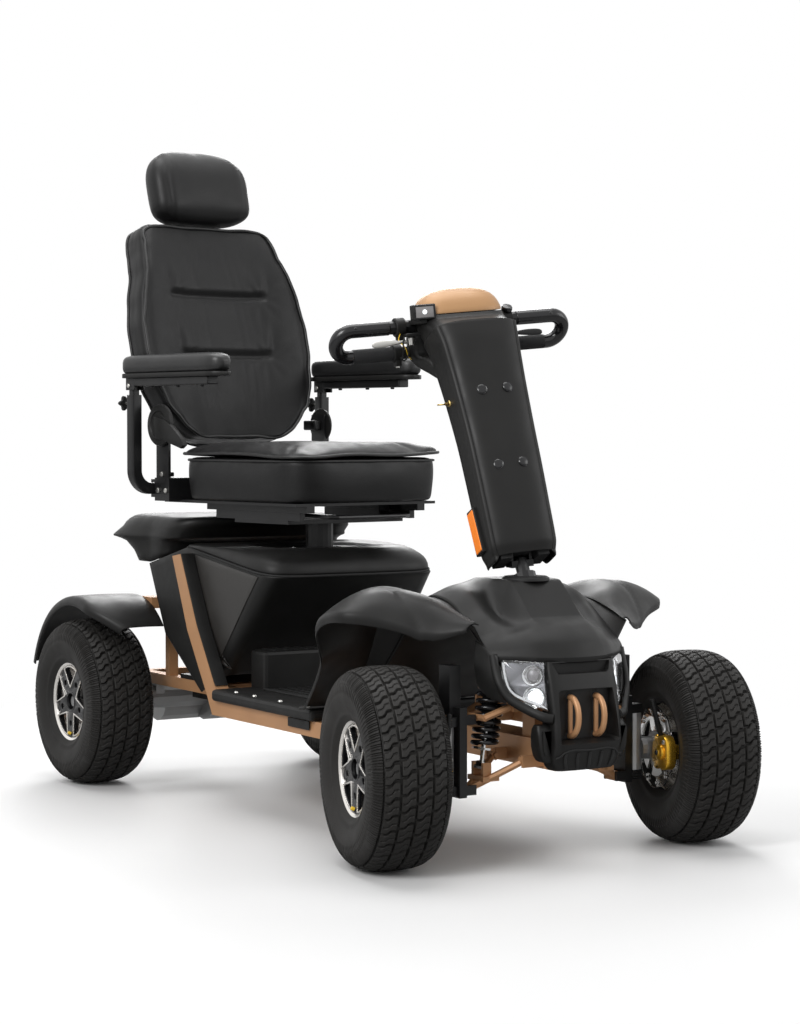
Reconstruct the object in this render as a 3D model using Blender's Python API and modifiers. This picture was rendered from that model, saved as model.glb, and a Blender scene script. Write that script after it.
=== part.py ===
"""All-terrain mobility scooter with a sprung front end, a leaning tiller and a swivel seat.

Metres, +Z up. The front faces -Y, the rider's right is -X, the ground is z = 0,
x = 0 is the middle plane and y = 0 lies midway between the two axles.
Every piece is built as if steered straight with the seat facing forward. Empties on
the joint axes then turn the steered wheels, the tiller and the seat to the rest pose.
"""

import math

import bmesh
import bpy
from mathutils import Matrix, Vector

# Fits
GAP = 0.0003
TURNING_FIT = 0.0006
SIDES = 16
HINGE_SIDES = 8

# Wheels, track and wheelbase
WHEEL_RADIUS = 0.1855
TYRE_WIDTH = 0.1545
RIM_RADIUS = 0.0914
RIM_WIDTH = 0.116
RIM_WALL = 0.011
WHEEL_STEPS = 28
TRACK = 0.6666
WHEELBASE = 1.289
SPOKES = 5
HUB_RADIUS = 0.030
AXLE_RADIUS = 0.0115
DISC_RADIUS = 0.080
DISC_THICKNESS = 0.0035
WHEEL_X = TRACK / 2
FRONT_Y = -WHEELBASE / 2
REAR_Y = WHEELBASE / 2

# Rest pose
STEER_REST = math.radians(-12.6)
SWIVEL_REST = math.radians(8.06)

# Front suspension, for the side at +X
KINGPIN_X = 0.215
KINGPIN_RADIUS = 0.0075
LOWER_INNER = (0.075, 0.188)
LOWER_OUTER = (0.166, 0.137)
UPPER_INNER = (0.098, 0.292)
UPPER_OUTER = (0.168, 0.267)
ARM_SPREAD = 0.050
ARM_TUBE = 0.0065
SLEEVE_RADIUS = 0.010
SLEEVE_HALF = 0.007
OUTER_SLEEVE_HALF = 0.0142
EAR = 0.006
PIN_RADIUS = 0.005
OPEN_PIVOT_PLAY = 0.0025
COLUMN_NEAR = 0.181
COLUMN_FAR = 0.197
KNUCKLE_RADIUS = 0.0155
KNUCKLE_LOW = 0.1455
KNUCKLE_HIGH = 0.2545
SHOCK_LOW = (0.136, 0.176)
SHOCK_HIGH = (0.104, 0.385)
SHOCK_ROD_RADIUS = 0.005
SHOCK_BODY_RADIUS = 0.0125
SHOCK_EYE_RADIUS = 0.009
SHOCK_EYE_HALF = 0.0135
SPRING_RADIUS = 0.0195
SPRING_WIRE = 0.0030
SPRING_TURNS = 6
SPRING_POINTS = 7
SPRING_START = 0.036
SPRING_END = 0.186
SPRING_SEAT = 0.004
SHOCK_PIN_RADIUS = 0.004
OUTER_PIN_RADIUS = 0.0035
UPRIGHT_HALF_DEPTH = 0.0205
CALIPER_NEAR = 0.030
CALIPER_FAR = 0.1025
BRIDGE_REACH = 0.0880

# Floor and frame
BODY_HALF_WIDTH = 0.2285
RAIL_INNER = BODY_HALF_WIDTH + GAP
RAIL_OUTER = BODY_HALF_WIDTH + 0.0315
FLOOR_TOP = 0.250
FLOOR_THICKNESS = 0.025
FLOOR_HALF_WIDTH = RAIL_OUTER + 0.014
FLOOR_FRONT = FRONT_Y + 0.3945
FLOOR_REAR = 0.180
STEP_TOP = 0.330
STEP_HALF_WIDTH = 0.180
STEP_FRONT = 0.112
RAIL_BOTTOM = 0.193
SPINE_HALF_WIDTH = 0.040
SPINE_BOTTOM = 0.172
REAR_RAIL_X = 0.165
REAR_RAIL_WIDTH = 0.025
REAR_RAIL_BOTTOM = 0.2165
REAR_RAIL_TOP = 0.2415

# Body shell
SHELL = 0.004
SEAM_FRONT = (0.044, 0.493)
SEAM_REAR = (0.379, 0.541)
SHROUD_REAR = (0.570, 0.497)
LID_TOP = 0.547
DECK_TOP = 0.605
FENDER_RADIUS = 0.235
FENDER_SHELL = 0.003
FENDER_OUTER = WHEEL_X + 0.0517
FENDER_INNER = BODY_HALF_WIDTH + 0.0015
FENDER_FROM = math.radians(18)
FENDER_TO = math.radians(131)

# Front end
NOSE_HALF_WIDTH = 0.075
FOOT_REACH = 0.4165
NOSE_BACK = FRONT_Y - 0.1005
GRILLE_WALL = FRONT_Y - 0.1275

# Seat
POST_Y = 0.195
POST_RADIUS = 0.030
POST_BOTTOM = 0.405
HOLE_RADIUS = 0.060
SEAT_PAN_TOP = 0.644
CUSHION_HALF_WIDTH = 0.210
CUSHION_FRONT = 0.006
CUSHION_REAR = 0.446
CUSHION_TOP = 0.757
BACK_PIVOT = (0.475, 0.808)
BACK_LEAN = math.radians(14.8)
BACK_LENGTH = 0.503
BACK_FOOT = (0.489, 0.781)
HEADREST_STALK = 0.006
STALK_X = 0.060
ARMREST_X = 0.262
ARMREST_POST_Y = 0.522
ARMREST_TUBE = 0.014
ARMREST_PIVOT_Z = 0.895
PAD_BOTTOM = 0.922
PAD_TOP = 0.957
PAD_HALF_WIDTH = 0.0275
PAD_FRONT = 0.186
PAD_REAR = 0.536
RECEIVER_Z = 0.668
RAIL_JOINT = 0.6235
LEVER_LUG_Y = 0.1212
LEVER_PLAY = 0.0009
LEVER_Z = 0.618
RECLINER_NEAR = 0.2135
RECLINER_FAR = 0.2195
RECLINE_PIN = 0.007
BACK_CHANNELS = (0.195, BACK_LENGTH - 0.168)
STALK_DEPTH = 0.050
HEADREST_FOOT = BACK_LENGTH + 0.006

# Tiller, in its own plane x = 0
STEM_LEAN = math.radians(24.4)
STEM_FOOT = (FRONT_Y + 0.0559, 0.5174)
STEM_RADIUS = 0.016
TILT_HEIGHT = 0.060
STEM_TOP = 0.530
HANDLE_UPPER = (FRONT_Y + 0.3225, 1.009)
HANDLE_LOWER = (FRONT_Y + 0.3545, 0.958)
HANDLE_REACH = 0.255
HANDLE_TUBE = 0.013
STEER_SHAFT = 0.0125
TILT_PIN_RADIUS = 0.006
COVER_TOP = 0.505
HEAD_TOP = 1.028
CAP_Y = FRONT_Y + 0.2925
LOCK_HEIGHT = 0.360
LOCK_ACROSS = -0.023
LOCK_FACE = 0.0770
LEVER_X = 0.100
LEVER_Y = FRONT_Y + 0.2995
LEVER_TOP = 0.9877
LEVER_THICKNESS = 0.016

parts = bpy.data.collections.new("mobility_scooter")
cutters = bpy.data.collections.new("cutters")


def clear_scene():
    for obj in list(bpy.data.objects):
        bpy.data.objects.remove(obj)
    bpy.context.scene.collection.children.link(parts)
    bpy.context.scene.collection.children.link(cutters)


def material(name, colour, roughness, metallic=0.0):
    found = bpy.data.materials.get(name)
    if found:
        return found
    made = bpy.data.materials.new(name)
    made.use_nodes = True
    shader = made.node_tree.nodes["Principled BSDF"]
    shader.inputs["Base Color"].default_value = (*colour, 1.0)
    shader.inputs["Roughness"].default_value = roughness
    shader.inputs["Metallic"].default_value = metallic
    made.diffuse_color = (*colour, 1.0)
    return made


def black_plastic():
    return material("black_plastic", (0.020, 0.020, 0.022), 0.55)


def copper_paint():
    return material("copper_paint", (0.42, 0.22, 0.11), 0.38, 0.55)


def black_metal():
    return material("black_metal", (0.025, 0.025, 0.028), 0.40, 0.6)


def zinc():
    return material("zinc", (0.62, 0.61, 0.58), 0.35, 1.0)


def leather():
    return material("leather", (0.018, 0.018, 0.019), 0.50)


def rubber():
    return material("rubber", (0.014, 0.014, 0.015), 0.85)


def object_of(bm, name, skin):
    """A new object that holds the bmesh, with its faces pointing out."""
    mesh = bpy.data.meshes.new(name)
    bm.to_mesh(mesh)
    bm.free()
    obj = bpy.data.objects.new(name, mesh)
    if skin:
        mesh.materials.append(skin)
    parts.objects.link(obj)
    return obj


def block(low, high):
    """A box between two corners."""
    bm = bmesh.new()
    low, high = Vector(low), Vector(high)
    centre = (low + high) / 2
    sides = [abs(high[i] - low[i]) for i in range(3)]
    bmesh.ops.create_cube(bm, size=1.0)
    bmesh.ops.scale(bm, vec=sides, verts=bm.verts)
    bmesh.ops.translate(bm, vec=centre, verts=bm.verts)
    return object_of(bm, "block", None)


def side_block(side, near, far, front, rear, low, high):
    """A box on one side of the middle plane, from x = near to x = far."""
    return block((side * near, front, low), (side * far, rear, high))


def rod(start, end, radius, sides=SIDES, end_radius=None):
    """A cylinder or a cone between two points."""
    start, end = Vector(start), Vector(end)
    along = end - start
    turn = Vector((0, 0, 1)).rotation_difference(along).to_matrix().to_4x4()
    bm = bmesh.new()
    bmesh.ops.create_cone(
        bm,
        cap_ends=True,
        segments=sides,
        radius1=radius,
        radius2=radius if end_radius is None else end_radius,
        depth=along.length,
        matrix=Matrix.Translation((start + end) / 2) @ turn,
    )
    return object_of(bm, "rod", None)


def around(radius, sides=SIDES):
    """The corner radius of a bore whose flat sides clear a round pin of this radius."""
    return (radius + TURNING_FIT) / math.cos(math.pi / sides)


def loft(rings, cap=True):
    """A skin through rings that have the same number of points, closed at both ends."""
    bm = bmesh.new()
    loops = [[bm.verts.new(point) for point in ring] for ring in rings]
    count = len(loops[0])
    for lower, upper in zip(loops, loops[1:]):
        for i in range(count):
            j = (i + 1) % count
            bm.faces.new((lower[i], lower[j], upper[j], upper[i]))
    if cap:
        for loop in (loops[0], loops[-1]):
            middle = bm.verts.new(sum((v.co for v in loop), Vector()) / count)
            for i in range(count):
                bm.faces.new((loop[i], loop[(i + 1) % count], middle))
    bmesh.ops.recalc_face_normals(bm, faces=bm.faces)
    return object_of(bm, "loft", None)


def shell(rows, thickness, flip=False):
    """An open sheet through a grid of points, given its thickness away from its normals."""
    bm = bmesh.new()
    grid = [[bm.verts.new(point) for point in row] for row in rows]
    for lower, upper in zip(grid, grid[1:]):
        for i in range(len(lower) - 1):
            face = (lower[i], lower[i + 1], upper[i + 1], upper[i])
            bm.faces.new(tuple(reversed(face)) if flip else face)
    obj = object_of(bm, "shell", None)
    solidify(obj, thickness)
    return obj


def solidify(obj, thickness):
    wall = obj.modifiers.new("wall", "SOLIDIFY")
    wall.thickness = thickness
    wall.offset = -1.0
    wall.use_even_offset = True


def bevel(obj, width, segments=2, angle=math.radians(40)):
    edge = obj.modifiers.new("edges", "BEVEL")
    edge.width = width
    edge.segments = segments
    edge.limit_method = "ANGLE"
    edge.angle_limit = angle


def turned(profile, steps=SIDES, angle=math.tau, placed=None):
    """A profile of (radius, height) points turned about its Z axis and then placed."""
    bm = bmesh.new()
    verts = [bm.verts.new((radius, 0, height)) for radius, height in profile]
    for first, second in zip(verts, verts[1:]):
        bm.edges.new((first, second))
    if angle == math.tau:
        bm.edges.new((verts[-1], verts[0]))
    obj = object_of(bm, "turned", None)
    screw = obj.modifiers.new("turn", "SCREW")
    screw.axis = "Z"
    screw.angle = angle
    screw.steps = steps
    screw.render_steps = steps
    screw.use_merge_vertices = angle == math.tau
    screw.merge_threshold = 0.0001
    if placed:
        obj.matrix_world = placed
    return obj


def tube(points, radius, cyclic=False, resolution=2):
    """A round tube through the points, as a mesh with welded caps."""
    curve = bpy.data.curves.new("tube", "CURVE")
    curve.dimensions = "3D"
    curve.bevel_depth = radius
    curve.bevel_resolution = resolution
    curve.use_fill_caps = True
    spline = curve.splines.new("POLY")
    spline.points.add(len(points) - 1)
    for point, place in zip(spline.points, points):
        point.co = (*place, 1.0)
    spline.use_cyclic_u = cyclic
    drawn = bpy.data.objects.new("tube", curve)
    parts.objects.link(drawn)
    bpy.context.view_layer.update()
    graph = bpy.context.evaluated_depsgraph_get()
    mesh = bpy.data.meshes.new_from_object(drawn.evaluated_get(graph))
    bpy.data.objects.remove(drawn)
    bm = bmesh.new()
    bm.from_mesh(mesh)
    bmesh.ops.remove_doubles(bm, verts=bm.verts, dist=1e-5)
    bmesh.ops.recalc_face_normals(bm, faces=bm.faces)
    return object_of(bm, "tube", None)


def ring(centre, half_width, half_depth, power, count, tilt=0.0):
    """Points of a level superellipse, which tilts about the X axis through its centre."""
    points = []
    for i in range(count):
        angle = math.tau * (i + 0.5) / count
        c, s = math.cos(angle), math.sin(angle)
        x = half_width * math.copysign(abs(c) ** (2 / power), c)
        y = half_depth * math.copysign(abs(s) ** (2 / power), s)
        points.append(
            (centre[0] + x, centre[1] + y * math.cos(tilt), centre[2] + y * math.sin(tilt))
        )
    return points


def welded(name, skin, pieces, cuts=()):
    """One node made of its first piece, joined to the others and then cut."""
    body = pieces[0]
    body.name = name
    body.data.name = name
    body.data.materials.clear()
    body.data.materials.append(skin)
    for tool, operation in [(p, "UNION") for p in pieces[1:]] + [(c, "DIFFERENCE") for c in cuts]:
        parts.objects.unlink(tool)
        cutters.objects.link(tool)
        tool.name = name + "_tool"
        tool.hide_render = True
        tool.display_type = "WIRE"
        join = body.modifiers.new("join", "BOOLEAN")
        join.operation = operation
        join.object = tool
    for polygon in body.data.polygons:
        polygon.use_smooth = True
    body.data.set_sharp_from_angle(angle=math.radians(35))
    return body


def pivot(name, place, axis=None, angle=0.0, parent=None):
    """An empty on a joint's axis. Its children are built as if the angle were zero."""
    empty = bpy.data.objects.new(name, None)
    parts.objects.link(empty)
    turn = Matrix.Rotation(angle, 4, Vector(axis)) if axis else Matrix.Identity(4)
    hold(empty, parent)
    empty.matrix_basis = Matrix.Translation(place) @ turn
    empty["built_at"] = tuple(place)
    return empty


def hold(obj, parent):
    """Parents an object so that it turns with the empty about the empty's place."""
    if parent is None:
        return
    obj.parent = parent
    obj.matrix_parent_inverse = Matrix.Translation(parent["built_at"]).inverted()
    for modifier in obj.modifiers:
        if modifier.type == "BOOLEAN":
            modifier.object.parent = parent
            modifier.object.matrix_parent_inverse = obj.matrix_parent_inverse.copy()


def wheel_place(side, y):
    """The wheel's centre, with the local Z axis pointing outboard and a flat side down."""
    outboard = Matrix.Rotation(side * math.pi / 2, 4, "Y")
    half_step = Matrix.Rotation(math.pi / WHEEL_STEPS, 4, "Z")
    return Matrix.Translation((side * WHEEL_X, y, WHEEL_RADIUS)) @ outboard @ half_step


def flats(profile):
    """The profile widened so that the flat sides of the turned shape have its radii."""
    stretch = 1 / math.cos(math.pi / WHEEL_STEPS)
    return [(radius * stretch, height) for radius, height in profile]


def tyre(name, side, y, parent):
    half = TYRE_WIDTH / 2
    bore = RIM_RADIUS + GAP
    wall = WHEEL_RADIUS - bore
    upper = [
        (bore, 0.72 * half),
        (bore + 0.39 * wall, half),
        (bore + 0.73 * wall, 0.965 * half),
        (bore + 0.93 * wall, 0.78 * half),
        (WHEEL_RADIUS, 0.44 * half),
    ]
    lower = [(radius, -height) for radius, height in reversed(upper)]
    body = turned(flats(upper + lower), WHEEL_STEPS, placed=wheel_place(side, y))
    hold(welded(name, rubber(), [body]), parent)


def rim(name, side, y, parent, disc):
    half = RIM_WIDTH / 2
    inner = RIM_RADIUS - RIM_WALL
    barrel = [(RIM_RADIUS, half), (RIM_RADIUS, -half), (inner, -half), (inner, half)]
    body = turned(flats(barrel), WHEEL_STEPS, placed=wheel_place(side, y))
    centre = Vector((side * WHEEL_X, y, WHEEL_RADIUS))
    face = centre + Vector((side * (half - 0.012), 0, 0))
    inboard = half + 0.0115 if disc else half - 0.008
    back = centre - Vector((side * inboard, 0, 0))
    pieces = [body, rod(back, face, HUB_RADIUS, 15)]
    for k in range(SPOKES):
        angle = math.tau * k / SPOKES + math.radians(18)
        out = Vector((0, math.cos(angle), math.sin(angle)))
        across = Vector((0, -math.sin(angle), math.cos(angle)))
        depth = Vector((side * 0.014, 0, 0))
        rings = []
        for reach, width in ((HUB_RADIUS - 0.008, 0.014), (inner + RIM_WALL / 2, 0.022)):
            foot = face - Vector((side * 0.016, 0, 0)) + out * reach
            corners = (foot - across * width, foot + across * width)
            rings.append((corners[0], corners[1], corners[1] + depth, corners[0] + depth))
        pieces.append(loft(rings))
    if disc:
        pieces.append(rod(back, back + Vector((side * DISC_THICKNESS, 0, 0)), DISC_RADIUS, 20))
    bore = rod(back - (face - back), face + (face - back), around(AXLE_RADIUS, 12), 12)
    silver = material("machined_rim", (0.30, 0.30, 0.31), 0.30, 0.9)
    hold(welded(name, silver, pieces, [bore]), parent)


def point(side, x_z, y=0.0):
    """A place near a front wheel, with y measured from the front axle."""
    return Vector((side * x_z[0], FRONT_Y + y, x_z[1]))


def pin_bore(side, x_z, reach, radius):
    return rod(point(side, x_z, -reach), point(side, x_z, reach), radius, HINGE_SIDES)


def lower_arm(name, side, parent):
    eye = LOWER_OUTER[0] - 0.0525
    outer = Vector((0, OUTER_SLEEVE_HALF, 0))
    end_pivot = point(side, LOWER_OUTER)
    pieces = [rod(end_pivot - outer, end_pivot + outer, SLEEVE_RADIUS, 8)]
    for end in (-1, 1):
        spread = end * ARM_SPREAD
        inner = point(side, LOWER_INNER, spread)
        half = Vector((0, SLEEVE_HALF, 0))
        pieces.append(rod(inner - half, inner + half, SLEEVE_RADIUS, 8))
        pieces.append(rod(inner, point(side, LOWER_OUTER, end * 0.004), ARM_TUBE, 7))
        ear = SHOCK_EYE_HALF + GAP
        pieces.append(
            side_block(
                side, SHOCK_LOW[0] - 0.009, SHOCK_LOW[0] + 0.009,
                FRONT_Y + end * ear, FRONT_Y + end * (ear + EAR), 0.154, SHOCK_LOW[1] + 0.009,
            )
        )
    front, rear = FRONT_Y - 0.026, FRONT_Y + 0.026
    pieces.append(side_block(side, eye, eye + 0.036, front, rear, 0.151, 0.160))
    reach = SHOCK_EYE_HALF + EAR
    pieces.append(rod(point(side, SHOCK_LOW, -reach), point(side, SHOCK_LOW, reach), SHOCK_PIN_RADIUS, 8))
    bore = around(PIN_RADIUS, HINGE_SIDES)
    cuts = [pin_bore(side, LOWER_INNER, 0.08, bore), pin_bore(side, LOWER_OUTER, 0.03, bore)]
    hold(welded(name, copper_paint(), pieces, cuts), parent)


def upper_arm(name, side, parent):
    link = (UPPER_OUTER[0] - 0.0155, UPPER_OUTER[1] + 0.003)
    spread = 0.034
    pieces = [rod(point(side, link, -spread - 0.004), point(side, link, spread + 0.004), 0.006, 8)]
    outer = Vector((0, OUTER_SLEEVE_HALF, 0))
    end_pivot = point(side, UPPER_OUTER)
    pieces.append(rod(end_pivot - outer, end_pivot + outer, 0.0085, 10))
    front, rear = FRONT_Y - 0.012, FRONT_Y + 0.012
    low, high = UPPER_OUTER[1] - 0.004, UPPER_OUTER[1] + 0.005
    pieces.append(side_block(side, link[0], UPPER_OUTER[0], front, rear, low, high))
    for end in (-1, 1):
        inner = point(side, UPPER_INNER, end * ARM_SPREAD)
        half = Vector((0, SLEEVE_HALF, 0))
        pieces.append(rod(inner - half, inner + half, SLEEVE_RADIUS, 8))
        pieces.append(rod(inner, point(side, link, end * spread), ARM_TUBE, 7))
    cuts = [
        pin_bore(side, UPPER_INNER, 0.08, around(PIN_RADIUS, HINGE_SIDES)),
        pin_bore(side, UPPER_OUTER, 0.03, around(OUTER_PIN_RADIUS, HINGE_SIDES) + OPEN_PIVOT_PLAY),
    ]
    hold(welded(name, copper_paint(), pieces, cuts), parent)


def upright(name, side, parent):
    """The kingpin carrier: a column with ears for both arms and lugs for the kingpin."""
    near, far = COLUMN_NEAR, COLUMN_FAR
    half = UPRIGHT_HALF_DEPTH
    pieces = [side_block(side, near, far, FRONT_Y - half, FRONT_Y + half, 0.124, 0.290)]
    pieces.append(side_block(side, near + 0.001, 0.206, FRONT_Y, FRONT_Y + 0.036, 0.275, 0.366))
    for x_z, inner, pin in ((LOWER_OUTER, 0.1602, PIN_RADIUS), (UPPER_OUTER, 0.1615, OUTER_PIN_RADIUS)):
        low, high = x_z[1] - 0.009, x_z[1] + 0.009
        for end in (-1, 1):
            front, rear = FRONT_Y + end * (half - EAR), FRONT_Y + end * half
            pieces.append(side_block(side, inner, near + 0.002, front, rear, low, high))
        reach = half - 0.002
        pieces.append(rod(point(side, x_z, -reach), point(side, x_z, reach), pin, 7))
    reach = 0.013
    for low, high in ((0.127, KNUCKLE_LOW - GAP), (KNUCKLE_HIGH + GAP, 0.272)):
        front, rear = FRONT_Y - reach, FRONT_Y + reach
        pieces.append(side_block(side, far - 0.002, KINGPIN_X + reach, front, rear, low, high))
    pin = [Vector((side * KINGPIN_X, FRONT_Y, z)) for z in (0.135, 0.265)]
    pieces.append(rod(pin[0], pin[1], KINGPIN_RADIUS, 12))
    hold(welded(name, copper_paint(), pieces), parent)


def disc_face():
    """How far from the middle plane the inboard face of the brake disc lies."""
    return WHEEL_X - RIM_WIDTH / 2 - 0.0115


def knuckle(name, side, parent):
    axis = Vector((side * KINGPIN_X, FRONT_Y, 0))
    low, high = Vector((0, 0, KNUCKLE_LOW)), Vector((0, 0, KNUCKLE_HIGH))
    pieces = [rod(axis + low, axis + high, KNUCKLE_RADIUS, 14)]
    hub = (Vector((side * (KINGPIN_X + 0.012), FRONT_Y, WHEEL_RADIUS)),
           Vector((side * (disc_face() - GAP), FRONT_Y, WHEEL_RADIUS)))
    pieces.append(rod(hub[0], hub[1], 0.022, 16))
    tip = Vector((side * (WHEEL_X + 0.050), FRONT_Y, WHEEL_RADIUS))
    pieces.append(rod(hub[1] - Vector((side * 0.004, 0, 0)), tip, AXLE_RADIUS, 12))
    plate = FRONT_Y - CALIPER_NEAR + GAP
    pieces.append(side_block(side, 0.238, 0.256, plate, FRONT_Y, 0.170, 0.200))
    pieces.append(side_block(side, 0.2195, 0.234, FRONT_Y, FRONT_Y + 0.085, 0.152, 0.165))
    bore = rod(axis + low / 2, axis + high * 2, around(KINGPIN_RADIUS, 12), 12)
    hold(welded(name, black_metal(), pieces, [bore]), parent)


def caliper(name, side, parent):
    """A floating caliper: the body inboard, a bridge over the disc's rim and a pad outboard."""
    face = disc_face()
    low, high = WHEEL_RADIUS - 0.036, WHEEL_RADIUS + 0.034
    front, rear = FRONT_Y - CALIPER_FAR, FRONT_Y - CALIPER_NEAR
    body = side_block(side, 0.236, face - 0.0045, front, rear, low, high)
    pinch = WHEEL_RADIUS - 0.014, WHEEL_RADIUS + 0.014
    front, rear = FRONT_Y - BRIDGE_REACH, FRONT_Y - DISC_RADIUS - 0.0012
    bridge = side_block(side, face - 0.006, face + 0.0095, front, rear, *pinch)
    outer = face + DISC_THICKNESS
    pad = side_block(side, outer + 0.0012, outer + 0.007, front, FRONT_Y - 0.046, *pinch)
    gold = material("gold_anodised", (0.55, 0.38, 0.12), 0.35, 0.8)
    hold(welded(name, gold, [body, bridge, pad]), parent)


def along_shock(side, distance, y=0.0):
    low, high = point(side, SHOCK_LOW, y), point(side, SHOCK_HIGH, y)
    return low + (high - low).normalized() * distance


def shock_eye(side, x_z):
    ends = point(side, x_z, -SHOCK_EYE_HALF), point(side, x_z, SHOCK_EYE_HALF)
    return rod(*ends, SHOCK_EYE_RADIUS, 10)


def shock_rod(name, side, parent):
    pieces = [shock_eye(side, SHOCK_LOW)]
    pieces.append(rod(along_shock(side, 0.004), along_shock(side, 0.125), SHOCK_ROD_RADIUS, 10))
    seat = along_shock(side, SPRING_START - SPRING_SEAT), along_shock(side, SPRING_START)
    pieces.append(rod(*seat, SPRING_RADIUS + SPRING_WIRE, 12))
    bore = pin_bore(side, SHOCK_LOW, 0.03, around(SHOCK_PIN_RADIUS, HINGE_SIDES))
    hold(welded(name, zinc(), pieces, [bore]), parent)


def shock_body(name, side, parent):
    pieces = [shock_eye(side, SHOCK_HIGH)]
    length = (point(side, SHOCK_HIGH) - point(side, SHOCK_LOW)).length
    barrel = along_shock(side, 0.075), along_shock(side, length - 0.004)
    pieces.append(rod(*barrel, SHOCK_BODY_RADIUS, 12))
    seat = along_shock(side, SPRING_END), along_shock(side, SPRING_END + SPRING_SEAT)
    pieces.append(rod(*seat, SPRING_RADIUS + SPRING_WIRE, 12))
    cuts = [
        pin_bore(side, SHOCK_HIGH, 0.03, around(SHOCK_PIN_RADIUS, HINGE_SIDES)),
        rod(along_shock(side, 0.060), along_shock(side, 0.155), around(SHOCK_ROD_RADIUS, 10), 10),
    ]
    hold(welded(name, black_metal(), pieces, cuts), parent)


def spring_points(side):
    """The wire's centre line, a plain helix between the two spring seats."""
    along = (point(side, SHOCK_HIGH) - point(side, SHOCK_LOW)).normalized()
    across = Vector((0, 1, 0))
    third = along.cross(across)
    clear = SPRING_WIRE + GAP
    first, last = SPRING_START + clear, SPRING_END - clear
    count = SPRING_TURNS * SPRING_POINTS
    points = []
    for i in range(count + 1):
        angle = math.tau * i / SPRING_POINTS
        centre = along_shock(side, first + (last - first) * i / count)
        points.append(centre + (across * math.cos(angle) + third * math.sin(angle)) * SPRING_RADIUS)
    return points


def least_gap(points, radius, apart):
    """The least clear distance between stretches of wire that lie some points apart."""
    gaps = [
        (first - second).length - 2 * radius
        for i, first in enumerate(points)
        for second in points[i + apart:]
    ]
    return min(gaps)


def spring(name, side, parent):
    points = spring_points(side)
    gap = least_gap(points, SPRING_WIRE, SPRING_POINTS // 2)
    print(f"{name}: least gap between turns {gap * 1000:.1f} mm")
    hold(welded(name, black_metal(), [tube(points, SPRING_WIRE, resolution=1)]), parent)


def front_suspension():
    for side, letter in ((1, "l"), (-1, "r")):
        arm = pivot("lower_arm_axis_" + letter, point(side, LOWER_INNER))
        lower_arm("lower_arm_" + letter, side, arm)
        upper = pivot("upper_arm_axis_" + letter, point(side, UPPER_INNER))
        upper_arm("upper_arm_" + letter, side, upper)
        carrier = pivot("upright_axis_" + letter, point(side, LOWER_OUTER), parent=arm)
        upright("upright_" + letter, side, carrier)
        kingpin = (side * KINGPIN_X, FRONT_Y, WHEEL_RADIUS)
        steer = pivot("kingpin_axis_" + letter, kingpin, (0, 0, 1), STEER_REST, carrier)
        knuckle("knuckle_" + letter, side, steer)
        caliper("caliper_" + letter, side, steer)
        spin = pivot("front_spin_" + letter, (side * WHEEL_X, FRONT_Y, WHEEL_RADIUS), parent=steer)
        rim("rim_front_" + letter, side, FRONT_Y, spin, True)
        tyre("tyre_front_" + letter, side, FRONT_Y, spin)
        top = pivot("shock_axis_" + letter, point(side, SHOCK_HIGH))
        shock_body("shock_body_" + letter, side, top)
        spring("spring_" + letter, side, top)
        shock_rod("shock_rod_" + letter, side, top)


def rear_axle():
    """The transaxle's tube, gearbox, motor and saddles, with fixed stub axles."""
    centre = Vector((0, REAR_Y, WHEEL_RADIUS))
    reach = Vector((0.235, 0, 0))
    tip = Vector((WHEEL_X + 0.050, 0, 0))
    pieces = [rod(centre - reach, centre + reach, 0.028, 12)]
    pieces.append(rod(centre - tip, centre + tip, AXLE_RADIUS, 12))
    pieces.append(rod(centre - Vector((0.055, 0, 0)), centre + Vector((0.055, 0, 0)), 0.062, 16))
    motor = Vector((-0.075, REAR_Y + 0.050, 0.168))
    pieces.append(rod(motor - Vector((0.075, 0, 0)), motor + Vector((0.080, 0, 0)), 0.046, 16))
    for side in (-1, 1):
        near, far = REAR_RAIL_X + 0.002, REAR_RAIL_X + REAR_RAIL_WIDTH - 0.002
        top = REAR_RAIL_BOTTOM - GAP
        pieces.append(side_block(side, near, far, REAR_Y - 0.026, REAR_Y + 0.026, WHEEL_RADIUS, top))
    welded("transaxle", material("cast_aluminium", (0.35, 0.35, 0.36), 0.5, 0.7), pieces)
    for side, letter in ((1, "l"), (-1, "r")):
        spin = pivot("rear_spin_" + letter, (side * WHEEL_X, REAR_Y, WHEEL_RADIUS))
        rim("rim_rear_" + letter, side, REAR_Y, spin, False)
        tyre("tyre_rear_" + letter, side, REAR_Y, spin)


def prism(outline, near, far):
    """A flat outline of (y, z) points given a thickness along X."""
    bm = bmesh.new()
    face = bm.faces.new([bm.verts.new((near, y, z)) for y, z in outline])
    grown = bmesh.ops.extrude_face_region(bm, geom=[face])
    moved = [item for item in grown["geom"] if isinstance(item, bmesh.types.BMVert)]
    bmesh.ops.translate(bm, vec=(far - near, 0, 0), verts=moved)
    bmesh.ops.recalc_face_normals(bm, faces=bm.faces)
    return object_of(bm, "prism", None)


def side_rail(side):
    """The flat bar that runs along the floor's edge and climbs over the body's side."""
    under = FLOOR_TOP - FLOOR_THICKNESS - GAP
    outline = [
        (FLOOR_FRONT - 0.050, RAIL_BOTTOM),
        (0.200, RAIL_BOTTOM),
        (0.2226, 0.2308),
        (0.316, 0.365),
        (0.388, 0.522),
        (0.349, 0.528),
        (0.273, 0.379),
        (FLOOR_REAR + 0.004, 0.249),
        (FLOOR_REAR + 0.001, under),
        (FLOOR_FRONT - 0.050, under),
    ]
    return prism(outline, side * RAIL_INNER, side * RAIL_OUTER)


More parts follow.
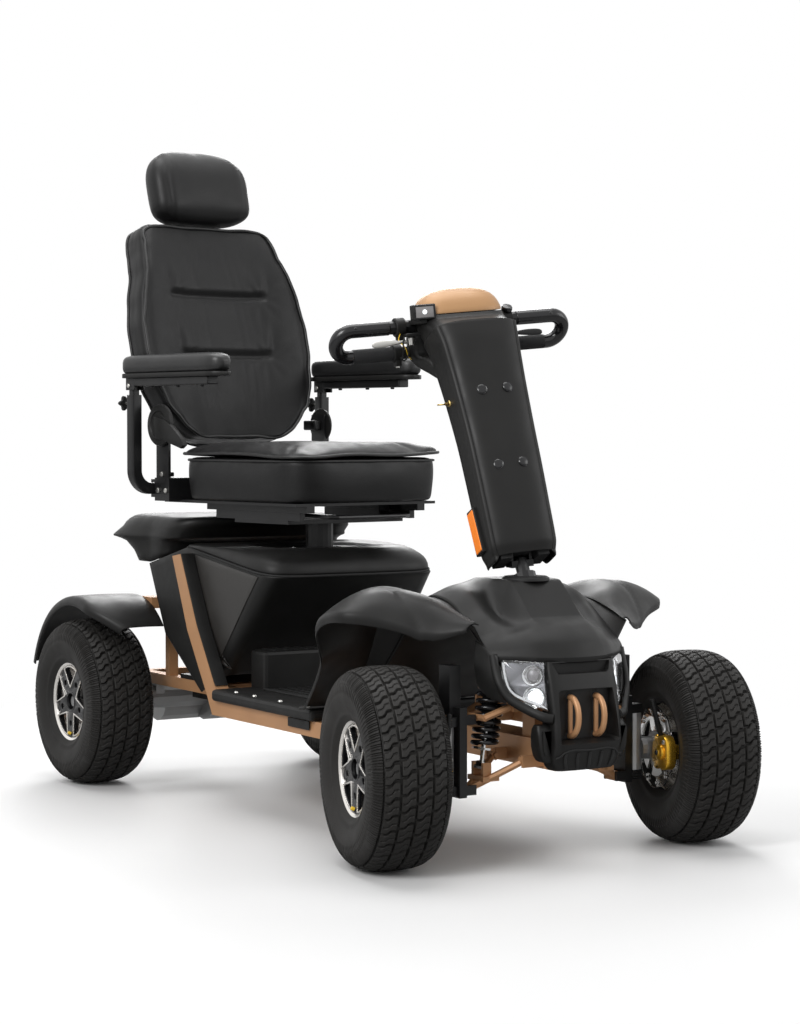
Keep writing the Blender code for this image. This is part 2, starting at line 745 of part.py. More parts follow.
def front_structure():
    """The shock tower, its ears and pins, and the lugs of the lower and upper arms."""
    pieces = [block((-0.030, FRONT_Y - 0.020, 0.190), (0.030, FRONT_Y + 0.020, 0.405))]
    spread = ARM_SPREAD + SLEEVE_HALF + GAP
    outer = spread + EAR
    pieces.append(block((-0.042, FRONT_Y - outer, 0.281), (0.042, FRONT_Y + outer, 0.303)))
    beam = SHOCK_HIGH[1] + SHOCK_EYE_RADIUS + 0.003
    pieces.append(block((-0.121, FRONT_Y - 0.0175, beam), (0.121, FRONT_Y + 0.0175, beam + 0.009)))
    for side in (-1, 1):
        for end in (-1, 1):
            near, far = FRONT_Y + end * spread, FRONT_Y + end * outer
            for x_z, half in ((LOWER_INNER, 0.011), (UPPER_INNER, 0.010)):
                low, high = x_z[1] - half, x_z[1] + half
                pieces.append(side_block(side, 0.020, x_z[0] + half, near, far, low, high))
                tip = point(side, x_z, end * (ARM_SPREAD - SLEEVE_HALF - 0.002))
                foot = point(side, x_z, end * (spread + 0.002))
                pieces.append(rod(tip, foot, PIN_RADIUS, 6))
            ear = SHOCK_EYE_HALF + GAP
            near, far = FRONT_Y + end * ear, FRONT_Y + end * (ear + 0.005)
            low, high = SHOCK_HIGH[1] - 0.011, beam + 0.002
            pieces.append(side_block(side, SHOCK_HIGH[0] - 0.012, 0.1205, near, far, low, high))
        reach = SHOCK_EYE_HALF + 0.003
        ends = point(side, SHOCK_HIGH, -reach), point(side, SHOCK_HIGH, reach)
        pieces.append(rod(*ends, SHOCK_PIN_RADIUS, 8))
    return pieces


def along_stem(distance, across=0.0):
    """A place on the steering axis, measured from its foot, or that far to its rear."""
    y, z = STEM_FOOT
    c, s = math.cos(STEM_LEAN), math.sin(STEM_LEAN)
    return Vector((0, y + distance * s + across * c, z + distance * c - across * s))


def main_frame():
    """The welded frame: spine, side rails, cross members, post socket, stays and tower."""
    under = FLOOR_TOP - FLOOR_THICKNESS - GAP
    inside = (RAIL_INNER + RAIL_OUTER) / 2
    front = NOSE_BACK + GAP
    rail_near, rail_far = REAR_RAIL_X, REAR_RAIL_X + REAR_RAIL_WIDTH
    spine = SPINE_HALF_WIDTH
    pieces = [block((-spine, front, SPINE_BOTTOM), (spine, FLOOR_REAR, under))]
    members = (FLOOR_FRONT + 0.035, FLOOR_FRONT + 0.065), (FLOOR_REAR - 0.030, FLOOR_REAR + 0.018)
    for low, high in members:
        pieces.append(block((-inside, low, RAIL_BOTTOM + 0.001), (inside, high, under - 0.001)))
    pieces.append(block((-spine, front, 0.200), (spine, front + 0.012, 0.340)))
    pieces.append(block((-0.020, front + 0.006, 0.300), (0.020, FRONT_Y, 0.330)))
    rear_end = REAR_Y + 0.075
    cross = rail_near + 0.004
    low, high = REAR_RAIL_BOTTOM + 0.001, REAR_RAIL_TOP - 0.001
    for front_side, rear_side in ((0.315, 0.350), (rear_end - 0.020, rear_end - 0.001)):
        pieces.append(block((-cross, front_side, low), (cross, rear_side, high)))
    pieces.append(block((-0.020, POST_Y + POST_RADIUS + 0.003, 0.407), (0.020, 0.345, 0.430)))
    pieces.append(block((-0.020, 0.322, 0.235), (0.020, 0.345, 0.430)))
    pieces.append(rod((0, POST_Y, 0.400), (0, POST_Y, 0.490), POST_RADIUS + 0.008, 16))
    for side in (-1, 1):
        pieces.append(side_rail(side))
        low, high = REAR_RAIL_BOTTOM, REAR_RAIL_TOP
        pieces.append(side_block(side, rail_near, rail_far, FLOOR_REAR + 0.002, rear_end, low, high))
        top = DECK_TOP - SHELL - GAP
        pieces.append(side_block(side, rail_near, rail_far - 0.003, 0.552, 0.572, 0.235, top))
        bracket = FENDER_INNER - GAP
        pieces.append(side_block(side, rail_near + 0.005, bracket, 0.555, 0.612, 0.395, 0.420))
    pieces += front_structure()
    pieces.append(rod(along_stem(-0.140), along_stem(-0.020), 0.022, 12))
    bore = around(STEER_SHAFT, 12)
    cuts = [rod((0, POST_Y, 0.380), (0, POST_Y, 0.520), around(POST_RADIUS, 16), 16)]
    cuts.append(rod(along_stem(-0.110), along_stem(0.02), bore, 12))
    welded("main_frame", copper_paint(), pieces, cuts)


def floor_pan():
    """The foot platform with the step at its rear."""
    bottom = FLOOR_TOP - FLOOR_THICKNESS
    pan = block((-FLOOR_HALF_WIDTH, FLOOR_FRONT, bottom), (FLOOR_HALF_WIDTH, FLOOR_REAR, FLOOR_TOP))
    bevel(pan, 0.008)
    half = STEP_HALF_WIDTH
    step = block((-half, STEP_FRONT, bottom + 0.01), (half, FLOOR_REAR - 0.001, STEP_TOP))
    bevel(step, 0.008)
    welded("floor_pan", black_plastic(), [pan, step])


def battery_pack():
    wing = REAR_RAIL_X + REAR_RAIL_WIDTH
    case = block((-0.155, 0.370, 0.196), (0.155, 0.500, 0.400))
    ledge = block((-wing, 0.380, REAR_RAIL_TOP + GAP), (wing, 0.490, REAR_RAIL_TOP + 0.010))
    welded("battery_pack", black_plastic(), [case, ledge])


def corner_path(front, rear, half_front, half_rear, radius, turn_steps=4):
    """A level U from the right rear round the front corners to the left rear, as (x, y)."""
    quarter = []
    for i in range(turn_steps + 1):
        angle = math.pi / 2 * i / turn_steps
        x = half_front - radius + radius * math.sin(angle)
        quarter.append((x, front + radius - radius * math.cos(angle)))
    left = quarter + [(half_rear, (front + rear) / 2), (half_rear, rear)]
    return [(-x, y) for x, y in reversed(left)] + left


def body_shroud():
    """The side walls and the sloping front wall under the lid, open below and behind."""
    seam_z = SEAM_FRONT[1] - GAP - 0.0035
    levels = [
        ((0.240, 0.270), (0.290, 0.2415), (0.3135, 0.2285), 0.0085),
        ((0.142, 0.3815), (0.360, 0.3600), (0.490, 0.3450), 0.0145),
        ((SEAM_FRONT[0], seam_z), (SEAM_REAR[0], SEAM_REAR[1] - GAP), SHROUD_REAR, 0.0215),
    ]
    rows = []
    for front, middle, rear, inset in levels:
        half = BODY_HALF_WIDTH - inset
        path = corner_path(front[0], rear[0], half, BODY_HALF_WIDTH, 0.035)
        row = []
        for i, (x, y) in enumerate(path):
            place = min(i, len(path) - 1 - i)
            if place == 0:
                z = rear[1]
            elif place == 1:
                y, z = middle
            else:
                run = (y - front[0]) / (middle[0] - front[0])
                z = front[1] + (middle[1] - front[1]) * run
            row.append((x, y, z))
        rows.append(row)
    grey = material("warm_grey_plastic", (0.050, 0.047, 0.044), 0.5)
    welded("body_shroud", grey, [shell(rows, SHELL)])


def lid_ring(inset, rise, highest, count=20):
    """A rounded outline round the lid, a little above the seam's slope."""
    front, rear = SEAM_FRONT[0] - 0.004 + inset, 0.425 - inset
    slope = (SEAM_REAR[1] - SEAM_FRONT[1]) / (SEAM_REAR[0] - SEAM_FRONT[0])
    points = []
    for x, y, _ in ring((0, (front + rear) / 2, 0), 1.0, (rear - front) / 2, 7, count):
        half = BODY_HALF_WIDTH - 0.018 + (y - front) * 0.05 - inset
        height = min(SEAM_FRONT[1] + (y - SEAM_FRONT[0]) * slope + rise, highest)
        points.append((x * min(half, BODY_HALF_WIDTH - inset), y, height))
    return points


def body_lid():
    """The lid over the body with its dished tray round the seat post's hole."""
    count = 20
    edge = [lid_ring(0, 0, LID_TOP - 0.006), lid_ring(0, 0.012, LID_TOP - 0.0015)]
    edge += [lid_ring(0.006, 0.024, LID_TOP), lid_ring(0.030, 0.040, LID_TOP)]
    tray_edge = ring((0, 0.215, LID_TOP), 0.130, 0.100, 4, count)
    tray = ring((0, 0.210, LID_TOP - 0.008), 0.118, 0.088, 4, count)
    hole = ring((0, POST_Y, LID_TOP - 0.008), HOLE_RADIUS, HOLE_RADIUS, 2, count)
    body = loft(edge + [tray_edge, tray, hole], cap=False)
    solidify(body, 0.003)
    welded("body_lid", black_plastic(), [body])


def shroud_top(y):
    """The height of the shroud's upper edge behind the lid's seam."""
    (near, high), (far, low) = SEAM_REAR, SHROUD_REAR
    return high + (low - high) * min(1.0, (y - near) / (far - near))


def rear_deck():
    """The deck behind the seat, a hollow cap whose lip flares over the rear wheels."""
    count = 20
    centre = (0, 0.562)
    levels = [
        (0.500, -0.0015, 0.088, 0.000),
        (0.545, 0.0005, 0.100, 0.030),
        (0.556, 0.0045, 0.135, 0.050),
        (0.578, 0.0015, 0.150, 0.028),
        (0.597, -0.0055, 0.160, 0.010),
        (DECK_TOP, -0.0155, 0.155, 0.000),
    ]
    rings = []
    for z, proud, half_depth, flare in levels:
        half_width = BODY_HALF_WIDTH + proud
        shift = 0.012 * (z < 0.57)
        points = []
        for x, y, _ in ring((0, centre[1] + shift, z), half_width, half_depth, 6, count):
            grown = 1 + flare * max(0.0, y - centre[1]) / half_depth / half_width
            points.append((x * grown, y, max(z, shroud_top(y) + GAP + 0.0015)))
        rings.append(points)
    bm = bmesh.new()
    loops = [[bm.verts.new(p) for p in points] for points in rings]
    for lower, upper in zip(loops, loops[1:]):
        for i in range(count):
            j = (i + 1) % count
            bm.faces.new((lower[i], lower[j], upper[j], upper[i]))
    bm.faces.new(loops[-1])
    bmesh.ops.recalc_face_normals(bm, faces=bm.faces)
    deck = object_of(bm, "deck", None)
    solidify(deck, SHELL)
    welded("rear_deck", black_plastic(), [deck])


def rear_fender(name, side):
    """An arch over the rear tyre with a lip along its outer edge."""
    outer = FENDER_OUTER
    corner = FENDER_RADIUS - 0.012
    profile = [
        (corner - 0.003, outer), (FENDER_RADIUS - 0.003, outer - 0.004),
        (FENDER_RADIUS, outer - 0.016), (FENDER_RADIUS, FENDER_INNER),
    ]
    steps = 14
    rows = []
    for i in range(steps + 1):
        angle = FENDER_FROM + (FENDER_TO - FENDER_FROM) * i / steps
        c, s = math.cos(angle), math.sin(angle)
        rows.append([(side * x, REAR_Y + r * c, WHEEL_RADIUS + r * s) for r, x in profile])
    welded(name, black_plastic(), [shell(rows, FENDER_SHELL, flip=side < 0)])


def front_fender(name, side):
    """A wing from the nose over the tyre and down to the floor, by stations along its length."""
    foot = FLOOR_TOP + FENDER_SHELL + GAP
    stations = [
        ((0.165, -0.0325, 0.440), (0.185, -0.0275, 0.436), 0.004),
        ((0.170, 0.0145, 0.455), (0.235, 0.0145, 0.430), 0.014),
        ((0.172, 0.0745, 0.470), (0.300, 0.0645, 0.451), 0.026),
        ((0.174, 0.1375, 0.475), (0.362, 0.1095, 0.462), 0.032),
        ((0.178, 0.1945, 0.485), (0.365, 0.1745, 0.455), 0.026),
        ((0.190, 0.2445, 0.460), (0.355, 0.2245, 0.430), 0.020),
        ((0.178, 0.3145, 0.370), (0.330, 0.2495, 0.364), 0.010),
        ((0.172, 0.3905, 0.2590), (0.285, 0.3905, 0.2590), 0.000),
        ((0.172, FOOT_REACH, foot), (0.283, FOOT_REACH, foot), 0.000),
    ]
    across = 6
    rows = []
    for inner, outer, rise in stations:
        row = []
        for i in range(across + 1):
            t = i / across
            p = Vector(inner).lerp(Vector(outer), t)
            p.y += FRONT_Y
            p.z += rise * 4 * t * (1 - t)
            row.append((side * p.x, p.y, p.z))
        row.append((side * (outer[0] + 0.001), FRONT_Y + outer[1], outer[2] - min(0.018, rise + 0.003)))
        rows.append(row)
    welded(name, black_plastic(), [shell(rows, FENDER_SHELL, flip=side < 0)])


def cowl_column(half, places):
    return [(half, FRONT_Y + y, z) for y, z in places]


def front_cowl():
    """The hood, the raised platform round the tiller and the leg shield down to the floor."""
    foot = [(0.1945, 0.468), (0.2495, 0.400), (0.3195, 0.330), (0.3905, 0.2590)]
    foot.append((FOOT_REACH, FLOOR_TOP + FENDER_SHELL + GAP))
    columns = [
        cowl_column(0.0, [(-0.1305, 0.386), (-0.0905, 0.418), (-0.0495, 0.448), (0.0195, 0.514),
                          (0.0845, 0.517), (0.1545, 0.513)] + foot),
        cowl_column(0.056, [(-0.1205, 0.386), (-0.0835, 0.417), (-0.0495, 0.448), (0.0195, 0.514),
                            (0.0845, 0.517), (0.1545, 0.512)] + foot),
        cowl_column(0.088, [(-0.1035, 0.387), (-0.0705, 0.412), (-0.0355, 0.436), (0.0225, 0.470),
                            (0.0745, 0.500), (0.1445, 0.507)] + foot),
        cowl_column(0.122, [(-0.0755, 0.388), (-0.0535, 0.401), (-0.0205, 0.422), (0.0245, 0.456),
                            (0.0715, 0.494), (0.1395, 0.500)] + foot),
        cowl_column(0.155, [(-0.0445, 0.387), (-0.0305, 0.399), (-0.0105, 0.414), (0.0205, 0.436),
                            (0.0745, 0.472), (0.1345, 0.484)] + foot),
    ]
    every = [[(-x, y, z) for x, y, z in column] for column in reversed(columns[1:])] + columns
    rows = [list(row) for row in zip(*every)]
    skin = shell(rows, FENDER_SHELL)
    hole = rod(along_stem(-0.060), along_stem(0.040), 0.030, 16)
    welded("front_cowl", black_plastic(), [skin], [hole])


def nose_grille():
    """The upright nose with its recess, side pads and skid."""
    stations = [
        (0.178, -0.1405, 0.062), (0.200, -0.147, 0.075), (0.230, -0.156, 0.075),
        (0.328, -0.1385, 0.075), (0.376, -0.1235, 0.073),
    ]
    rings = []
    for z, ahead, half in stations:
        front = FRONT_Y + ahead
        middle = (front + NOSE_BACK) / 2
        rings.append(ring((0, middle, z), half, (NOSE_BACK - front) / 2, 9, 16))
    pads = loft([ring((0, FRONT_Y - 0.1215, z), half, 0.0190, 5, 12) for z, half in
                 ((0.187, 0.112), (0.197, 0.120), (0.241, 0.120), (0.251, 0.112))])
    recess = block((-0.062, FRONT_Y - 0.2055, 0.231), (0.062, GRILLE_WALL, 0.326))
    welded("nose_grille", black_plastic(), [loft(rings), pads], [recess])


def grille_hooks():
    """Two tow rings on the plate that is bolted to the back of the recess."""
    back = GRILLE_WALL - GAP
    plate = block((-0.040, back - 0.004, 0.234), (0.040, back, 0.322))
    pieces = [plate]
    for side in (-1, 1):
        points = []
        for i in range(9):
            angle = math.pi * i / 8
            y = back - 0.002 - 0.028 * math.sin(angle)
            points.append((side * 0.029, y, 0.2755 + 0.036 * math.cos(angle)))
        pieces.append(tube(points, 0.0058, resolution=1))
    welded("grille_hooks", copper_paint(), pieces)


def headlight(name, side):
    """A lamp body between the nose and the hood's corner."""
    near = NOSE_HALF_WIDTH + GAP
    face = [
        (near, -0.1185, 0.378), (0.110, -0.0905, 0.382), (0.137, -0.0585, 0.384),
        (0.137, -0.0735, 0.330), (0.120, -0.0855, 0.308), (near, -0.1345, 0.285),
    ]
    front = [(side * x, FRONT_Y + y, z) for x, y, z in face]
    back = [(side * x, FRONT_Y + y + 0.038, z + (0.3405 - z) * 0.15) for x, y, z in face]
    welded(name, material("lamp_lens", (0.6, 0.6, 0.62), 0.15), [loft([front, back])])


def seat_post(parent):
    """The post that turns in the frame's socket, with its plate and the lower rails."""
    pieces = [rod((0, POST_Y, POST_BOTTOM), (0, POST_Y, 0.603), POST_RADIUS, 16)]
    pieces.append(block((-0.157, POST_Y - 0.095, 0.5985), (0.157, POST_Y + 0.095, 0.6075)))
    for side in (-1, 1):
        pieces.append(side_block(side, 0.143, 0.1565, 0.060, 0.360, 0.6062, RAIL_JOINT))
    hold(welded("seat_post", zinc(), pieces), parent)


def seat_frame(parent):
    """The upper rails, seat pan, recliner plates and the receivers of the armrest posts."""
    top = SEAT_PAN_TOP
    pieces = [block((-0.190, 0.030, top - 0.006), (0.190, 0.510, top))]
    pieces.append(block((-RECLINER_FAR, CUSHION_REAR + 0.004, 0.641), (RECLINER_FAR, 0.506, 0.692)))
    for side in (-1, 1):
        pieces.append(side_block(side, 0.140, 0.160, 0.030, 0.390, RAIL_JOINT + GAP, top - 0.003))
        pieces.append(side_block(side, 0.107, 0.136, LEVER_LUG_Y, 0.134, 0.609, top - 0.003))
        sleeve = RECEIVER_Z - 0.020, RECEIVER_Z + 0.020
        front, rear = ARMREST_POST_Y - 0.020, ARMREST_POST_Y + 0.020
        pieces.append(side_block(side, 0.115, 0.205, front, rear, *sleeve))
        pieces.append(side_block(side, RECLINER_NEAR, RECLINER_FAR, 0.4515, 0.499, 0.650, 0.832))
        inner, outer = side * (RECLINER_NEAR - 0.017), side * (RECLINER_NEAR + 0.001)
        pieces.append(rod((inner, *BACK_PIVOT), (outer, *BACK_PIVOT), RECLINE_PIN, 12))
    cuts = []
    for side in (-1, 1):
        near, far = side * 0.125, side * 0.240
        ends = (near, ARMREST_POST_Y, RECEIVER_Z), (far, ARMREST_POST_Y, RECEIVER_Z)
        cuts.append(rod(*ends, around(ARMREST_TUBE, 12), 12))
    hold(welded("seat_frame", black_metal(), pieces, cuts), parent)


def slide_lever(parent):
    """The bent wire under the cushion's front that frees the rails."""
    half = [(0.115, LEVER_LUG_Y - LEVER_PLAY, LEVER_Z), (0.115, 0.040, LEVER_Z - 0.002),
            (0.108, 0.022, LEVER_Z - 0.0035), (0.090, 0.014, LEVER_Z - 0.004)]
    points = [(-x, y, z) for x, y, z in half] + half[::-1]
    hold(welded("slide_lever", zinc(), [tube(points, 0.004)]), parent)


def seat_cushion(parent):
    """A crowned cushion with drawn-in sides, a piped lip and two sewn channels."""
    count = 20
    middle = (CUSHION_FRONT + CUSHION_REAR) / 2
    depth = (CUSHION_REAR - CUSHION_FRONT) / 2
    bottom = SEAT_PAN_TOP + GAP
    levels = [
        (0.0, 0.95), (0.010, 0.985), (0.045, 0.965),
        (0.080, 0.985), (0.092, 1.0), (0.103, 0.985),
    ]
    rings = [
        ring((0, middle, bottom + rise), CUSHION_HALF_WIDTH * size, depth * size, 5, count)
        for rise, size in levels
    ]
    for size in (0.93, 0.84, 0.74, 0.60, 0.40, 0.18):
        rings.append([
            (x, y, crown_height(x, y, middle, depth))
            for x, y, _ in ring((0, middle, 0), CUSHION_HALF_WIDTH * size, depth * size, 5, count)
        ])
    hold(welded("seat_cushion", leather(), [loft(rings)]), parent)


def crown_height(x, y, middle, depth):
    """The height of the cushion's top, with a sewn channel along each side."""
    across, along = abs(x) / CUSHION_HALF_WIDTH, abs(y - middle) / depth
    crown = CUSHION_TOP + 0.006 * (1 - across**2) * (1 - along**2)
    channel = 0.007 * math.exp(-(((abs(x) - 0.155) / 0.012) ** 2))
    return crown - channel


def along_back(height, depth, x=0.0):
    """A place in the back's own directions: up its front face, and in behind it."""
    y, z = BACK_FOOT
    c, s = math.cos(BACK_LEAN), math.sin(BACK_LEAN)
    return Vector((x, y + height * s + depth * c, z + height * c - depth * s))


def back_half_width(height):
    """The shield outline: broad at the shoulders of the lower third, narrow at both ends."""
    knots = [(0.0, 0.130), (0.04, 0.170), (0.225, 0.220), (0.388, 0.2315), (0.636, 0.215),
             (0.779, 0.196), (0.934, 0.180), (1.0, 0.150)]
    share = height / BACK_LENGTH
    for (low, first), (high, second) in zip(knots, knots[1:]):
        if share <= high:
            return first + (second - first) * (share - low) / (high - low)
    return knots[-1][1]


def seat_back(parent):
    """The back with side bolsters, a crowned middle and two sewn channels across it."""
    stations = [0.0, 0.010, 0.030, 0.070, 0.115, 0.155]
    for channel in BACK_CHANNELS:
        stations += [channel - 0.013, channel, channel + 0.013]
        stations += [0.265] if channel == BACK_CHANNELS[0] else []
    stations += [BACK_LENGTH - down for down in (0.103, 0.053, 0.018, 0.006, 0.0)]
    count = 16
    rings = []
    for height in stations:
        half = back_half_width(height)
        end = min(height, BACK_LENGTH - height)
        thick = 0.050 * (0.62 + 0.38 * min(1.0, (end / 0.06) ** 0.5))
        points = []
        for x, v, _ in ring((0, 0.050, 0), half, thick, 3.2, count):
            share = min(1.0, abs(x) / half)
            v -= 0.042 * share**2.5
            if v < 0.03 and height in BACK_CHANNELS:
                v += 0.012 * (abs(x) < 0.130)
            points.append(along_back(height, v, x))
        rings.append(points)
    pieces = [loft(rings)]
    y, z = BACK_PIVOT
    for side in (-1, 1):
        far = RECLINER_NEAR - GAP
        pieces.append(side_block(side, 0.110, far, y + 0.024, y + 0.052, z - 0.011, z + 0.011))
        pieces.append(side_block(side, 0.1965, far, y - 0.013, y + 0.034, z - 0.0112, z + 0.0112))
    cuts = []
    for side in (-1, 1):
        heights = (BACK_LENGTH - 0.163, BACK_LENGTH + 0.027)
        ends = [along_back(h, STALK_DEPTH, side * STALK_X) for h in heights]
        cuts.append(rod(*ends, HEADREST_STALK + GAP, 8))
        cuts.append(rod((side * 0.190, y, z), (side * 0.230, y, z), around(RECLINE_PIN, 12), 12))
    hold(welded("seat_back", leather(), pieces, cuts), parent)


def headrest(parent):
    """A pillow on two stalks that slide in the back."""
    foot = HEADREST_FOOT
    stations = [(0.0, 0.72, 0.45), (0.008, 0.90, 0.75), (0.030, 1.0, 0.98), (0.080, 1.0, 1.0),
                (0.130, 1.0, 0.98), (0.165, 0.93, 0.80), (0.178, 0.76, 0.45)]
    rings = []
    for rise, wide, deep in stations:
        points = ring((0, 0.026, 0), 0.133 * wide, 0.055 * deep, 3.2, 16)
        rings.append([along_back(foot + rise, v, x) for x, v, _ in points])
    pieces = [loft(rings)]
    for side in (-1, 1):
        heights = (BACK_LENGTH - 0.143, foot + 0.040)
        ends = [along_back(h, STALK_DEPTH, side * STALK_X) for h in heights]
        pieces.append(rod(*ends, HEADREST_STALK, 8))
    hold(welded("headrest", leather(), pieces), parent)


def armrest_post(name, side, parent):
    """The bent tube from the receiver up to the armrest's pivot."""
    bend = 0.040
    points = [(0.133, RECEIVER_Z), (ARMREST_X - bend, RECEIVER_Z)]
    for k in range(1, 6):
        angle = math.pi / 2 * k / 5
        x = ARMREST_X - bend + bend * math.sin(angle)
        points.append((x, RECEIVER_Z + bend - bend * math.cos(angle)))
    points.append((ARMREST_X, ARMREST_PIVOT_Z - 0.016))
    path = [(side * x, ARMREST_POST_Y, z) for x, z in points]
    y, z = ARMREST_POST_Y, ARMREST_PIVOT_Z
    near, far = ARMREST_X - 0.009, ARMREST_X + 0.009
    pieces = [tube(path, ARMREST_TUBE)]
    pieces.append(side_block(side, near, far, y - 0.007, y + 0.007, z - 0.022, z))
    pieces.append(rod((side * near, y, z), (side * far, y, z), 0.010, 12))
    ends = (side * (near - 0.01), y, z), (side * (far + 0.01), y, z)
    bore = rod(*ends, around(PIN_RADIUS, 12), 12)
    hold(welded(name, black_metal(), pieces, [bore]), parent)


def armrest(name, side, parent):
    """The pad on its bar, with two cheeks and a pin round the post's eye."""
    middle, half = (PAD_FRONT + PAD_REAR) / 2, (PAD_REAR - PAD_FRONT) / 2
    levels = (
        (PAD_BOTTOM, 0.90), (PAD_BOTTOM + 0.007, 1.0), (PAD_TOP - 0.009, 1.0), (PAD_TOP, 0.84),
    )
    rings = []
    for z, size in levels:
        inset = PAD_HALF_WIDTH * (1 - size)
        centre = (side * ARMREST_X, middle, z)
        rings.append(ring(centre, PAD_HALF_WIDTH * size, half - inset, 5, 16))
    y, z = ARMREST_POST_Y, ARMREST_PIVOT_Z
    low, top = z - 0.005, PAD_BOTTOM + 0.004
    pieces = [loft(rings)]
    outer, inner = 0.0145, 0.0093
    near, far = ARMREST_X - outer, ARMREST_X + outer
    pieces.append(side_block(side, near, far, 0.217, y - 0.020, low, top))
    for near, far in ((-outer, -inner), (inner, outer)):
        near, far = ARMREST_X + near, ARMREST_X + far
        pieces.append(side_block(side, near, far, y - 0.022, y + 0.012, z - 0.010, top))
    ends = (side * (ARMREST_X - 0.012), y, z), (side * (ARMREST_X + 0.012), y, z)
    pieces.append(rod(*ends, PIN_RADIUS, 8))
    hold(welded(name, black_plastic(), pieces), parent)


def recline_lever(parent):
    """The disc on the right recliner plate with its hand lever."""
    inner = -RECLINER_FAR - GAP
    pieces = [rod((inner, *BACK_PIVOT), (inner - 0.010, *BACK_PIVOT), 0.045, 18)]
    y, z = BACK_PIVOT
    ends = (inner - 0.006, y - 0.020, z - 0.009), (inner - 0.006, y - 0.086, z - 0.036)
    pieces.append(rod(*ends, 0.0055, 8))
    hold(welded("recline_lever", black_plastic(), pieces), parent)


def seat():
    swivel = pivot("seat_swivel_axis", (0, POST_Y, 0.5), (0, 0, 1), SWIVEL_REST)
    seat_post(swivel)
    slide = pivot("seat_slide_axis", (0, POST_Y, RAIL_JOINT), parent=swivel)
    seat_frame(slide)
    seat_cushion(slide)
    slide_lever(pivot("slide_lever_axis", (0, LEVER_LUG_Y - LEVER_PLAY, LEVER_Z), parent=slide))
    recline_lever(pivot("recline_lever_axis", (0, *BACK_PIVOT), parent=slide))
    recline = pivot("back_recline_axis", (0, *BACK_PIVOT), parent=slide)
    seat_back(recline)
    headrest(pivot("headrest_axis", along_back(BACK_LENGTH, STALK_DEPTH), parent=recline))
    for side, letter in ((1, "l"), (-1, "r")):
        receiver = (side * 0.2, ARMREST_POST_Y, RECEIVER_Z)
        width = pivot("armrest_width_axis_" + letter, receiver, parent=slide)
        armrest_post("armrest_post_" + letter, side, width)
        hinge = (side * ARMREST_X, ARMREST_POST_Y, ARMREST_PIVOT_Z)
        swing = pivot("armrest_axis_" + letter, hinge, parent=width)
        armrest("armrest_" + letter, side, swing)


def stem_ring(distance, bow, half_width, half_depth, power=3.2, count=16):
    centre = along_stem(distance, bow)
    return ring(centre, half_width, half_depth, power, count, -STEM_LEAN)


def steer_base(parent):
    """The steering shaft with the fork that carries the tiller's tilt pin."""
    tilt = along_stem(TILT_HEIGHT)
    y, z = tilt.y, tilt.z
    pieces = [rod(along_stem(-0.105), along_stem(-0.010), STEER_SHAFT, 12)]
    pieces.append(rod(along_stem(-0.020 + GAP), along_stem(0.008), 0.022, 12))
    pieces.append(rod(along_stem(0.004), along_stem(TILT_HEIGHT - 0.022), 0.013, 12))
    cheek = STEM_RADIUS + GAP
    far = cheek + 0.006
    pieces.append(block((-far, y - 0.020, z - 0.034), (far, y + 0.012, z - 0.021)))
    for side in (-1, 1):
        pieces.append(side_block(side, cheek, far, y - 0.014, y + 0.014, z - 0.030, z + 0.013))
    pieces.append(rod((-cheek - 0.003, y, z), (cheek + 0.003, y, z), TILT_PIN_RADIUS, 12))
    hold(welded("steer_base", black_metal(), pieces), parent)


def tiller_stem(parent):
    tilt = along_stem(TILT_HEIGHT)
    reach = Vector((STEM_RADIUS, 0, 0))
    pieces = [rod(tilt - reach, tilt + reach, STEM_RADIUS, 16)]
    pieces.append(rod(along_stem(TILT_HEIGHT + 0.004), along_stem(STEM_TOP), STEM_RADIUS, 16))
    bore = rod(tilt - reach * 2, tilt + reach * 2, around(TILT_PIN_RADIUS, 12), 12)
    hold(welded("tiller_stem", zinc(), pieces, [bore]), parent)


def tiller_cover(parent):
    """The long housing round the stem, rounded at its foot about the tilt pin."""
    stations = [
        (0.030, 0.0, 0.058, 0.022), (0.041, 0.0, 0.063, 0.036), (0.060, 0.0, 0.066, 0.045),
        (0.130, -0.010, 0.067, 0.045), (0.283, -0.024, 0.0695, 0.047), (0.375, -0.027, 0.073, 0.051),
        (0.468, -0.028, 0.079, 0.057), (COVER_TOP, -0.022, 0.0835, 0.061),
    ]
    lock = along_stem(LOCK_HEIGHT, LOCK_ACROSS)
    boss = rod(lock - Vector((0.058, 0, 0)), lock - Vector((LOCK_FACE, 0, 0)), 0.011, 14)
    fork_room = [stem_ring(end, 0, 0.036, 0.037, 5) for end in (-0.02, TILT_HEIGHT + 0.024)]
    cuts = [loft(fork_room)]
    cuts.append(rod(along_stem(0.05), along_stem(0.6), around(STEM_RADIUS, 16), 16))
    pieces = [loft([stem_ring(*station) for station in stations]), boss]
    hold(welded("tiller_cover", black_plastic(), pieces, cuts), parent)


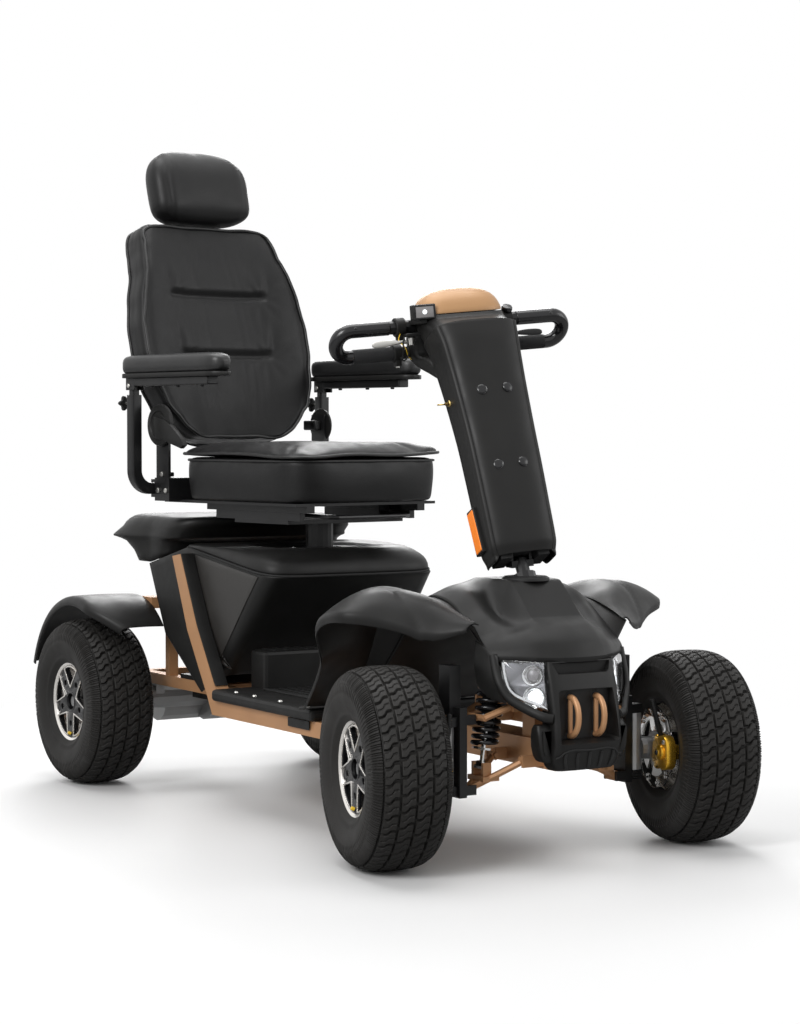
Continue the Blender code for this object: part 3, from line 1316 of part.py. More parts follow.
def tiller_head(parent):
    """The console with the neck that carries both bars and a lug for each lever."""
    foot = stem_ring(COVER_TOP + GAP, -0.022, 0.084, 0.062)
    middle = ring((0, CAP_Y - 0.022, 1.002), 0.0845, 0.064, 3.2, 16, -STEM_LEAN / 2)
    top = ring((0, CAP_Y, HEAD_TOP), 0.085, 0.056, 3.2, 16)
    neck = (
        (0.938, 0.080, 0.026), (0.947, 0.0875, 0.0325), (1.011, 0.0875, 0.0325), (1.019, 0.080, 0.026),
    )
    pieces = [loft([foot, middle, top])]
    pieces.append(loft([ring((0, CAP_Y + 0.051, z), half, depth, 4.6, 16) for z, half, depth in neck]))
    for side in (-1, 1):
        front, rear = LEVER_Y - 0.012, LEVER_Y + 0.009
        low, high = LEVER_TOP + GAP, LEVER_TOP + 0.008
        pieces.append(side_block(side, 0.060, LEVER_X + 0.011, front, rear, low, high))
    bar = around(HANDLE_TUBE, 12)
    cuts = [rod((-0.15, *place), (0.15, *place), bar, 12) for place in (HANDLE_UPPER, HANDLE_LOWER)]
    cuts.append(rod(along_stem(0.4), along_stem(STEM_TOP + 0.001), around(STEM_RADIUS, 16), 16))
    hold(welded("tiller_head", black_plastic(), pieces, cuts), parent)


def tiller_cap(parent):
    levels = [(GAP, 0.0845, 0.0555), (0.013, 0.084, 0.0545), (0.031, 0.076, 0.048),
              (0.044, 0.056, 0.034), (0.050, 0.030, 0.017)]
    cap = loft([ring((0, CAP_Y + rise * 0.25, HEAD_TOP + rise), half, depth, 3.2, 16)
                for rise, half, depth in levels])
    hold(welded("tiller_cap", copper_paint(), [cap]), parent)


def handlebar(parent):
    """One closed loop of tube: an upper and a lower bar joined by round ends."""
    upper, lower = Vector((0, *HANDLE_UPPER)), Vector((0, *HANDLE_LOWER))
    middle, half = (upper + lower) / 2, (upper - lower) / 2
    round_end = half.length
    straight = HANDLE_REACH - HANDLE_TUBE - round_end
    points = []
    for side in (1, -1):
        for k in range(9):
            angle = math.pi / 2 - math.pi * k / 8
            x = side * (straight + round_end * math.cos(angle))
            points.append(middle + half * math.sin(angle) * side + Vector((x, 0, 0)))
    hold(welded("handlebar", black_metal(), [tube(points, HANDLE_TUBE, cyclic=True)]), parent)


def hand_lever(name, side, parent):
    low = LEVER_TOP - LEVER_THICKNESS
    boss = rod((side * LEVER_X, LEVER_Y, low), (side * LEVER_X, LEVER_Y, LEVER_TOP), 0.009, 14)
    front, rear = LEVER_Y - 0.0045, LEVER_Y + 0.0035
    arm = side_block(side, LEVER_X, LEVER_X + 0.080, front, rear, low + 0.003, low + 0.012)
    bevel(arm, 0.002)
    hold(welded(name, zinc(), [boss, arm]), parent)


def key(parent):
    lock = along_stem(LOCK_HEIGHT, LOCK_ACROSS)
    near = lock - Vector((LOCK_FACE + GAP, 0, 0))
    pieces = [rod(near, near - Vector((0.012, 0, 0)), 0.0055, 12)]
    corners = near + Vector((-0.034, -0.010, -0.0015)), near + Vector((-0.009, 0.010, 0.0015))
    pieces.append(block(*corners))
    hold(welded("key", material("brass", (0.55, 0.42, 0.16), 0.3, 1.0), pieces), parent)


def tiller():
    stem = along_stem(1.0) - along_stem(0.0)
    steer = pivot("tiller_steer_axis", along_stem(0.0), stem, STEER_REST)
    steer_base(steer)
    tilt = pivot("tiller_tilt_axis", along_stem(TILT_HEIGHT), parent=steer)
    tiller_stem(tilt)
    tiller_cover(tilt)
    tiller_head(tilt)
    tiller_cap(tilt)
    handlebar(tilt)
    for name, side in (("brake_lever", 1), ("drive_lever", -1)):
        place = (side * LEVER_X, LEVER_Y, LEVER_TOP)
        hand_lever(name, side, pivot(name + "_axis", place, parent=tilt))
    key(pivot("key_axis", along_stem(LOCK_HEIGHT, LOCK_ACROSS), parent=tilt))


clear_scene()
main_frame()
floor_pan()
battery_pack()
body_shroud()
body_lid()
rear_deck()
front_cowl()
nose_grille()
grille_hooks()
for flank, mark in ((1, "l"), (-1, "r")):
    rear_fender("rear_fender_" + mark, flank)
    front_fender("front_fender_" + mark, flank)
    headlight("headlight_" + mark, flank)
front_suspension()
rear_axle()
seat()
tiller()
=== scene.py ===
"""Looks for the all-terrain mobility scooter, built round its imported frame.

Metres, +Z up. The front faces -Y and the rider's right is -X. Pieces are made as if the
scooter steered straight with the seat facing forward, and then turned to the rest pose.
"""

import math

import bmesh
import bpy
import numpy as np
from mathutils import Matrix, Vector, noise
from mathutils.bvhtree import BVHTree


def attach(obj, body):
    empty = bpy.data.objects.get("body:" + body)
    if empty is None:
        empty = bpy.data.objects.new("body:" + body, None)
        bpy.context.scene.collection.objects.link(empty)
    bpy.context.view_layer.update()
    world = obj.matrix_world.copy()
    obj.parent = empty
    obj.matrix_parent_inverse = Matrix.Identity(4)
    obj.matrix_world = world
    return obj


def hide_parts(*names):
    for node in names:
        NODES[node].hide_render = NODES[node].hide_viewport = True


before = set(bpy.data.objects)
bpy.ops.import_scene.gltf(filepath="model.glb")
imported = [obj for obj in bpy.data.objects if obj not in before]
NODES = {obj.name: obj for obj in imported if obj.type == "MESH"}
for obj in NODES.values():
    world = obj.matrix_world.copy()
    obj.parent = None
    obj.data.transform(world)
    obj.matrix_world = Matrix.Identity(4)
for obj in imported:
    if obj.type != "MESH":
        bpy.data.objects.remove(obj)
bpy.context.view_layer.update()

# The photograph's camera
CAMERA_AZIMUTH = math.radians(-31.729)
CAMERA_ELEVATION = math.radians(2.0)
CAMERA_DISTANCE = 4.938
CAMERA_TARGET = Vector((0.048, -0.0611, 0.6259))
CAMERA_LENS = 82.975

# Sizes shared with the solids
WHEEL_RADIUS = 0.1855
WHEEL_X = 0.3333
FRONT_Y = -0.6445
REAR_Y = 0.6445
TYRE_HALF = 0.07725
RIM_RADIUS = 0.0914
KINGPIN_X = 0.215
STEER_REST = math.radians(-12.6)
SWIVEL_REST = math.radians(8.06)
POST_Y = 0.195
STEM_FOOT = Vector((0, -0.5886, 0.5174))
STEM_LEAN = math.radians(24.4)


def about(place, axis, angle):
    """A turn by an angle about an axis through a place."""
    there = Matrix.Translation(place)
    return there @ Matrix.Rotation(angle, 4, Vector(axis)) @ there.inverted()


STEM_AXIS = Vector((0, math.sin(STEM_LEAN), math.cos(STEM_LEAN)))
TILLER_TURN = about(STEM_FOOT, STEM_AXIS, STEER_REST)
SEAT_TURN = about((0, POST_Y, 0), (0, 0, 1), SWIVEL_REST)


def wheel_turn(side):
    return about((side * KINGPIN_X, FRONT_Y, 0), (0, 0, 1), STEER_REST)


# Materials


def blank(name):
    """A new material with its nodes, links and shader."""
    made = bpy.data.materials.new(name)
    made.use_nodes = True
    nodes = made.node_tree.nodes
    return made, nodes, made.node_tree.links, nodes["Principled BSDF"]


def add_noise(nodes, links, coords, scale, detail, kind="ShaderNodeTexNoise"):
    """A noise or cell texture that is laid out in the object's own space."""
    texture = nodes.new(kind)
    texture.inputs["Scale"].default_value = scale
    texture.inputs["Detail"].default_value = detail
    links.new(coords.outputs["Object"], texture.inputs["Vector"])
    return texture


def add_ramp(nodes, links, source, low, high, first, last):
    """Maps a texture's value between two colours or greys."""
    ramp = nodes.new("ShaderNodeValToRGB")
    ramp.color_ramp.elements[0].position = low
    ramp.color_ramp.elements[1].position = high
    ramp.color_ramp.elements[0].color = first
    ramp.color_ramp.elements[1].color = last
    links.new(source, ramp.inputs["Fac"])
    return ramp


def grey(value):
    return (value, value, value, 1.0)


def surface(name, colour, roughness, metallic=0.0, grain=(), vary=0.15, rough_vary=0.06, specular=0.5,
            mottle=6.0):
    """A material whose colour and gloss vary a little, with one bump for each grain.

    A grain is (scale, height in metres, strength, kind of texture).
    """
    made, nodes, links, shader = blank(name)
    coords = nodes.new("ShaderNodeTexCoord")
    shader.inputs["Metallic"].default_value = metallic
    shader.inputs["Specular IOR Level"].default_value = specular
    cloud = add_noise(nodes, links, coords, mottle, 4.0)
    dark = tuple(c * (1 - vary) for c in colour) + (1.0,)
    light = tuple(min(1.0, c * (1 + vary)) for c in colour) + (1.0,)
    tint = add_ramp(nodes, links, cloud.outputs["Fac"], 0.35, 0.65, dark, light)
    links.new(tint.outputs["Color"], shader.inputs["Base Color"])
    smear = add_noise(nodes, links, coords, mottle * 4, 3.0)
    low, high = max(0.02, roughness - rough_vary), min(1.0, roughness + rough_vary)
    gloss = add_ramp(nodes, links, smear.outputs["Fac"], 0.3, 0.7, grey(low), grey(high))
    links.new(gloss.outputs["Color"], shader.inputs["Roughness"])
    normal = None
    for scale, height, strength, kind in grain:
        texture = add_noise(nodes, links, coords, scale, 2.0, kind)
        value = texture.outputs["Distance" if kind == "ShaderNodeTexVoronoi" else "Fac"]
        bump = nodes.new("ShaderNodeBump")
        bump.inputs["Strength"].default_value = strength
        bump.inputs["Distance"].default_value = height
        links.new(value, bump.inputs["Height"])
        if normal:
            links.new(normal, bump.inputs["Normal"])
        normal = bump.outputs["Normal"]
    if normal:
        links.new(normal, shader.inputs["Normal"])
    return made


def glowing(name, colour, strength):
    """A material that gives off its own light."""
    made, _, _, shader = blank(name)
    shader.inputs["Base Color"].default_value = (*colour, 1.0)
    shader.inputs["Roughness"].default_value = 0.2
    shader.inputs["Emission Color"].default_value = (*colour, 1.0)
    shader.inputs["Emission Strength"].default_value = strength
    return made


def clear(name, colour):
    """A clear glass."""
    made, _, _, shader = blank(name)
    shader.inputs["Base Color"].default_value = (*colour, 1.0)
    shader.inputs["Roughness"].default_value = 0.03
    shader.inputs["Transmission Weight"].default_value = 1.0
    shader.inputs["IOR"].default_value = 1.45
    return made


NOISE = "ShaderNodeTexNoise"
CELLS = "ShaderNodeTexVoronoi"
PLASTIC_GRAIN = ((1400, 0.00012, 0.35, NOISE),)
LEATHER_GRAIN = ((650, 0.00025, 0.55, CELLS), (160, 0.0005, 0.3, NOISE))

BLACK = surface("black_plastic", (0.0095, 0.0093, 0.009), 0.46, grain=PLASTIC_GRAIN, specular=0.26)
PANEL = surface("warm_grey_plastic", (0.03, 0.028, 0.026), 0.42, grain=PLASTIC_GRAIN, specular=0.5)
GLOSS = surface("gloss_black", (0.006, 0.006, 0.007), 0.22, grain=((700, 0.00004, 0.2, NOISE),))
COPPER = surface("copper_paint", (0.5, 0.265, 0.128), 0.42, 0.25, ((1800, 0.00006, 0.3, NOISE),), vary=0.06,
                 mottle=9.0)
POWDER = surface("black_powder_coat", (0.01, 0.01, 0.0105), 0.34, 0.1, ((1100, 0.0001, 0.4, NOISE),),
                 specular=0.4)
ZINC = surface("zinc_plate", (0.6, 0.59, 0.56), 0.34, 1.0, ((900, 0.00003, 0.3, NOISE),))
CHROME = surface("bright_steel", (0.78, 0.78, 0.77), 0.14, 1.0, vary=0.03, rough_vary=0.03)
MACHINED = surface("machined_aluminium", (0.86, 0.83, 0.79), 0.24, 1.0, ((2500, 0.00003, 0.3, NOISE),),
                   vary=0.04)
CAST = surface("cast_aluminium", (0.36, 0.36, 0.36), 0.5, 0.9, ((420, 0.0003, 0.5, NOISE),))
GOLD = surface("gold_anodised", (0.8, 0.46, 0.05), 0.3, 0.9, ((900, 0.00005, 0.3, NOISE),), vary=0.08)
BRASS = surface("brass", (0.62, 0.45, 0.17), 0.28, 1.0, ((900, 0.00004, 0.3, NOISE),))
TYRE = surface("tyre_rubber", (0.0155, 0.0145, 0.0135), 0.6,
               grain=((900, 0.0003, 0.5, NOISE), (260, 0.0004, 0.3, NOISE)), vary=0.22, specular=0.26)
RUBBER = surface("soft_rubber", (0.01, 0.01, 0.01), 0.58, grain=((800, 0.0002, 0.4, NOISE),), specular=0.3)
GRIP = surface("foam_grip", (0.013, 0.013, 0.014), 0.78, grain=((1900, 0.0003, 0.5, CELLS),))
LEATHER = surface("black_leather", (0.0075, 0.0074, 0.0076), 0.42, grain=LEATHER_GRAIN, vary=0.12,
                  specular=0.28)
PIPING = surface("leather_piping", (0.007, 0.007, 0.007), 0.42, grain=((900, 0.0002, 0.5, CELLS),))
PADDING = surface("moulded_pad", (0.0095, 0.0095, 0.0098), 0.38, grain=((900, 0.00016, 0.45, CELLS),))
CAP_TAN = surface("tan_cap_paint", (0.46, 0.255, 0.115), 0.42, 0.15, ((1500, 0.00005, 0.3, NOISE),),
                  vary=0.04)
# The tiller's amber reflectors glow faintly: a painted glow for the light they send back, as they are no
# lamp.
AMBER_REFLECTOR_GLOW = glowing("amber_backing", (0.95, 0.24, 0.02), 0.25)
AMBER_LED = glowing("amber_led", (1.0, 0.45, 0.05), 3.0)
YELLOW = surface("yellow_cap", (0.85, 0.55, 0.03), 0.4)
LENS = clear("lamp_glass", (0.97, 0.98, 1.0))
LIT = glowing("lit_led", (0.93, 0.98, 1.0), 1.3)
# A grey with a faint glow of its own: painted light on the LEDs that are not lit, which are the upper one in
# each headlight and the bar lamp's panel.
FAINT_GLOW_LED = glowing("painted_glow_led", (0.26, 0.25, 0.25), 0.06)
SMOKE = surface("smoked_chrome", (0.26, 0.26, 0.27), 0.24, 1.0)
# Painted shade: a flat near-black for the lid's seam gap, the skid's grooves and seam, the tow rings' holes
# and slots, and the hollow inside the tiller cover.
SHADE_BLACK = surface("dark_inside", (0.006, 0.006, 0.006), 0.8)


# Making pieces

SIDES = ((1, "l"), (-1, "r"))
LETTER = dict(SIDES)
TILLER_BODIES = ("tiller", "brake_lever", "drive_lever", "key", "steer_base")
SEAT_BODIES = ("seat_frame", "seat_back", "headrest", "armrest", "recline_lever")
STILL = Matrix.Identity(4)


def rest_turn(body):
    """The turn that takes a body's pieces from straight ahead to the rest pose."""
    if body in TILLER_BODIES:
        return TILLER_TURN
    if body.startswith(SEAT_BODIES):
        return SEAT_TURN
    if body.startswith("knuckle"):
        return wheel_turn(1 if body.endswith("l") else -1)
    return STILL


def facing_side(x, y=0.0, z=0.0, way=1):
    """Takes a flat plate's own plane to one that faces along X."""
    return Matrix(((0, 0, way, x), (1, 0, 0, y), (0, 1, 0, z), (0, 0, 0, 1)))


def facing_front(x, y, z):
    """The same for a plate that faces the front."""
    return Matrix(((1, 0, 0, x), (0, 0, -1, y), (0, 1, 0, z), (0, 0, 0, 1)))


def new_object(name, data):
    obj = bpy.data.objects.new(name, data)
    bpy.context.scene.collection.objects.link(obj)
    return obj


def weld(mesh, apart=0.0):
    """Turns all faces outward, and joins points that lie closer than apart."""
    bm = bmesh.new()
    bm.from_mesh(mesh)
    if apart:
        bmesh.ops.remove_doubles(bm, verts=bm.verts, dist=apart)
    bmesh.ops.recalc_face_normals(bm, faces=bm.faces)
    bm.to_mesh(mesh)
    bm.free()


def mesh_of(name, shape):
    """A mesh from points and faces that all face outward."""
    verts, faces = shape
    mesh = bpy.data.meshes.new(name)
    mesh.from_pydata([tuple(v) for v in verts], [], faces)
    weld(mesh)
    return mesh


def shade(mesh, angle):
    """Smooth shading, with sharp edges where faces meet at more than the angle."""
    for polygon in mesh.polygons:
        polygon.use_smooth = True
    if angle < 180:
        mesh.set_sharp_from_angle(angle=math.radians(angle))


def finish_piece(obj, skin, body, smooth=35.0):
    """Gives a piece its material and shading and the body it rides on."""
    obj.data.materials.clear()
    obj.data.materials.append(skin)
    if obj.type == "MESH":
        shade(obj.data, smooth)
    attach(obj, body)
    return obj


def piece(name, shape, skin, body, smooth=35.0, turn=None):
    """A mesh piece from points and faces, turned to the rest pose."""
    mesh = mesh_of(name, shape)
    mesh.transform(turn or rest_turn(body))
    return finish_piece(new_object(name, mesh), skin, body, smooth)


def grid(rows, wrap=False):
    """Faces over rows of points, which may close along each row."""
    count = len(rows[0])
    verts = [p for row in rows for p in row]
    faces = []
    for r in range(len(rows) - 1):
        for i in range(count if wrap else count - 1):
            j = (i + 1) % count
            faces.append((r * count + i, r * count + j, (r + 1) * count + j, (r + 1) * count + i))
    return verts, faces


def capped(rings):
    """A closed loft through rings, with a fan at both ends."""
    verts, faces = grid(rings, wrap=True)
    count = len(rings[0])
    for start, ring_points in ((0, rings[0]), ((len(rings) - 1) * count, rings[-1])):
        hub = len(verts)
        verts.append(sum((Vector(p) for p in ring_points), Vector()) / count)
        faces += [(start + i, start + (i + 1) % count, hub) for i in range(count)]
    return verts, faces


def domed(rings, top):
    """A loft through rings that is open below and closed at a top point."""
    verts, faces = grid(rings, wrap=True)
    count, hub = len(rings[0]), len(verts)
    verts.append(top)
    faces += [(hub - count + i, hub - count + (i + 1) % count, hub) for i in range(count)]
    return verts, faces


def oval(centre, half_width, half_depth, power, count, tilt=0.0):
    """Points of a level superellipse, which tilts about the X axis through its centre."""
    points = []
    for i in range(count):
        angle = math.tau * (i + 0.5) / count
        c, s = math.cos(angle), math.sin(angle)
        x = half_width * math.copysign(abs(c) ** (2 / power), c)
        y = half_depth * math.copysign(abs(s) ** (2 / power), s)
        points.append(Vector((centre[0] + x, centre[1] + y * math.cos(tilt), centre[2] + y * math.sin(tilt))))
    return points


def modify(obj, kind, **settings):
    """Adds a modifier with its settings."""
    modifier = obj.modifiers.new(kind.lower(), kind)
    for name, value in settings.items():
        setattr(modifier, name, value)
    return modifier


def rounded(obj, width, segments=3, angle=30.0):
    """Rounds the edges that are sharper than the angle."""
    modify(obj, "BEVEL", width=width, segments=segments, limit_method="ANGLE",
           angle_limit=math.radians(angle), harden_normals=False)
    return obj


def slab(name, low, high, skin, body, radius):
    """A box with rounded edges."""
    corners = [(x, y, z) for x in (low[0], high[0]) for y in (low[1], high[1]) for z in (low[2], high[2])]
    faces = [(0, 1, 3, 2), (4, 6, 7, 5), (0, 4, 5, 1), (2, 3, 7, 6), (0, 2, 6, 4), (1, 5, 7, 3)]
    return rounded(piece(name, (corners, faces), skin, body), radius)


def pipe(name, points, radius, skin, body, cyclic=False, sides=6, smooth=True, turn=None):
    """A tube along a curve through the points. It stays a curve piece."""
    curve = bpy.data.curves.new(name, "CURVE")
    curve.dimensions = "3D"
    curve.bevel_depth = radius
    curve.bevel_resolution = sides
    curve.use_fill_caps = True
    spline = curve.splines.new("BEZIER" if smooth else "POLY")
    target = spline.bezier_points if smooth else spline.points
    target.add(len(points) - 1)
    turn = turn or rest_turn(body)
    for knot, place in zip(target, points):
        place = turn @ Vector(place)
        if smooth:
            knot.co = place
            knot.handle_left_type = knot.handle_right_type = "AUTO"
        else:
            knot.co = (*place, 1.0)
    spline.use_cyclic_u = cyclic
    return finish_piece(new_object(name, curve), skin, body)


def lathe(name, profile, centre, axis, skin, body, steps, turn=None):
    """A closed or open profile of (radius, distance along the axis) turned about the axis."""
    axis = Vector(axis).normalized()
    first = axis.orthogonal().normalized()
    second = axis.cross(first)
    rows = []
    for radius, along in profile:
        row = []
        for i in range(steps):
            angle = math.tau * i / steps
            out = first * math.cos(angle) + second * math.sin(angle)
            row.append(Vector(centre) + axis * along + out * max(radius, 1e-5))
        rows.append(row)
    return piece(name, grid(rows, wrap=True), skin, body, turn=turn)


def between(name, start, end, radius, skin, body, chamfer=0.001, steps=32):
    """A round bar from one point to another with chamfered ends."""
    start, end = Vector(start), Vector(end)
    length = (end - start).length
    profile = [(0, 0), (radius - chamfer, 0), (radius, chamfer), (radius, length - chamfer),
               (radius - chamfer, length), (0, length)]
    return lathe(name, profile, start, end - start, skin, body, steps)


def flat_plate(name, outlines, depth, place, skin, body, bevel=0.0008):
    """A flat plate from outlines in its own plane, the later ones cut out of the first.

    The matrix place takes the plate's plane (its X and Y) to where the plate goes.
    """
    curve = bpy.data.curves.new(name + "_outline", "CURVE")
    curve.dimensions = "2D"
    curve.fill_mode = "BOTH"
    curve.extrude = max(1e-5, depth / 2 - bevel)
    curve.bevel_depth = bevel
    curve.bevel_resolution = 1
    curve.offset = -bevel
    for outline in outlines:
        spline = curve.splines.new("POLY")
        spline.points.add(len(outline) - 1)
        for knot, (x, y) in zip(spline.points, outline):
            knot.co = (x, y, 0.0, 1.0)
        spline.use_cyclic_u = True
    holder = new_object(name + "_holder", curve)
    bpy.context.view_layer.update()
    mesh = bpy.data.meshes.new_from_object(holder.evaluated_get(bpy.context.evaluated_depsgraph_get()))
    bpy.data.objects.remove(holder)
    bpy.data.curves.remove(curve)
    mesh.transform(place)
    weld(mesh, 0.00002)
    return finish_piece(new_object(name, mesh), skin, body, 30.0)


def circle(radius, steps, centre=(0.0, 0.0)):
    """A round outline."""
    return [(centre[0] + radius * math.cos(math.tau * i / steps),
             centre[1] + radius * math.sin(math.tau * i / steps)) for i in range(steps)]


def rectangle(half_x, half_y):
    """An outline of four corners."""
    return [(-half_x, -half_y), (half_x, -half_y), (half_x, half_y), (-half_x, half_y)]


def polar(radius, angle):
    return (radius * math.cos(angle), radius * math.sin(angle))


# Tyres

PITCHES = 36
TREAD_DEPTH = 0.006
COLUMN_STEP = 0.03
COLUMN_HALF = 0.0138
STEPS_PER_PITCH = 24
SHOULDER_X = 0.0605
CROWN_HALF = 0.068
BELLY_RADIUS = 0.136
CROWN_POWER = 2.9


def step_up(value, width):
    """Rises smoothly from 0 to 1 as the value goes from 0 to the width."""
    share = np.clip(value / width, 0.0, 1.0)
    return share**2 * (3 - 2 * share)


def tread_height(u, x):
    """The height of the tread above its groove floor, from 0 to 1, at u pitches round and x across."""
    pitch = math.tau * WHEEL_RADIUS / PITCHES
    height = np.zeros_like(x)
    for column in range(4):
        off = x - (column - 1.5) * COLUMN_STEP
        share = off / COLUMN_HALF
        v = (u + 0.5 * (column % 2) + 0.17 * np.tanh(share * 4.0)) % 1.0
        away = np.abs(v - 0.5) * pitch
        edge = np.minimum(COLUMN_HALF - np.abs(off), 0.5 * pitch - away - 0.0021)
        block = step_up(edge, 0.0017)
        sipe = (away < 0.0016) & (np.abs(share) < 0.74)
        height = np.maximum(height, block - 0.34 * sipe * (block > 0.5))
    ribs = 0.62 + 0.38 * (np.sin(u * math.tau * 6) > 0.0)
    shoulder = step_up(np.abs(x) - SHOULDER_X, 0.0012)
    return np.where(np.abs(x) > SHOULDER_X, ribs * shoulder, height)


def tyre_mesh():
    """One tyre about the X axis with its tread, shoulder ribs, sidewalls and beads."""
    half = []
    for r in (RIM_RADIUS - 0.006, RIM_RADIUS, 0.0965, 0.1005, 0.1035, 0.11, 0.12, 0.13):
        inward = max(0.0, (BELLY_RADIUS - r) / (BELLY_RADIUS - RIM_RADIUS))
        bead = 0.0022 if 0.0955 < r < 0.1015 else 0.0
        half.append((TYRE_HALF - 0.015 * inward**1.8 + bead, r))
    rise = WHEEL_RADIUS - BELLY_RADIUS
    turning = math.acos((CROWN_HALF / TYRE_HALF) ** (CROWN_POWER / 2))
    for i in range(17):
        angle = turning * i / 16
        x = TYRE_HALF * math.cos(angle) ** (2 / CROWN_POWER)
        half.append((x, BELLY_RADIUS + rise * math.sin(angle) ** (2 / CROWN_POWER)))
    for i in range(1, 53):
        x = CROWN_HALF * (1 - i / 52)
        half.append((x, BELLY_RADIUS + rise * (1 - (x / TYRE_HALF) ** CROWN_POWER) ** (1 / CROWN_POWER)))
    profile = half + [(-x, r) for x, r in reversed(half[:-1])]
    xs = np.array([p[0] for p in profile])
    rs = np.array([p[1] for p in profile])
    tangents = np.stack([np.gradient(xs), np.gradient(rs)], axis=1)
    tangents /= np.linalg.norm(tangents, axis=1)[:, None]
    normals = np.stack([tangents[:, 1], -tangents[:, 0]], axis=1)
    steps = PITCHES * STEPS_PER_PITCH
    u = np.arange(steps) * PITCHES / steps
    grid_u, grid_x = np.meshgrid(u, xs, indexing="ij")
    grid_r = np.broadcast_to(rs, grid_u.shape)
    sink = TREAD_DEPTH * (1 - tread_height(grid_u, grid_x)) * step_up(grid_r - 0.15, 0.012)
    spokes = 0.5 + 0.5 * np.sign(np.sin(grid_u * math.tau * 3))
    upper = step_up(grid_r - 0.138, 0.004) * (1 - step_up(grid_r - 0.152, 0.004))
    sink = sink + 0.0012 * upper * (1 - spokes)
    out_x = grid_x - sink * normals[:, 0][None, :]
    out_r = grid_r - sink * normals[:, 1][None, :]
    angle = grid_u / PITCHES * math.tau
    points = np.stack([out_x, out_r * np.cos(angle), out_r * np.sin(angle)], axis=-1).reshape(-1, 3)
    count = len(profile)
    faces = []
    for i in range(steps):
        here, there = i * count, (i + 1) % steps * count
        for j in range(count - 1):
            faces.append((here + j, there + j, there + j + 1, here + j + 1))
        faces.append((here + count - 1, there + count - 1, there, here))
    mesh = mesh_of("tyre", (points.tolist(), faces))
    mesh.materials.append(TYRE)
    shade(mesh, 42)
    return mesh


def wheel_place(end, side, roll):
    """Takes a wheel made at the origin, with its outer face at +X, to its axle."""
    y = FRONT_Y if end == "front" else REAR_Y
    there = Matrix.Translation((side * WHEEL_X, y, WHEEL_RADIUS))
    facing = Matrix.Rotation(0 if side > 0 else math.pi, 4, "Z")
    rolled = Matrix.Rotation(roll, 4, "X")
    turn = wheel_turn(side) if end == "front" else STILL
    return turn @ there @ facing @ rolled


def wheel_body(end, side):
    return f"{end}_wheel_{LETTER[side]}"


def tyres():
    """Four turf tyres, all from one mesh, each at its own turn."""
    mesh = tyre_mesh()
    for end in ("front", "rear"):
        for side, letter in SIDES:
            placed = mesh.copy()
            placed.transform(wheel_place(end, side, 0.1 * side))
            obj = new_object(f"turf_tyre_{end}_{letter}", placed)
            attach(obj, wheel_body(end, side))
            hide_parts(f"tyre_{end}_{letter}")


# Rims

WINDOWS = 5
FACE_X = 0.05
LUG_CIRCLE = 0.049
TIP_ROUND = 0.0049
DISC_X = -0.07125


def window(inner, outer, half_angle, middle, inset):
    """A wedge outline with its rounded point to the hub, as points in the wheel's plane."""
    half = half_angle - inset * 14
    tip = Vector(polar(inner + inset * 1.9, middle))
    left = (Vector(polar(outer - inset, middle + half)) - tip).normalized()
    right = (Vector(polar(outer - inset, middle - half)) - tip).normalized()
    nose = [tip + right * TIP_ROUND * (1 - k / 4) ** 2 + left * TIP_ROUND * (k / 4) ** 2 for k in range(5)]
    arc = [polar((outer - inset) * (1 + 0.012 * math.sin(math.pi * k / 8)), middle + half * (1 - k / 4))
           for k in range(9)]
    return [tuple(p) for p in nose] + arc


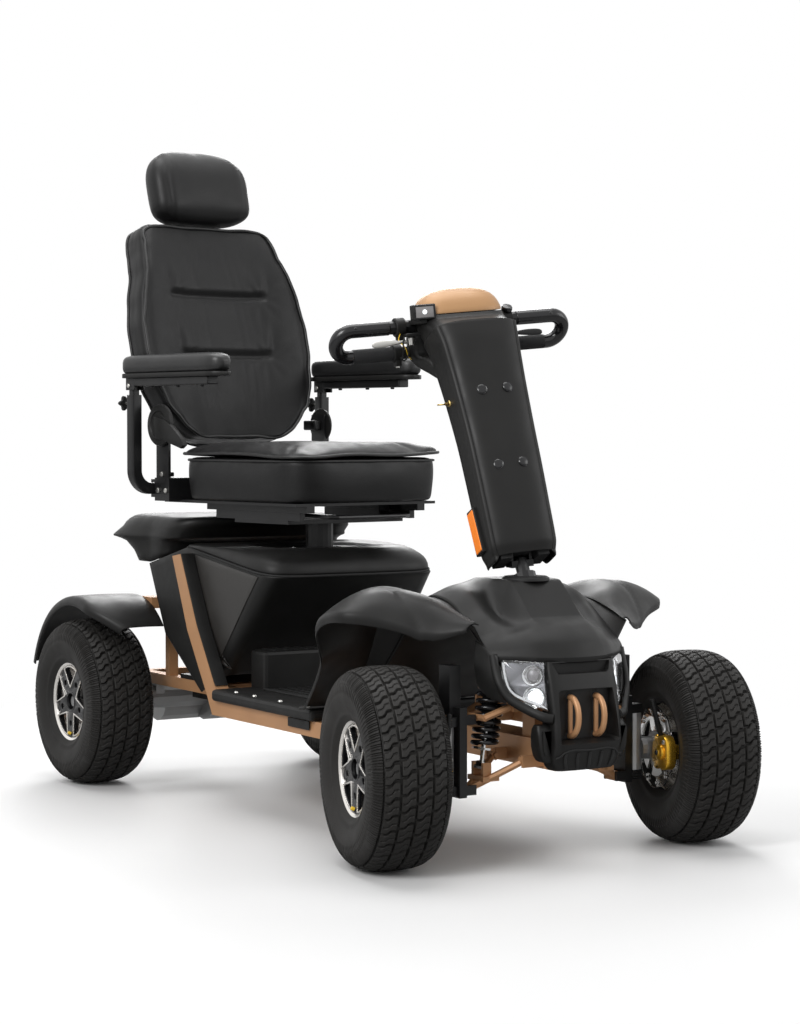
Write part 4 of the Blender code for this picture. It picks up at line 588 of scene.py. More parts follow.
def rim(end, side):
    """A deep rim with its spoked face, outlined windows, lug nuts, hub and valve."""
    body = wheel_body(end, side)
    name = f"rim_{end}_{LETTER[side]}"
    place = wheel_place(end, side, 0.31 if side < 0 else -0.2)
    lip = [
        (0.078, 0.043), (0.0795, 0.052), (0.0815, 0.057), (0.085, 0.0592), (0.0905, 0.06),
        (0.095, 0.0598), (0.0962, 0.0578), (0.095, 0.0548), (0.0914, 0.053), (0.0885, 0.04),
        (0.086, 0.025), (0.086, -0.025), (0.0885, -0.042), (0.0914, -0.0535), (0.0955, -0.056),
        (0.0962, -0.0585), (0.094, -0.0595), (0.09, -0.058), (0.0865, -0.05), (0.0825, -0.035),
        (0.0815, -0.02), (0.0815, 0.024), (0.078, 0.043),
    ]
    ring = lathe(name + "_barrel", lip, (0, 0, 0), (1, 0, 0), MACHINED, body, 96, place)
    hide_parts(name)
    plane = place @ facing_side(FACE_X)
    middles = [math.tau * k / WINDOWS for k in range(WINDOWS)]
    holes = [window(0.033, 0.077, 0.42, middle, 0.0016) for middle in middles]
    pockets = [circle(0.0062, 24, polar(LUG_CIRCLE, middle + math.pi / WINDOWS)) for middle in middles]
    face = [circle(0.0805, 120), circle(0.02, 48)] + holes + pockets
    flat_plate(name + "_face", face, 0.012, plane, GLOSS, body, 0.0012)
    for k, middle in enumerate(middles):
        frame_lines = [window(0.029, 0.0795, 0.455, middle, inset) for inset in (0.0, 0.003)]
        raised = plane @ Matrix.Translation((0, 0, 0.0052))
        flat_plate(f"{name}_trim_{k}", frame_lines, 0.005, raised, MACHINED, body, 0.0007)
        around_hub = polar(LUG_CIRCLE, middle + math.pi / WINDOWS)
        at = place @ Vector((FACE_X - 0.004, *around_hub))
        out = (place.to_3x3() @ Vector((1, 0, 0))).normalized()
        lathe(f"{name}_lug_{k}", [(0, 0), (0.006, 0), (0.006, 0.0015), (0.004, 0.002), (0.0038, 0.0052),
                                  (0.003, 0.006), (0, 0.006)], at, out, POWDER, body, 6)
    hub = [(0.0, 0.036), (0.012, 0.036), (0.013, 0.042), (0.0175, 0.043), (0.0185, 0.056), (0.0205, 0.057),
           (0.0235, 0.0565), (0.0255, 0.053), (0.026, 0.03), (0.0275, -0.04), (0.02, -0.046), (0, -0.046)]
    lathe(name + "_hub", hub, (0, 0, 0), (1, 0, 0), GLOSS, body, 64, place)
    nut = [(0, 0.036), (0.009, 0.036), (0.009, 0.0445), (0.0078, 0.046), (0, 0.046)]
    lathe(name + "_nut", nut, (0, 0, 0), (1, 0, 0), ZINC, body, 6, place)
    stem = math.radians(-100)
    start = place @ Vector((0.044, *polar(0.08, stem)))
    end_point = place @ Vector((0.06, *polar(0.072, stem)))
    between(name + "_valve", start, end_point, 0.004, RUBBER, body, chamfer=0.0008, steps=20)
    beyond = end_point + (end_point - start).normalized() * 0.007
    between(name + "_valve_cap", end_point, beyond, 0.0036, YELLOW, body, chamfer=0.0008, steps=20)


def wavy(radius, depth, waves):
    """A round outline whose edge waves in and out."""
    turns = [math.tau * i / 240 for i in range(240)]
    return [polar(radius - depth * (0.5 + 0.5 * math.cos(waves * turn)), turn) for turn in turns]


def brake_disc(side):
    """The wavy disc on the inner side of a front wheel."""
    letter = LETTER[side]
    body = wheel_body("front", side)
    place = wheel_place("front", side, 0.1)
    plane = place @ facing_side(DISC_X)
    holes = []
    for k in range(10):
        middle = math.tau * k / 10
        for radius, spread in ((0.0745, 0.05), (0.069, -0.03), (0.0635, 0.05), (0.069, 0.13)):
            holes.append(circle(0.0026, 14, polar(radius, middle + spread)))
    openings = []
    for k in range(5):
        middle = math.tau * (k + 0.5) / 5
        inner = [polar(0.034, middle + a) for a in (-0.34, -0.12, 0.12, 0.34)]
        outer = [polar(0.056, middle + a) for a in (0.42, 0.22, 0.0, -0.22, -0.42)]
        openings.append(inner + outer)
    outlines = [wavy(0.08, 0.0036, 10), circle(0.0165, 40)] + holes + openings
    flat_plate(f"brake_disc_{letter}", outlines, 0.0034, plane, CHROME, body, 0.0004)
    carrier = [(0.0155, -0.074), (0.031, -0.074), (0.032, -0.0725), (0.032, -0.0695), (0.029, -0.066),
               (0.0275, -0.042), (0.0155, -0.042)]
    lathe(f"disc_carrier_{letter}", carrier, (0, 0, 0), (1, 0, 0), CAST, body, 48, place)


def wheels():
    tyres()
    for side in (1, -1):
        for end in ("front", "rear"):
            rim(end, side)
        brake_disc(side)


# Seat

CLOTH_PRESSURE = 4.0
CLOTH_FRAMES = 20
RING_POINTS = 132


def resampled(points, count):
    """The same closed outline with evenly spaced points."""
    places = [Vector(p) for p in points]
    places.append(places[0])
    lengths = [0.0]
    for a, b in zip(places, places[1:]):
        lengths.append(lengths[-1] + (b - a).length)
    result, k = [], 0
    for i in range(count):
        wanted = lengths[-1] * i / count
        while k < len(places) - 2 and lengths[k + 1] < wanted:
            k += 1
        span = lengths[k + 1] - lengths[k]
        t = (wanted - lengths[k]) / span if span else 0.0
        result.append(places[k].lerp(places[k + 1], min(1.0, t)))
    return result


def inflate(obj, pinned, cap):
    """Swells a closed mesh like stuffed leather, held still where pinned(place) is true."""
    mesh = obj.data
    rest = [v.co.copy() for v in mesh.vertices]
    seams = obj.vertex_groups.new(name="seams")
    seams.add([v.index for v in mesh.vertices if pinned(v.co)], 1.0, "REPLACE")
    cloth = modify(obj, "CLOTH")
    cloth.settings.quality = 6
    cloth.settings.mass = 0.3
    cloth.settings.tension_stiffness = 12.0
    cloth.settings.compression_stiffness = 12.0
    cloth.settings.shear_stiffness = 5.0
    cloth.settings.bending_stiffness = 0.4
    cloth.settings.use_pressure = True
    cloth.settings.uniform_pressure_force = CLOTH_PRESSURE
    cloth.settings.effector_weights.gravity = 0.0
    cloth.settings.vertex_group_mass = "seams"
    cloth.collision_settings.use_collision = False
    cloth.point_cache.frame_start = 1
    cloth.point_cache.frame_end = CLOTH_FRAMES
    scene = bpy.context.scene
    for number in range(1, CLOTH_FRAMES + 1):
        scene.frame_set(number)
    swollen = obj.evaluated_get(bpy.context.evaluated_depsgraph_get()).data
    places = [v.co.copy() for v in swollen.vertices]
    obj.modifiers.remove(cloth)
    scene.frame_set(1)
    for vertex, before, after in zip(mesh.vertices, rest, places):
        move = after - before
        vertex.co = before + move * min(1.0, cap / max(move.length, 1e-9))
    obj.vertex_groups.clear()


def soft_piece(name, shape, body, pinned, cap, sculpt):
    """A padded leather piece: simulated straight ahead, sculpted, turned to rest and smoothed."""
    mesh = mesh_of(name, shape)
    obj = new_object(name, mesh)
    inflate(obj, pinned, cap)
    normals = [v.normal.copy() for v in mesh.vertices]
    for vertex, normal in zip(mesh.vertices, normals):
        vertex.co += normal * sculpt(vertex.co, normal)
    mesh.transform(SEAT_TURN)
    finish_piece(obj, LEATHER, body, 180.0)
    modify(obj, "SUBSURF", levels=1, render_levels=1)
    return obj


def crease(distance, width):
    """A narrow bell that is 1 where the distance is 0."""
    return math.exp(-((distance / width) ** 2))


def wrinkle(place, scale, seed):
    """Soft noise, stretched by a scale for each axis."""
    return noise.noise(Vector((place[0] * scale[0] + seed, place[1] * scale[1], place[2] * scale[2])))


CUSHION_HALF = 0.21
CUSHION_FRONT = 0.006
CUSHION_REAR = 0.446
CUSHION_MIDDLE = (CUSHION_FRONT + CUSHION_REAR) / 2
CUSHION_DEPTH = (CUSHION_REAR - CUSHION_FRONT) / 2
BOX_TOP = 0.738
PAD_RIM_Z = 0.7455


def box_outline(size, z, count=RING_POINTS):
    """A level line round the cushion at a share of its full size."""
    points = oval((0, CUSHION_MIDDLE, z), CUSHION_HALF * size, CUSHION_DEPTH * size, 7.0, 240)
    return resampled(points, count)


def cushion_box():
    """The lower part of the cushion: leather sides that pull in towards the pan, with seams."""
    levels = [(0.6445, 0.86), (0.6446, 0.925), (0.6475, 0.952), (0.654, 0.962), (0.662, 0.967)]
    levels += [(0.67 + 0.0075 * k, 0.97 + 0.0012 * k + 0.006 * math.sin(math.pi * k / 8)) for k in range(8)]
    levels += [(0.729, 0.9785), (0.7345, 0.965), (BOX_TOP, 0.93), (BOX_TOP + 0.001, 0.8)]
    rings = [box_outline(size, z) for z, size in levels]
    shape = capped(rings)

    def pinned(place):
        return place.z < 0.653 or place.z > 0.7335

    def sculpt(place, normal):
        depth = 0.0
        for x, y in ((-1, -1), (1, -1), (1, 1), (-1, 1)):
            corner = Vector((x * CUSHION_HALF * 0.86, CUSHION_MIDDLE + y * CUSHION_DEPTH * 0.97, place.z))
            flat = (place - corner).length
            depth -= 0.0022 * crease(flat, 0.0045) * (0.66 < place.z < 0.73)
        gather = crease(place.z - 0.731, 0.01)
        pleat = wrinkle(place, (70, 70, 6), 3.1)
        slack = wrinkle(place, (9, 9, 16), 8.7)
        return depth + 0.0024 * gather * pleat + 0.0016 * slack * (0.652 < place.z < 0.735)

    box = soft_piece("cushion_box", shape, "seat_frame", pinned, 0.007, sculpt)
    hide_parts("seat_cushion")
    welt = [tuple(p) for p in box_outline(0.978, 0.7322, 88)]
    pipe("cushion_welt", welt, 0.0028, PIPING, "seat_frame", cyclic=True)


def pad_edge(p):
    """How much the wavy rim of the loose top pad grows and lifts at a point of its unit outline."""
    ear = (abs(p.x) * abs(p.y)) ** 6
    lift = 0.005 * ear - 0.0055 * crease(math.hypot(p.x + 0.8, p.y + 0.9), 0.45)
    lift += 0.0018 * math.sin(5.0 * p.x + 3.0 * p.y)
    size = 1.0 - 0.012 * (1 - abs(p.x) ** 4) * (1 - abs(p.y) ** 4) + 0.012 * ear
    return size, lift


def top_pad():
    """The thin pad on top, a pillow between two sheets sewn at its rim."""
    unit = resampled(oval((0, 0, 0), 1.0, 1.0, 9.0, 360), RING_POINTS)
    rings = []
    shares = [1.0, 0.992, 0.975, 0.945, 0.9, 0.85, 0.79, 0.72, 0.64, 0.55, 0.46, 0.36, 0.26, 0.16, 0.07]
    for upper in (True, False):
        part = []
        for share in shares if upper else shares[1:]:
            ring_points = []
            for p in unit:
                size, lift = pad_edge(p)
                x, y = p.x * share * size, p.y * share * size
                bulge = (1 - share**9) ** 0.5
                rise = 0.02 * bulge if upper else -0.0068 * bulge
                edge = lift * share**3
                ring_points.append(Vector((x * CUSHION_HALF * 0.988,
                                           CUSHION_MIDDLE + y * CUSHION_DEPTH * 0.985,
                                           PAD_RIM_Z + rise + edge)))
            part.append(ring_points)
        rings = part if upper else part[::-1] + rings
    shape = capped(rings[::-1])

    def pinned(place):
        return place.z < 0.7405 or abs(place.z - PAD_RIM_Z) < 0.0012

    def sculpt(place, normal):
        if normal.z < 0.2:
            return 0.0
        x, y = place.x / CUSHION_HALF, (place.y - CUSHION_MIDDLE) / CUSHION_DEPTH
        seam = 0.0
        for side in (-1, 1):
            seam -= 0.003 * crease(x - side * 0.74, 0.03) * (abs(y) < 0.9)
        near_rim = max(0.0, max(abs(x), abs(y)) - 0.72)
        folds = 0.0042 * near_rim * wrinkle(place, (60, 60, 10), 1.7)
        slack = 0.0026 * wrinkle(place, (7, 11, 4), 5.2)
        return seam + folds + slack

    soft_piece("cushion_top_pad", shape, "seat_frame", pinned, 0.006, sculpt)
    edge = []
    for p in unit[::2]:
        size, lift = pad_edge(p)
        edge.append((p.x * size * CUSHION_HALF * 0.99, CUSHION_MIDDLE + p.y * size * CUSHION_DEPTH * 0.987,
                     PAD_RIM_Z + lift))
    pipe("cushion_top_piping", edge, 0.0034, PIPING, "seat_frame", cyclic=True)


BACK_FOOT = (0.489, 0.781)
BACK_LEAN = math.radians(14.8)
BACK_LENGTH = 0.503
BACK_CHANNELS = (0.195, 0.335)
BACK_KNOTS = [(0.0, 0.118), (0.012, 0.142), (0.035, 0.172), (0.075, 0.2), (0.125, 0.2195), (0.195, 0.2305),
              (0.255, 0.2305), (0.32, 0.2205), (0.392, 0.201), (0.44, 0.191), (0.475, 0.184),
              (0.493, 0.173), (BACK_LENGTH, 0.157)]


def along_back(height, depth, x):
    """A place in the back's own directions: up its front face, and in behind it."""
    y, z = BACK_FOOT
    c, s = math.cos(BACK_LEAN), math.sin(BACK_LEAN)
    return Vector((x, y + height * s + depth * c, z + height * c - depth * s))


def in_back(place):
    """The height, depth and x of a place, the other way round."""
    y, z = place.y - BACK_FOOT[0], place.z - BACK_FOOT[1]
    c, s = math.cos(BACK_LEAN), math.sin(BACK_LEAN)
    return y * s + z * c, y * c - z * s, place.x


def between_knots(knots, height):
    """A width between the listed heights, half straight and half eased."""
    for (low, first), (high, second) in zip(knots, knots[1:]):
        if height <= high:
            t = (height - low) / (high - low)
            return first + (second - first) * (0.5 * t + 0.5 * t * t * (3 - 2 * t))
    return knots[-1][1]


def bolster(share, height):
    """How far the sides come forward, less so at the top."""
    reach = 0.04 - 0.024 * (1 - step_down(height - 0.36, 0.13))
    return -reach * min(1.0, share) ** 2.4


def back_ring(height, count):
    """A level line round the back at one height, which narrows towards the back's ends."""
    half = between_knots(BACK_KNOTS, height)
    end = min(height, BACK_LENGTH - height)
    round_end = 0.7 + 0.3 * min(1.0, (end / 0.05) ** 0.5)
    places = []
    for p in oval((0, 0, 0), half, 0.047 * round_end, 5.0, 200):
        depth = 0.05 + p.y * (1.1 if p.y > 0 else 1.0) + bolster(abs(p.x) / half, height)
        places.append(along_back(height, depth, p.x))
    return resampled(places, count)


def seat_back():
    """The back: a front panel with two sewn channels, piping round it, and side bands."""
    heights = {0.0, 0.003, 0.009, 0.018, *(0.028 + 0.0078 * k for k in range(58)), 0.484, 0.4935, 0.5, 0.503}
    rings = [back_ring(height, 140) for height in sorted(heights)]
    shape = capped(rings)

    def pinned(place):
        height, depth, x = in_back(place)
        share = abs(x) / between_knots(BACK_KNOTS, min(max(height, 0.0), BACK_LENGTH))
        on_rim = share > 0.955
        channel = any(abs(height - c) < 0.005 for c in BACK_CHANNELS) and abs(x) < 0.13 and depth < 0.035
        return on_rim or channel or depth > 0.08 or height < 0.006 or height > BACK_LENGTH - 0.006

    def sculpt(place, normal):
        height, depth, x = in_back(place)
        share = abs(x) / between_knots(BACK_KNOTS, min(max(height, 0.0), BACK_LENGTH))
        move = 0.0
        if normal.y < -0.25:
            for channel, reach in ((BACK_CHANNELS[0], 0.122), (BACK_CHANNELS[1], 0.13)):
                rise = height - channel
                inside = step_down(abs(x) - reach, 0.008)
                move -= 0.0075 * inside * crease(rise + 0.001, 0.0042)
                move += 0.008 * inside * min(1.0, max(0.0, rise / 0.008)) * step_down(rise - 0.008, 0.085)
                ends = crease(abs(x) - reach, 0.006) * (0.0 < rise < 0.075) * (1 - rise / 0.075)
                move -= 0.0042 * ends
                fan = math.atan2(rise + 0.004, abs(x) - reach + 0.012)
                far = math.hypot(rise, abs(x) - reach)
                move += 0.0011 * crease(far - 0.034, 0.026) * math.sin(fan * 9.0 + 1.3 * (x > 0))
            top = crease(height - 0.445, 0.06) * (share < 0.9)
            move += 0.0009 * top * wrinkle((x - 0.25 * height, 0, height), (62, 0, 5), 2.2)
            move += 0.0014 * wrinkle((x, 0, height), (16, 0, 9), 6.1) * (share < 0.93)
            move -= 0.003 * crease(share - 0.925, 0.022)
        else:
            band = abs(depth - 0.05 - bolster(share, height)) < 0.04
            move += 0.0012 * band * wrinkle((depth * 2, 0, height), (45, 0, 12), 9.4)
        return move

    back = soft_piece("seat_back_leather", shape, "seat_back", pinned, 0.01, sculpt)
    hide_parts("seat_back")
    hug = BVHTree.FromPolygons([v.co for v in back.data.vertices], [f.vertices for f in back.data.polygons])
    for name, depth, size in (("front", 0.0065, 0.972), ("rear", 0.08, 0.98)):
        edge = []
        for sign in (1, -1):
            run = [0.01 + 0.015 * k for k in range(33)]
            for height in run if sign > 0 else reversed(run):
                half = between_knots(BACK_KNOTS, height) * size
                edge.append(along_back(height, depth + bolster(size, height), sign * half))
        bottom = [along_back(0.003, depth - 0.01 * abs(x) / 0.11, x)
                  for x in (-0.105, -0.05, 0.0, 0.05, 0.105)]
        top = [along_back(BACK_LENGTH - 0.003, depth - 0.012 * abs(x) / 0.12, x)
               for x in (0.125, 0.06, 0.0, -0.06, -0.125)]
        seated = []
        for place in (*edge[:33], *top, *edge[33:], *bottom):
            spot, normal = hug.find_nearest(SEAT_TURN @ place)[:2]
            seated.append(spot + normal * 0.0014)
        pipe(f"back_piping_{name}", seated, 0.0034, PIPING, "seat_back", cyclic=True, turn=STILL)
    for side, letter in SIDES:
        y, z = RECLINE
        slab(f"back_hinge_plate_{letter}", (side * 0.1965, y - 0.013, z - 0.0112),
             (side * 0.213, y + 0.034, z + 0.0112), POWDER, "seat_back", 0.003)


def step_down(value, width):
    """Falls smoothly from 1 to 0 as the value goes from 0 to the width."""
    t = min(1.0, max(0.0, value / width))
    return 1 - t * t * (3 - 2 * t)


RECLINE = (0.475, 0.808)
HEADREST_FOOT = 0.509


def headrest():
    """A pillow that is fuller in the middle, with a seam down each side."""
    tall = 0.178
    rises = []
    for k in range(29):
        share = -math.cos(math.pi * (k + 0.35) / 28.7)
        wide = (1 - abs(share) ** (2.9 if share > 0 else 7.5)) ** 0.37
        deep = (1 - abs(share) ** (2.2 if share > 0 else 4.5)) ** 0.44
        rises.append((tall * (1 + share) / 2, wide, deep))
    rings = []
    for rise, wide, deep in rises:
        places = []
        for p in oval((0, 0, 0), 0.13 * wide, 0.055 * deep, 2.7, 200):
            arch = 0.018 * (abs(p.x) / 0.13) ** 2.2
            places.append(along_back(HEADREST_FOOT + rise, 0.022 + p.y - arch + 0.006, p.x))
        rings.append(resampled(places, 96))
    shape = capped(rings)

    def pinned(place):
        height, depth, x = in_back(place)
        rise = height - HEADREST_FOOT
        return rise < 0.006 or abs(abs(x) - 0.106) < 0.0035 and depth < 0.02

    def sculpt(place, normal):
        height, depth, x = in_back(place)
        move = 0.001 * wrinkle((x, 0, height), (18, 0, 14), 4.4)
        if normal.y < 0.1:
            strong = 1.0 if x < 0 else 0.25
            bow = 0.1 * (height - HEADREST_FOOT - 0.09) ** 2 * 8
            move -= 0.0046 * strong * crease(abs(x) - 0.1055 + bow, 0.004)
            move += 0.0024 * strong * crease(abs(x) - 0.092, 0.012)
        return move

    pillow = soft_piece("headrest_pillow", shape, "headrest", pinned, 0.005, sculpt)
    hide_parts("headrest")
    for side, letter in SIDES:
        start = along_back(0.372, 0.05, side * 0.06)
        end = along_back(HEADREST_FOOT + 0.04, 0.05, side * 0.06)
        between(f"headrest_stalk_{letter}", start, end, 0.0058, CHROME, "headrest")


ARM_X = 0.262
ARM_Y = 0.522
ARM_Z = 0.895
PAD_Z = 0.9385
PAD_FRONT = 0.177
PAD_LONG = 0.363
ARM_BAR_TOP = 0.912


def pad_share(s, nose_length, tail_length, start, nose_power, tail_power):
    """How full the armrest's pad is at a distance from its front end, from 0 to 1."""
    nose = min(1.0, (s + start) / nose_length)
    tail = min(1.0, (PAD_LONG - s + start) / tail_length)
    return (1 - (1 - nose) ** 2.4) ** nose_power * (1 - (1 - tail) ** 2.4) ** tail_power


def armrest(side):
    """A moulded pad with a lip on a folded steel bar, two cheeks, a pin and its bolts."""
    letter = LETTER[side]
    body = f"armrest_{letter}"
    centre = side * ARM_X
    rows = []
    for s in (0.0, 0.0015, 0.005, 0.011, 0.02, 0.032, 0.05, 0.1, 0.16, 0.22, 0.28, 0.32, 0.343, 0.353,
              0.359, 0.362, PAD_LONG):
        wide = pad_share(s, 0.04, 0.022, 0.0004, 0.45, 0.4)
        high = pad_share(s, 0.04, 0.022, 0.0004, 0.38, 0.35)
        rows.append([Vector((centre + p.x, PAD_FRONT + s,
                             PAD_Z + max(p.y, -0.019) + 0.0008 * math.sin(s * 9)))
                     for p in oval((0, 0, 0), 0.0285 * wide, 0.0225 * high, 3.0, 64)])
    pad = piece(f"armrest_pad_{letter}", capped(rows), PADDING, body, 60.0)
    modify(pad, "SUBSURF", levels=1, render_levels=1)
    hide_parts(body)
    tray = [(0.028 * pad_share(s, 0.036, 0.02, 0.001, 0.45, 0.4), PAD_FRONT + s)
            for s in (k * PAD_LONG / 40 for k in range(41))]
    outline = [(centre + x, y) for x, y in tray] + [(centre - x, y) for x, y in tray[::-1]]
    flat_plate(f"armrest_lip_{letter}", [outline], 0.01, SEAT_TURN @ Matrix.Translation((0, 0, 0.916)),
               BLACK, body, 0.0016)
    slab(f"armrest_bar_{letter}", (centre - 0.0145, 0.222, 0.8935), (centre + 0.0145, 0.502, ARM_BAR_TOP),
         POWDER, body, 0.0025)
    for end, reach in (("a", -0.0145), ("b", 0.0093)):
        slab(f"armrest_cheek_{letter}_{end}", (centre + reach, ARM_Y - 0.022, ARM_Z - 0.01),
             (centre + reach + 0.0052, ARM_Y + 0.012, ARM_BAR_TOP), POWDER, body, 0.0012)
    between(f"armrest_pin_{letter}", (centre - 0.017, ARM_Y, ARM_Z), (centre + 0.017, ARM_Y, ARM_Z), 0.0049,
            ZINC, body)
    for k, y in enumerate((0.262, 0.352, 0.452)):
        between(f"armrest_bolt_{letter}_{k}", (centre, y, 0.895), (centre, y, 0.8895), 0.0048, POWDER, body,
                steps=6)


def star_knob(name, centre, axis, radius, body):
    """A five-lobed clamping knob on its stud."""
    centre, axis = Vector(centre), Vector(axis)
    turns = [math.tau * i / 80 for i in range(80)]
    outline = [polar(radius * (0.84 + 0.16 * math.cos(turn * 5)), turn) for turn in turns]
    place = SEAT_TURN @ Matrix.Translation(centre) @ axis.to_track_quat("Z", "Y").to_matrix().to_4x4()
    flat_plate(name, [outline], 0.01, place, BLACK, body, 0.0022)
    between(name + "_stud", centre - axis * 0.016, centre + axis * 0.004, 0.0035, ZINC, body)


def seat_hardware():
    """The recliner's discs and lever, knobs, bolts and covers round the seat's frame."""
    y, z = RECLINE
    body = "recline_lever"
    disc = [(0, 0.0), (0.0455, 0.0), (0.0465, 0.002), (0.0465, 0.0065), (0.0445, 0.0092), (0.032, 0.0105),
            (0.0305, 0.0088), (0.0285, 0.0088), (0.027, 0.0108), (0.0, 0.0115)]
    made = lathe("recline_disc", disc, (-0.22, y, z), (-1, 0, 0), BLACK, body, 64)
    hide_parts("recline_lever")
    arm = [(0.014, 0.02), (-0.03, 0.012), (-0.062, -0.008), (-0.092, -0.03), (-0.1, -0.044),
           (-0.088, -0.051), (-0.06, -0.044), (-0.03, -0.036), (0.01, -0.03)]
    plane = SEAT_TURN @ facing_side(-0.2275, y, z, -1)
    flat_plate("recline_handle", [arm], 0.013, plane, BLACK, body, 0.003)
    cover = [(0, 0.0), (0.038, 0.0), (0.039, 0.0015), (0.038, 0.005), (0.025, 0.007), (0, 0.0075)]
    lathe("recline_cover_l", cover, (0.22, y, z), (1, 0, 0), BLACK, "seat_frame", 48)
    for side, letter in SIDES:
        star_knob(f"armrest_knob_{letter}", (side * ARM_X, ARM_Y + 0.036, 0.8565), (0, 1, 0), 0.017,
                  f"armrest_post_{letter}")
        star_knob(f"width_knob_{letter}", (side * 0.175, ARM_Y, 0.6985), (0, 0, 1), 0.015, "seat_frame")
        for k, (by, bz) in enumerate(((0.46, 0.664), (0.49, 0.664), (0.475, 0.7))):
            between(f"plate_bolt_{letter}_{k}", (side * 0.219, by, bz), (side * 0.224, by, bz), 0.0058,
                    ZINC, "seat_frame", steps=6)


def seat():
    cushion_box()
    top_pad()
    seat_back()
    headrest()
    for side in (1, -1):
        armrest(side)
    seat_hardware()


# Body, deck, fenders and floor


def smooth_run(points, steps, closed=False):
    """Points along a centripetal curve through the given ones, steps to each span."""
    places = [Vector(p) for p in points]
    count = len(places)
    result = []
    spans = count if closed else count - 1
    for i in range(spans):
        if closed:
            p0, p1, p2, p3 = (places[(i + k - 1) % count] for k in range(4))
        else:
            p1, p2 = places[i], places[i + 1]
            p0 = places[i - 1] if i else p1 * 2 - p2
            p3 = places[i + 2] if i + 2 < count else p2 * 2 - p1
        for k in range(steps):
            t = k / steps
            d1, d2 = (p2 - p0) * 0.5, (p3 - p1) * 0.5
            near, far = (p1 - p0).length + 1e-9, (p3 - p2).length + 1e-9
            span = (p2 - p1).length + 1e-9
            d1 *= min(1.0, 2 * span / (span + near))
            d2 *= min(1.0, 2 * span / (span + far))
            a, b = 2 * t**3 - 3 * t * t + 1, t**3 - 2 * t * t + t
            c, d = -2 * t**3 + 3 * t * t, t**3 - t * t
            result.append(p1 * a + d1 * b + p2 * c + d2 * d)
    if not closed:
        result.append(places[-1])
    return result


def smooth_sheet(rows, along, across):
    """A finer sheet through rows of points: steps along the rows' sequence and across each row."""
    finer = [smooth_run(row, across) for row in rows] if across > 1 else rows
    return across_rows(finer, along)


def across_rows(rows, steps):
    """More rows between the given ones, on smooth curves through their points."""
    columns = [smooth_run(column, steps) for column in zip(*rows)]
    return [list(row) for row in zip(*columns)]


def thick_sheet(name, rows, thickness, skin, body, smooth=40.0, offset=-1.0):
    """A sheet through rows of points with a thickness and softened edges."""
    obj = piece(name, grid(rows), skin, body, smooth)
    modify(obj, "SOLIDIFY", thickness=thickness, offset=offset, use_even_offset=True)
    rounded(obj, thickness * 0.35, 2, 50.0)
    return obj


BODY_HALF = 0.2285
SEAM_FRONT = (0.044, 0.493)
SEAM_REAR = (0.379, 0.541)
SHROUD_REAR = (0.57, 0.497)
LID_TOP = 0.547
DECK_TOP = 0.605
DECK_Y = 0.562
FLOOR_TOP = 0.2498
SHROUD_LEVELS = [
    ((0.24, 0.27), (0.29, 0.2415), (0.3135, 0.2285), 0.22),
    ((0.142, 0.3815), (0.36, 0.36), (0.49, 0.345), 0.214),
    ((SEAM_FRONT[0], 0.4892), (SEAM_REAR[0], 0.5407), SHROUD_REAR, 0.207),
]


def shroud_level(t):
    """The front, middle and rear corners of the shroud at a share of its height, and its half width."""
    first, last = (SHROUD_LEVELS[0], SHROUD_LEVELS[1]) if t < 0.5 else (SHROUD_LEVELS[1], SHROUD_LEVELS[2])
    s = t * 2 if t < 0.5 else t * 2 - 1
    places = [tuple(a + (b - a) * s for a, b in zip(p, q)) for p, q in zip(first[:3], last[:3])]
    return (*places, first[3] + (last[3] - first[3]) * s)


def shroud_row(t):
    """One level line of the shroud's three walls, from the left rear corner to the right one."""
    front, middle, rear, half = shroud_level(t)
    radius = 0.035
    run = []
    for k in range(13):
        angle = math.pi / 2 * k / 12
        run.append((half - radius + radius * math.sin(angle), front[0] + radius - radius * math.cos(angle)))
    y_middle, (x_start, y_start) = middle[0], run[-1]
    for k in range(1, 13):
        s = k / 12
        run.append((x_start + (BODY_HALF - x_start) * min(1.0, s * 1.15), y_start + (y_middle - y_start) * s))
    for k in range(1, 9):
        run.append((BODY_HALF, y_middle + (rear[0] - y_middle) * k / 8))
    points = []
    for x, y in run:
        if y <= y_middle:
            z = front[1] + (middle[1] - front[1]) * (y - front[0]) / (y_middle - front[0])
        else:
            z = middle[1] + (rear[1] - middle[1]) * (y - y_middle) / (rear[0] - y_middle)
        points.append(Vector((x, y, z)))
    flat = [Vector((points[0].x * (1 - 2 * k / 16), points[0].y, points[0].z)) for k in range(1, 16)]
    return points[::-1] + flat + [Vector((-p.x, p.y, p.z)) for p in points]


def shroud():
    """The body under the seat, with a warm grey panel on each side."""
    rows = [shroud_row(k / 24) for k in range(25)]
    made = thick_sheet("body_shroud_skin", rows, 0.004, BLACK, "chassis", smooth=40.0)
    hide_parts("body_shroud")
    for side, letter in SIDES:
        panel_rows = []
        for k in range(25):
            t = 0.01 + 0.965 * k / 24
            front, middle, _, half = shroud_level(t)
            start = front[0] + 0.04
            stripe = 0.175 + (front[1] * 0.5 + middle[1] * 0.5 - 0.249) * 0.58
            end = min(middle[0], stripe + 0.012 + 0.03 * (1 - t))
            row = []
            for i in range(17):
                y = start + (end - start) * i / 16
                z = front[1] + (middle[1] - front[1]) * (y - front[0]) / (middle[0] - front[0])
                s = min(1.0, (y - front[0] - 0.035) / (middle[0] - front[0] - 0.035) * 1.15)
                x = half + (BODY_HALF - half) * max(0.0, s)
                row.append((side * (x + 0.0016), y, z))
            panel_rows.append(row)
        thick_sheet(f"side_panel_{letter}", panel_rows, 0.0016, PANEL, "chassis", smooth=40.0)


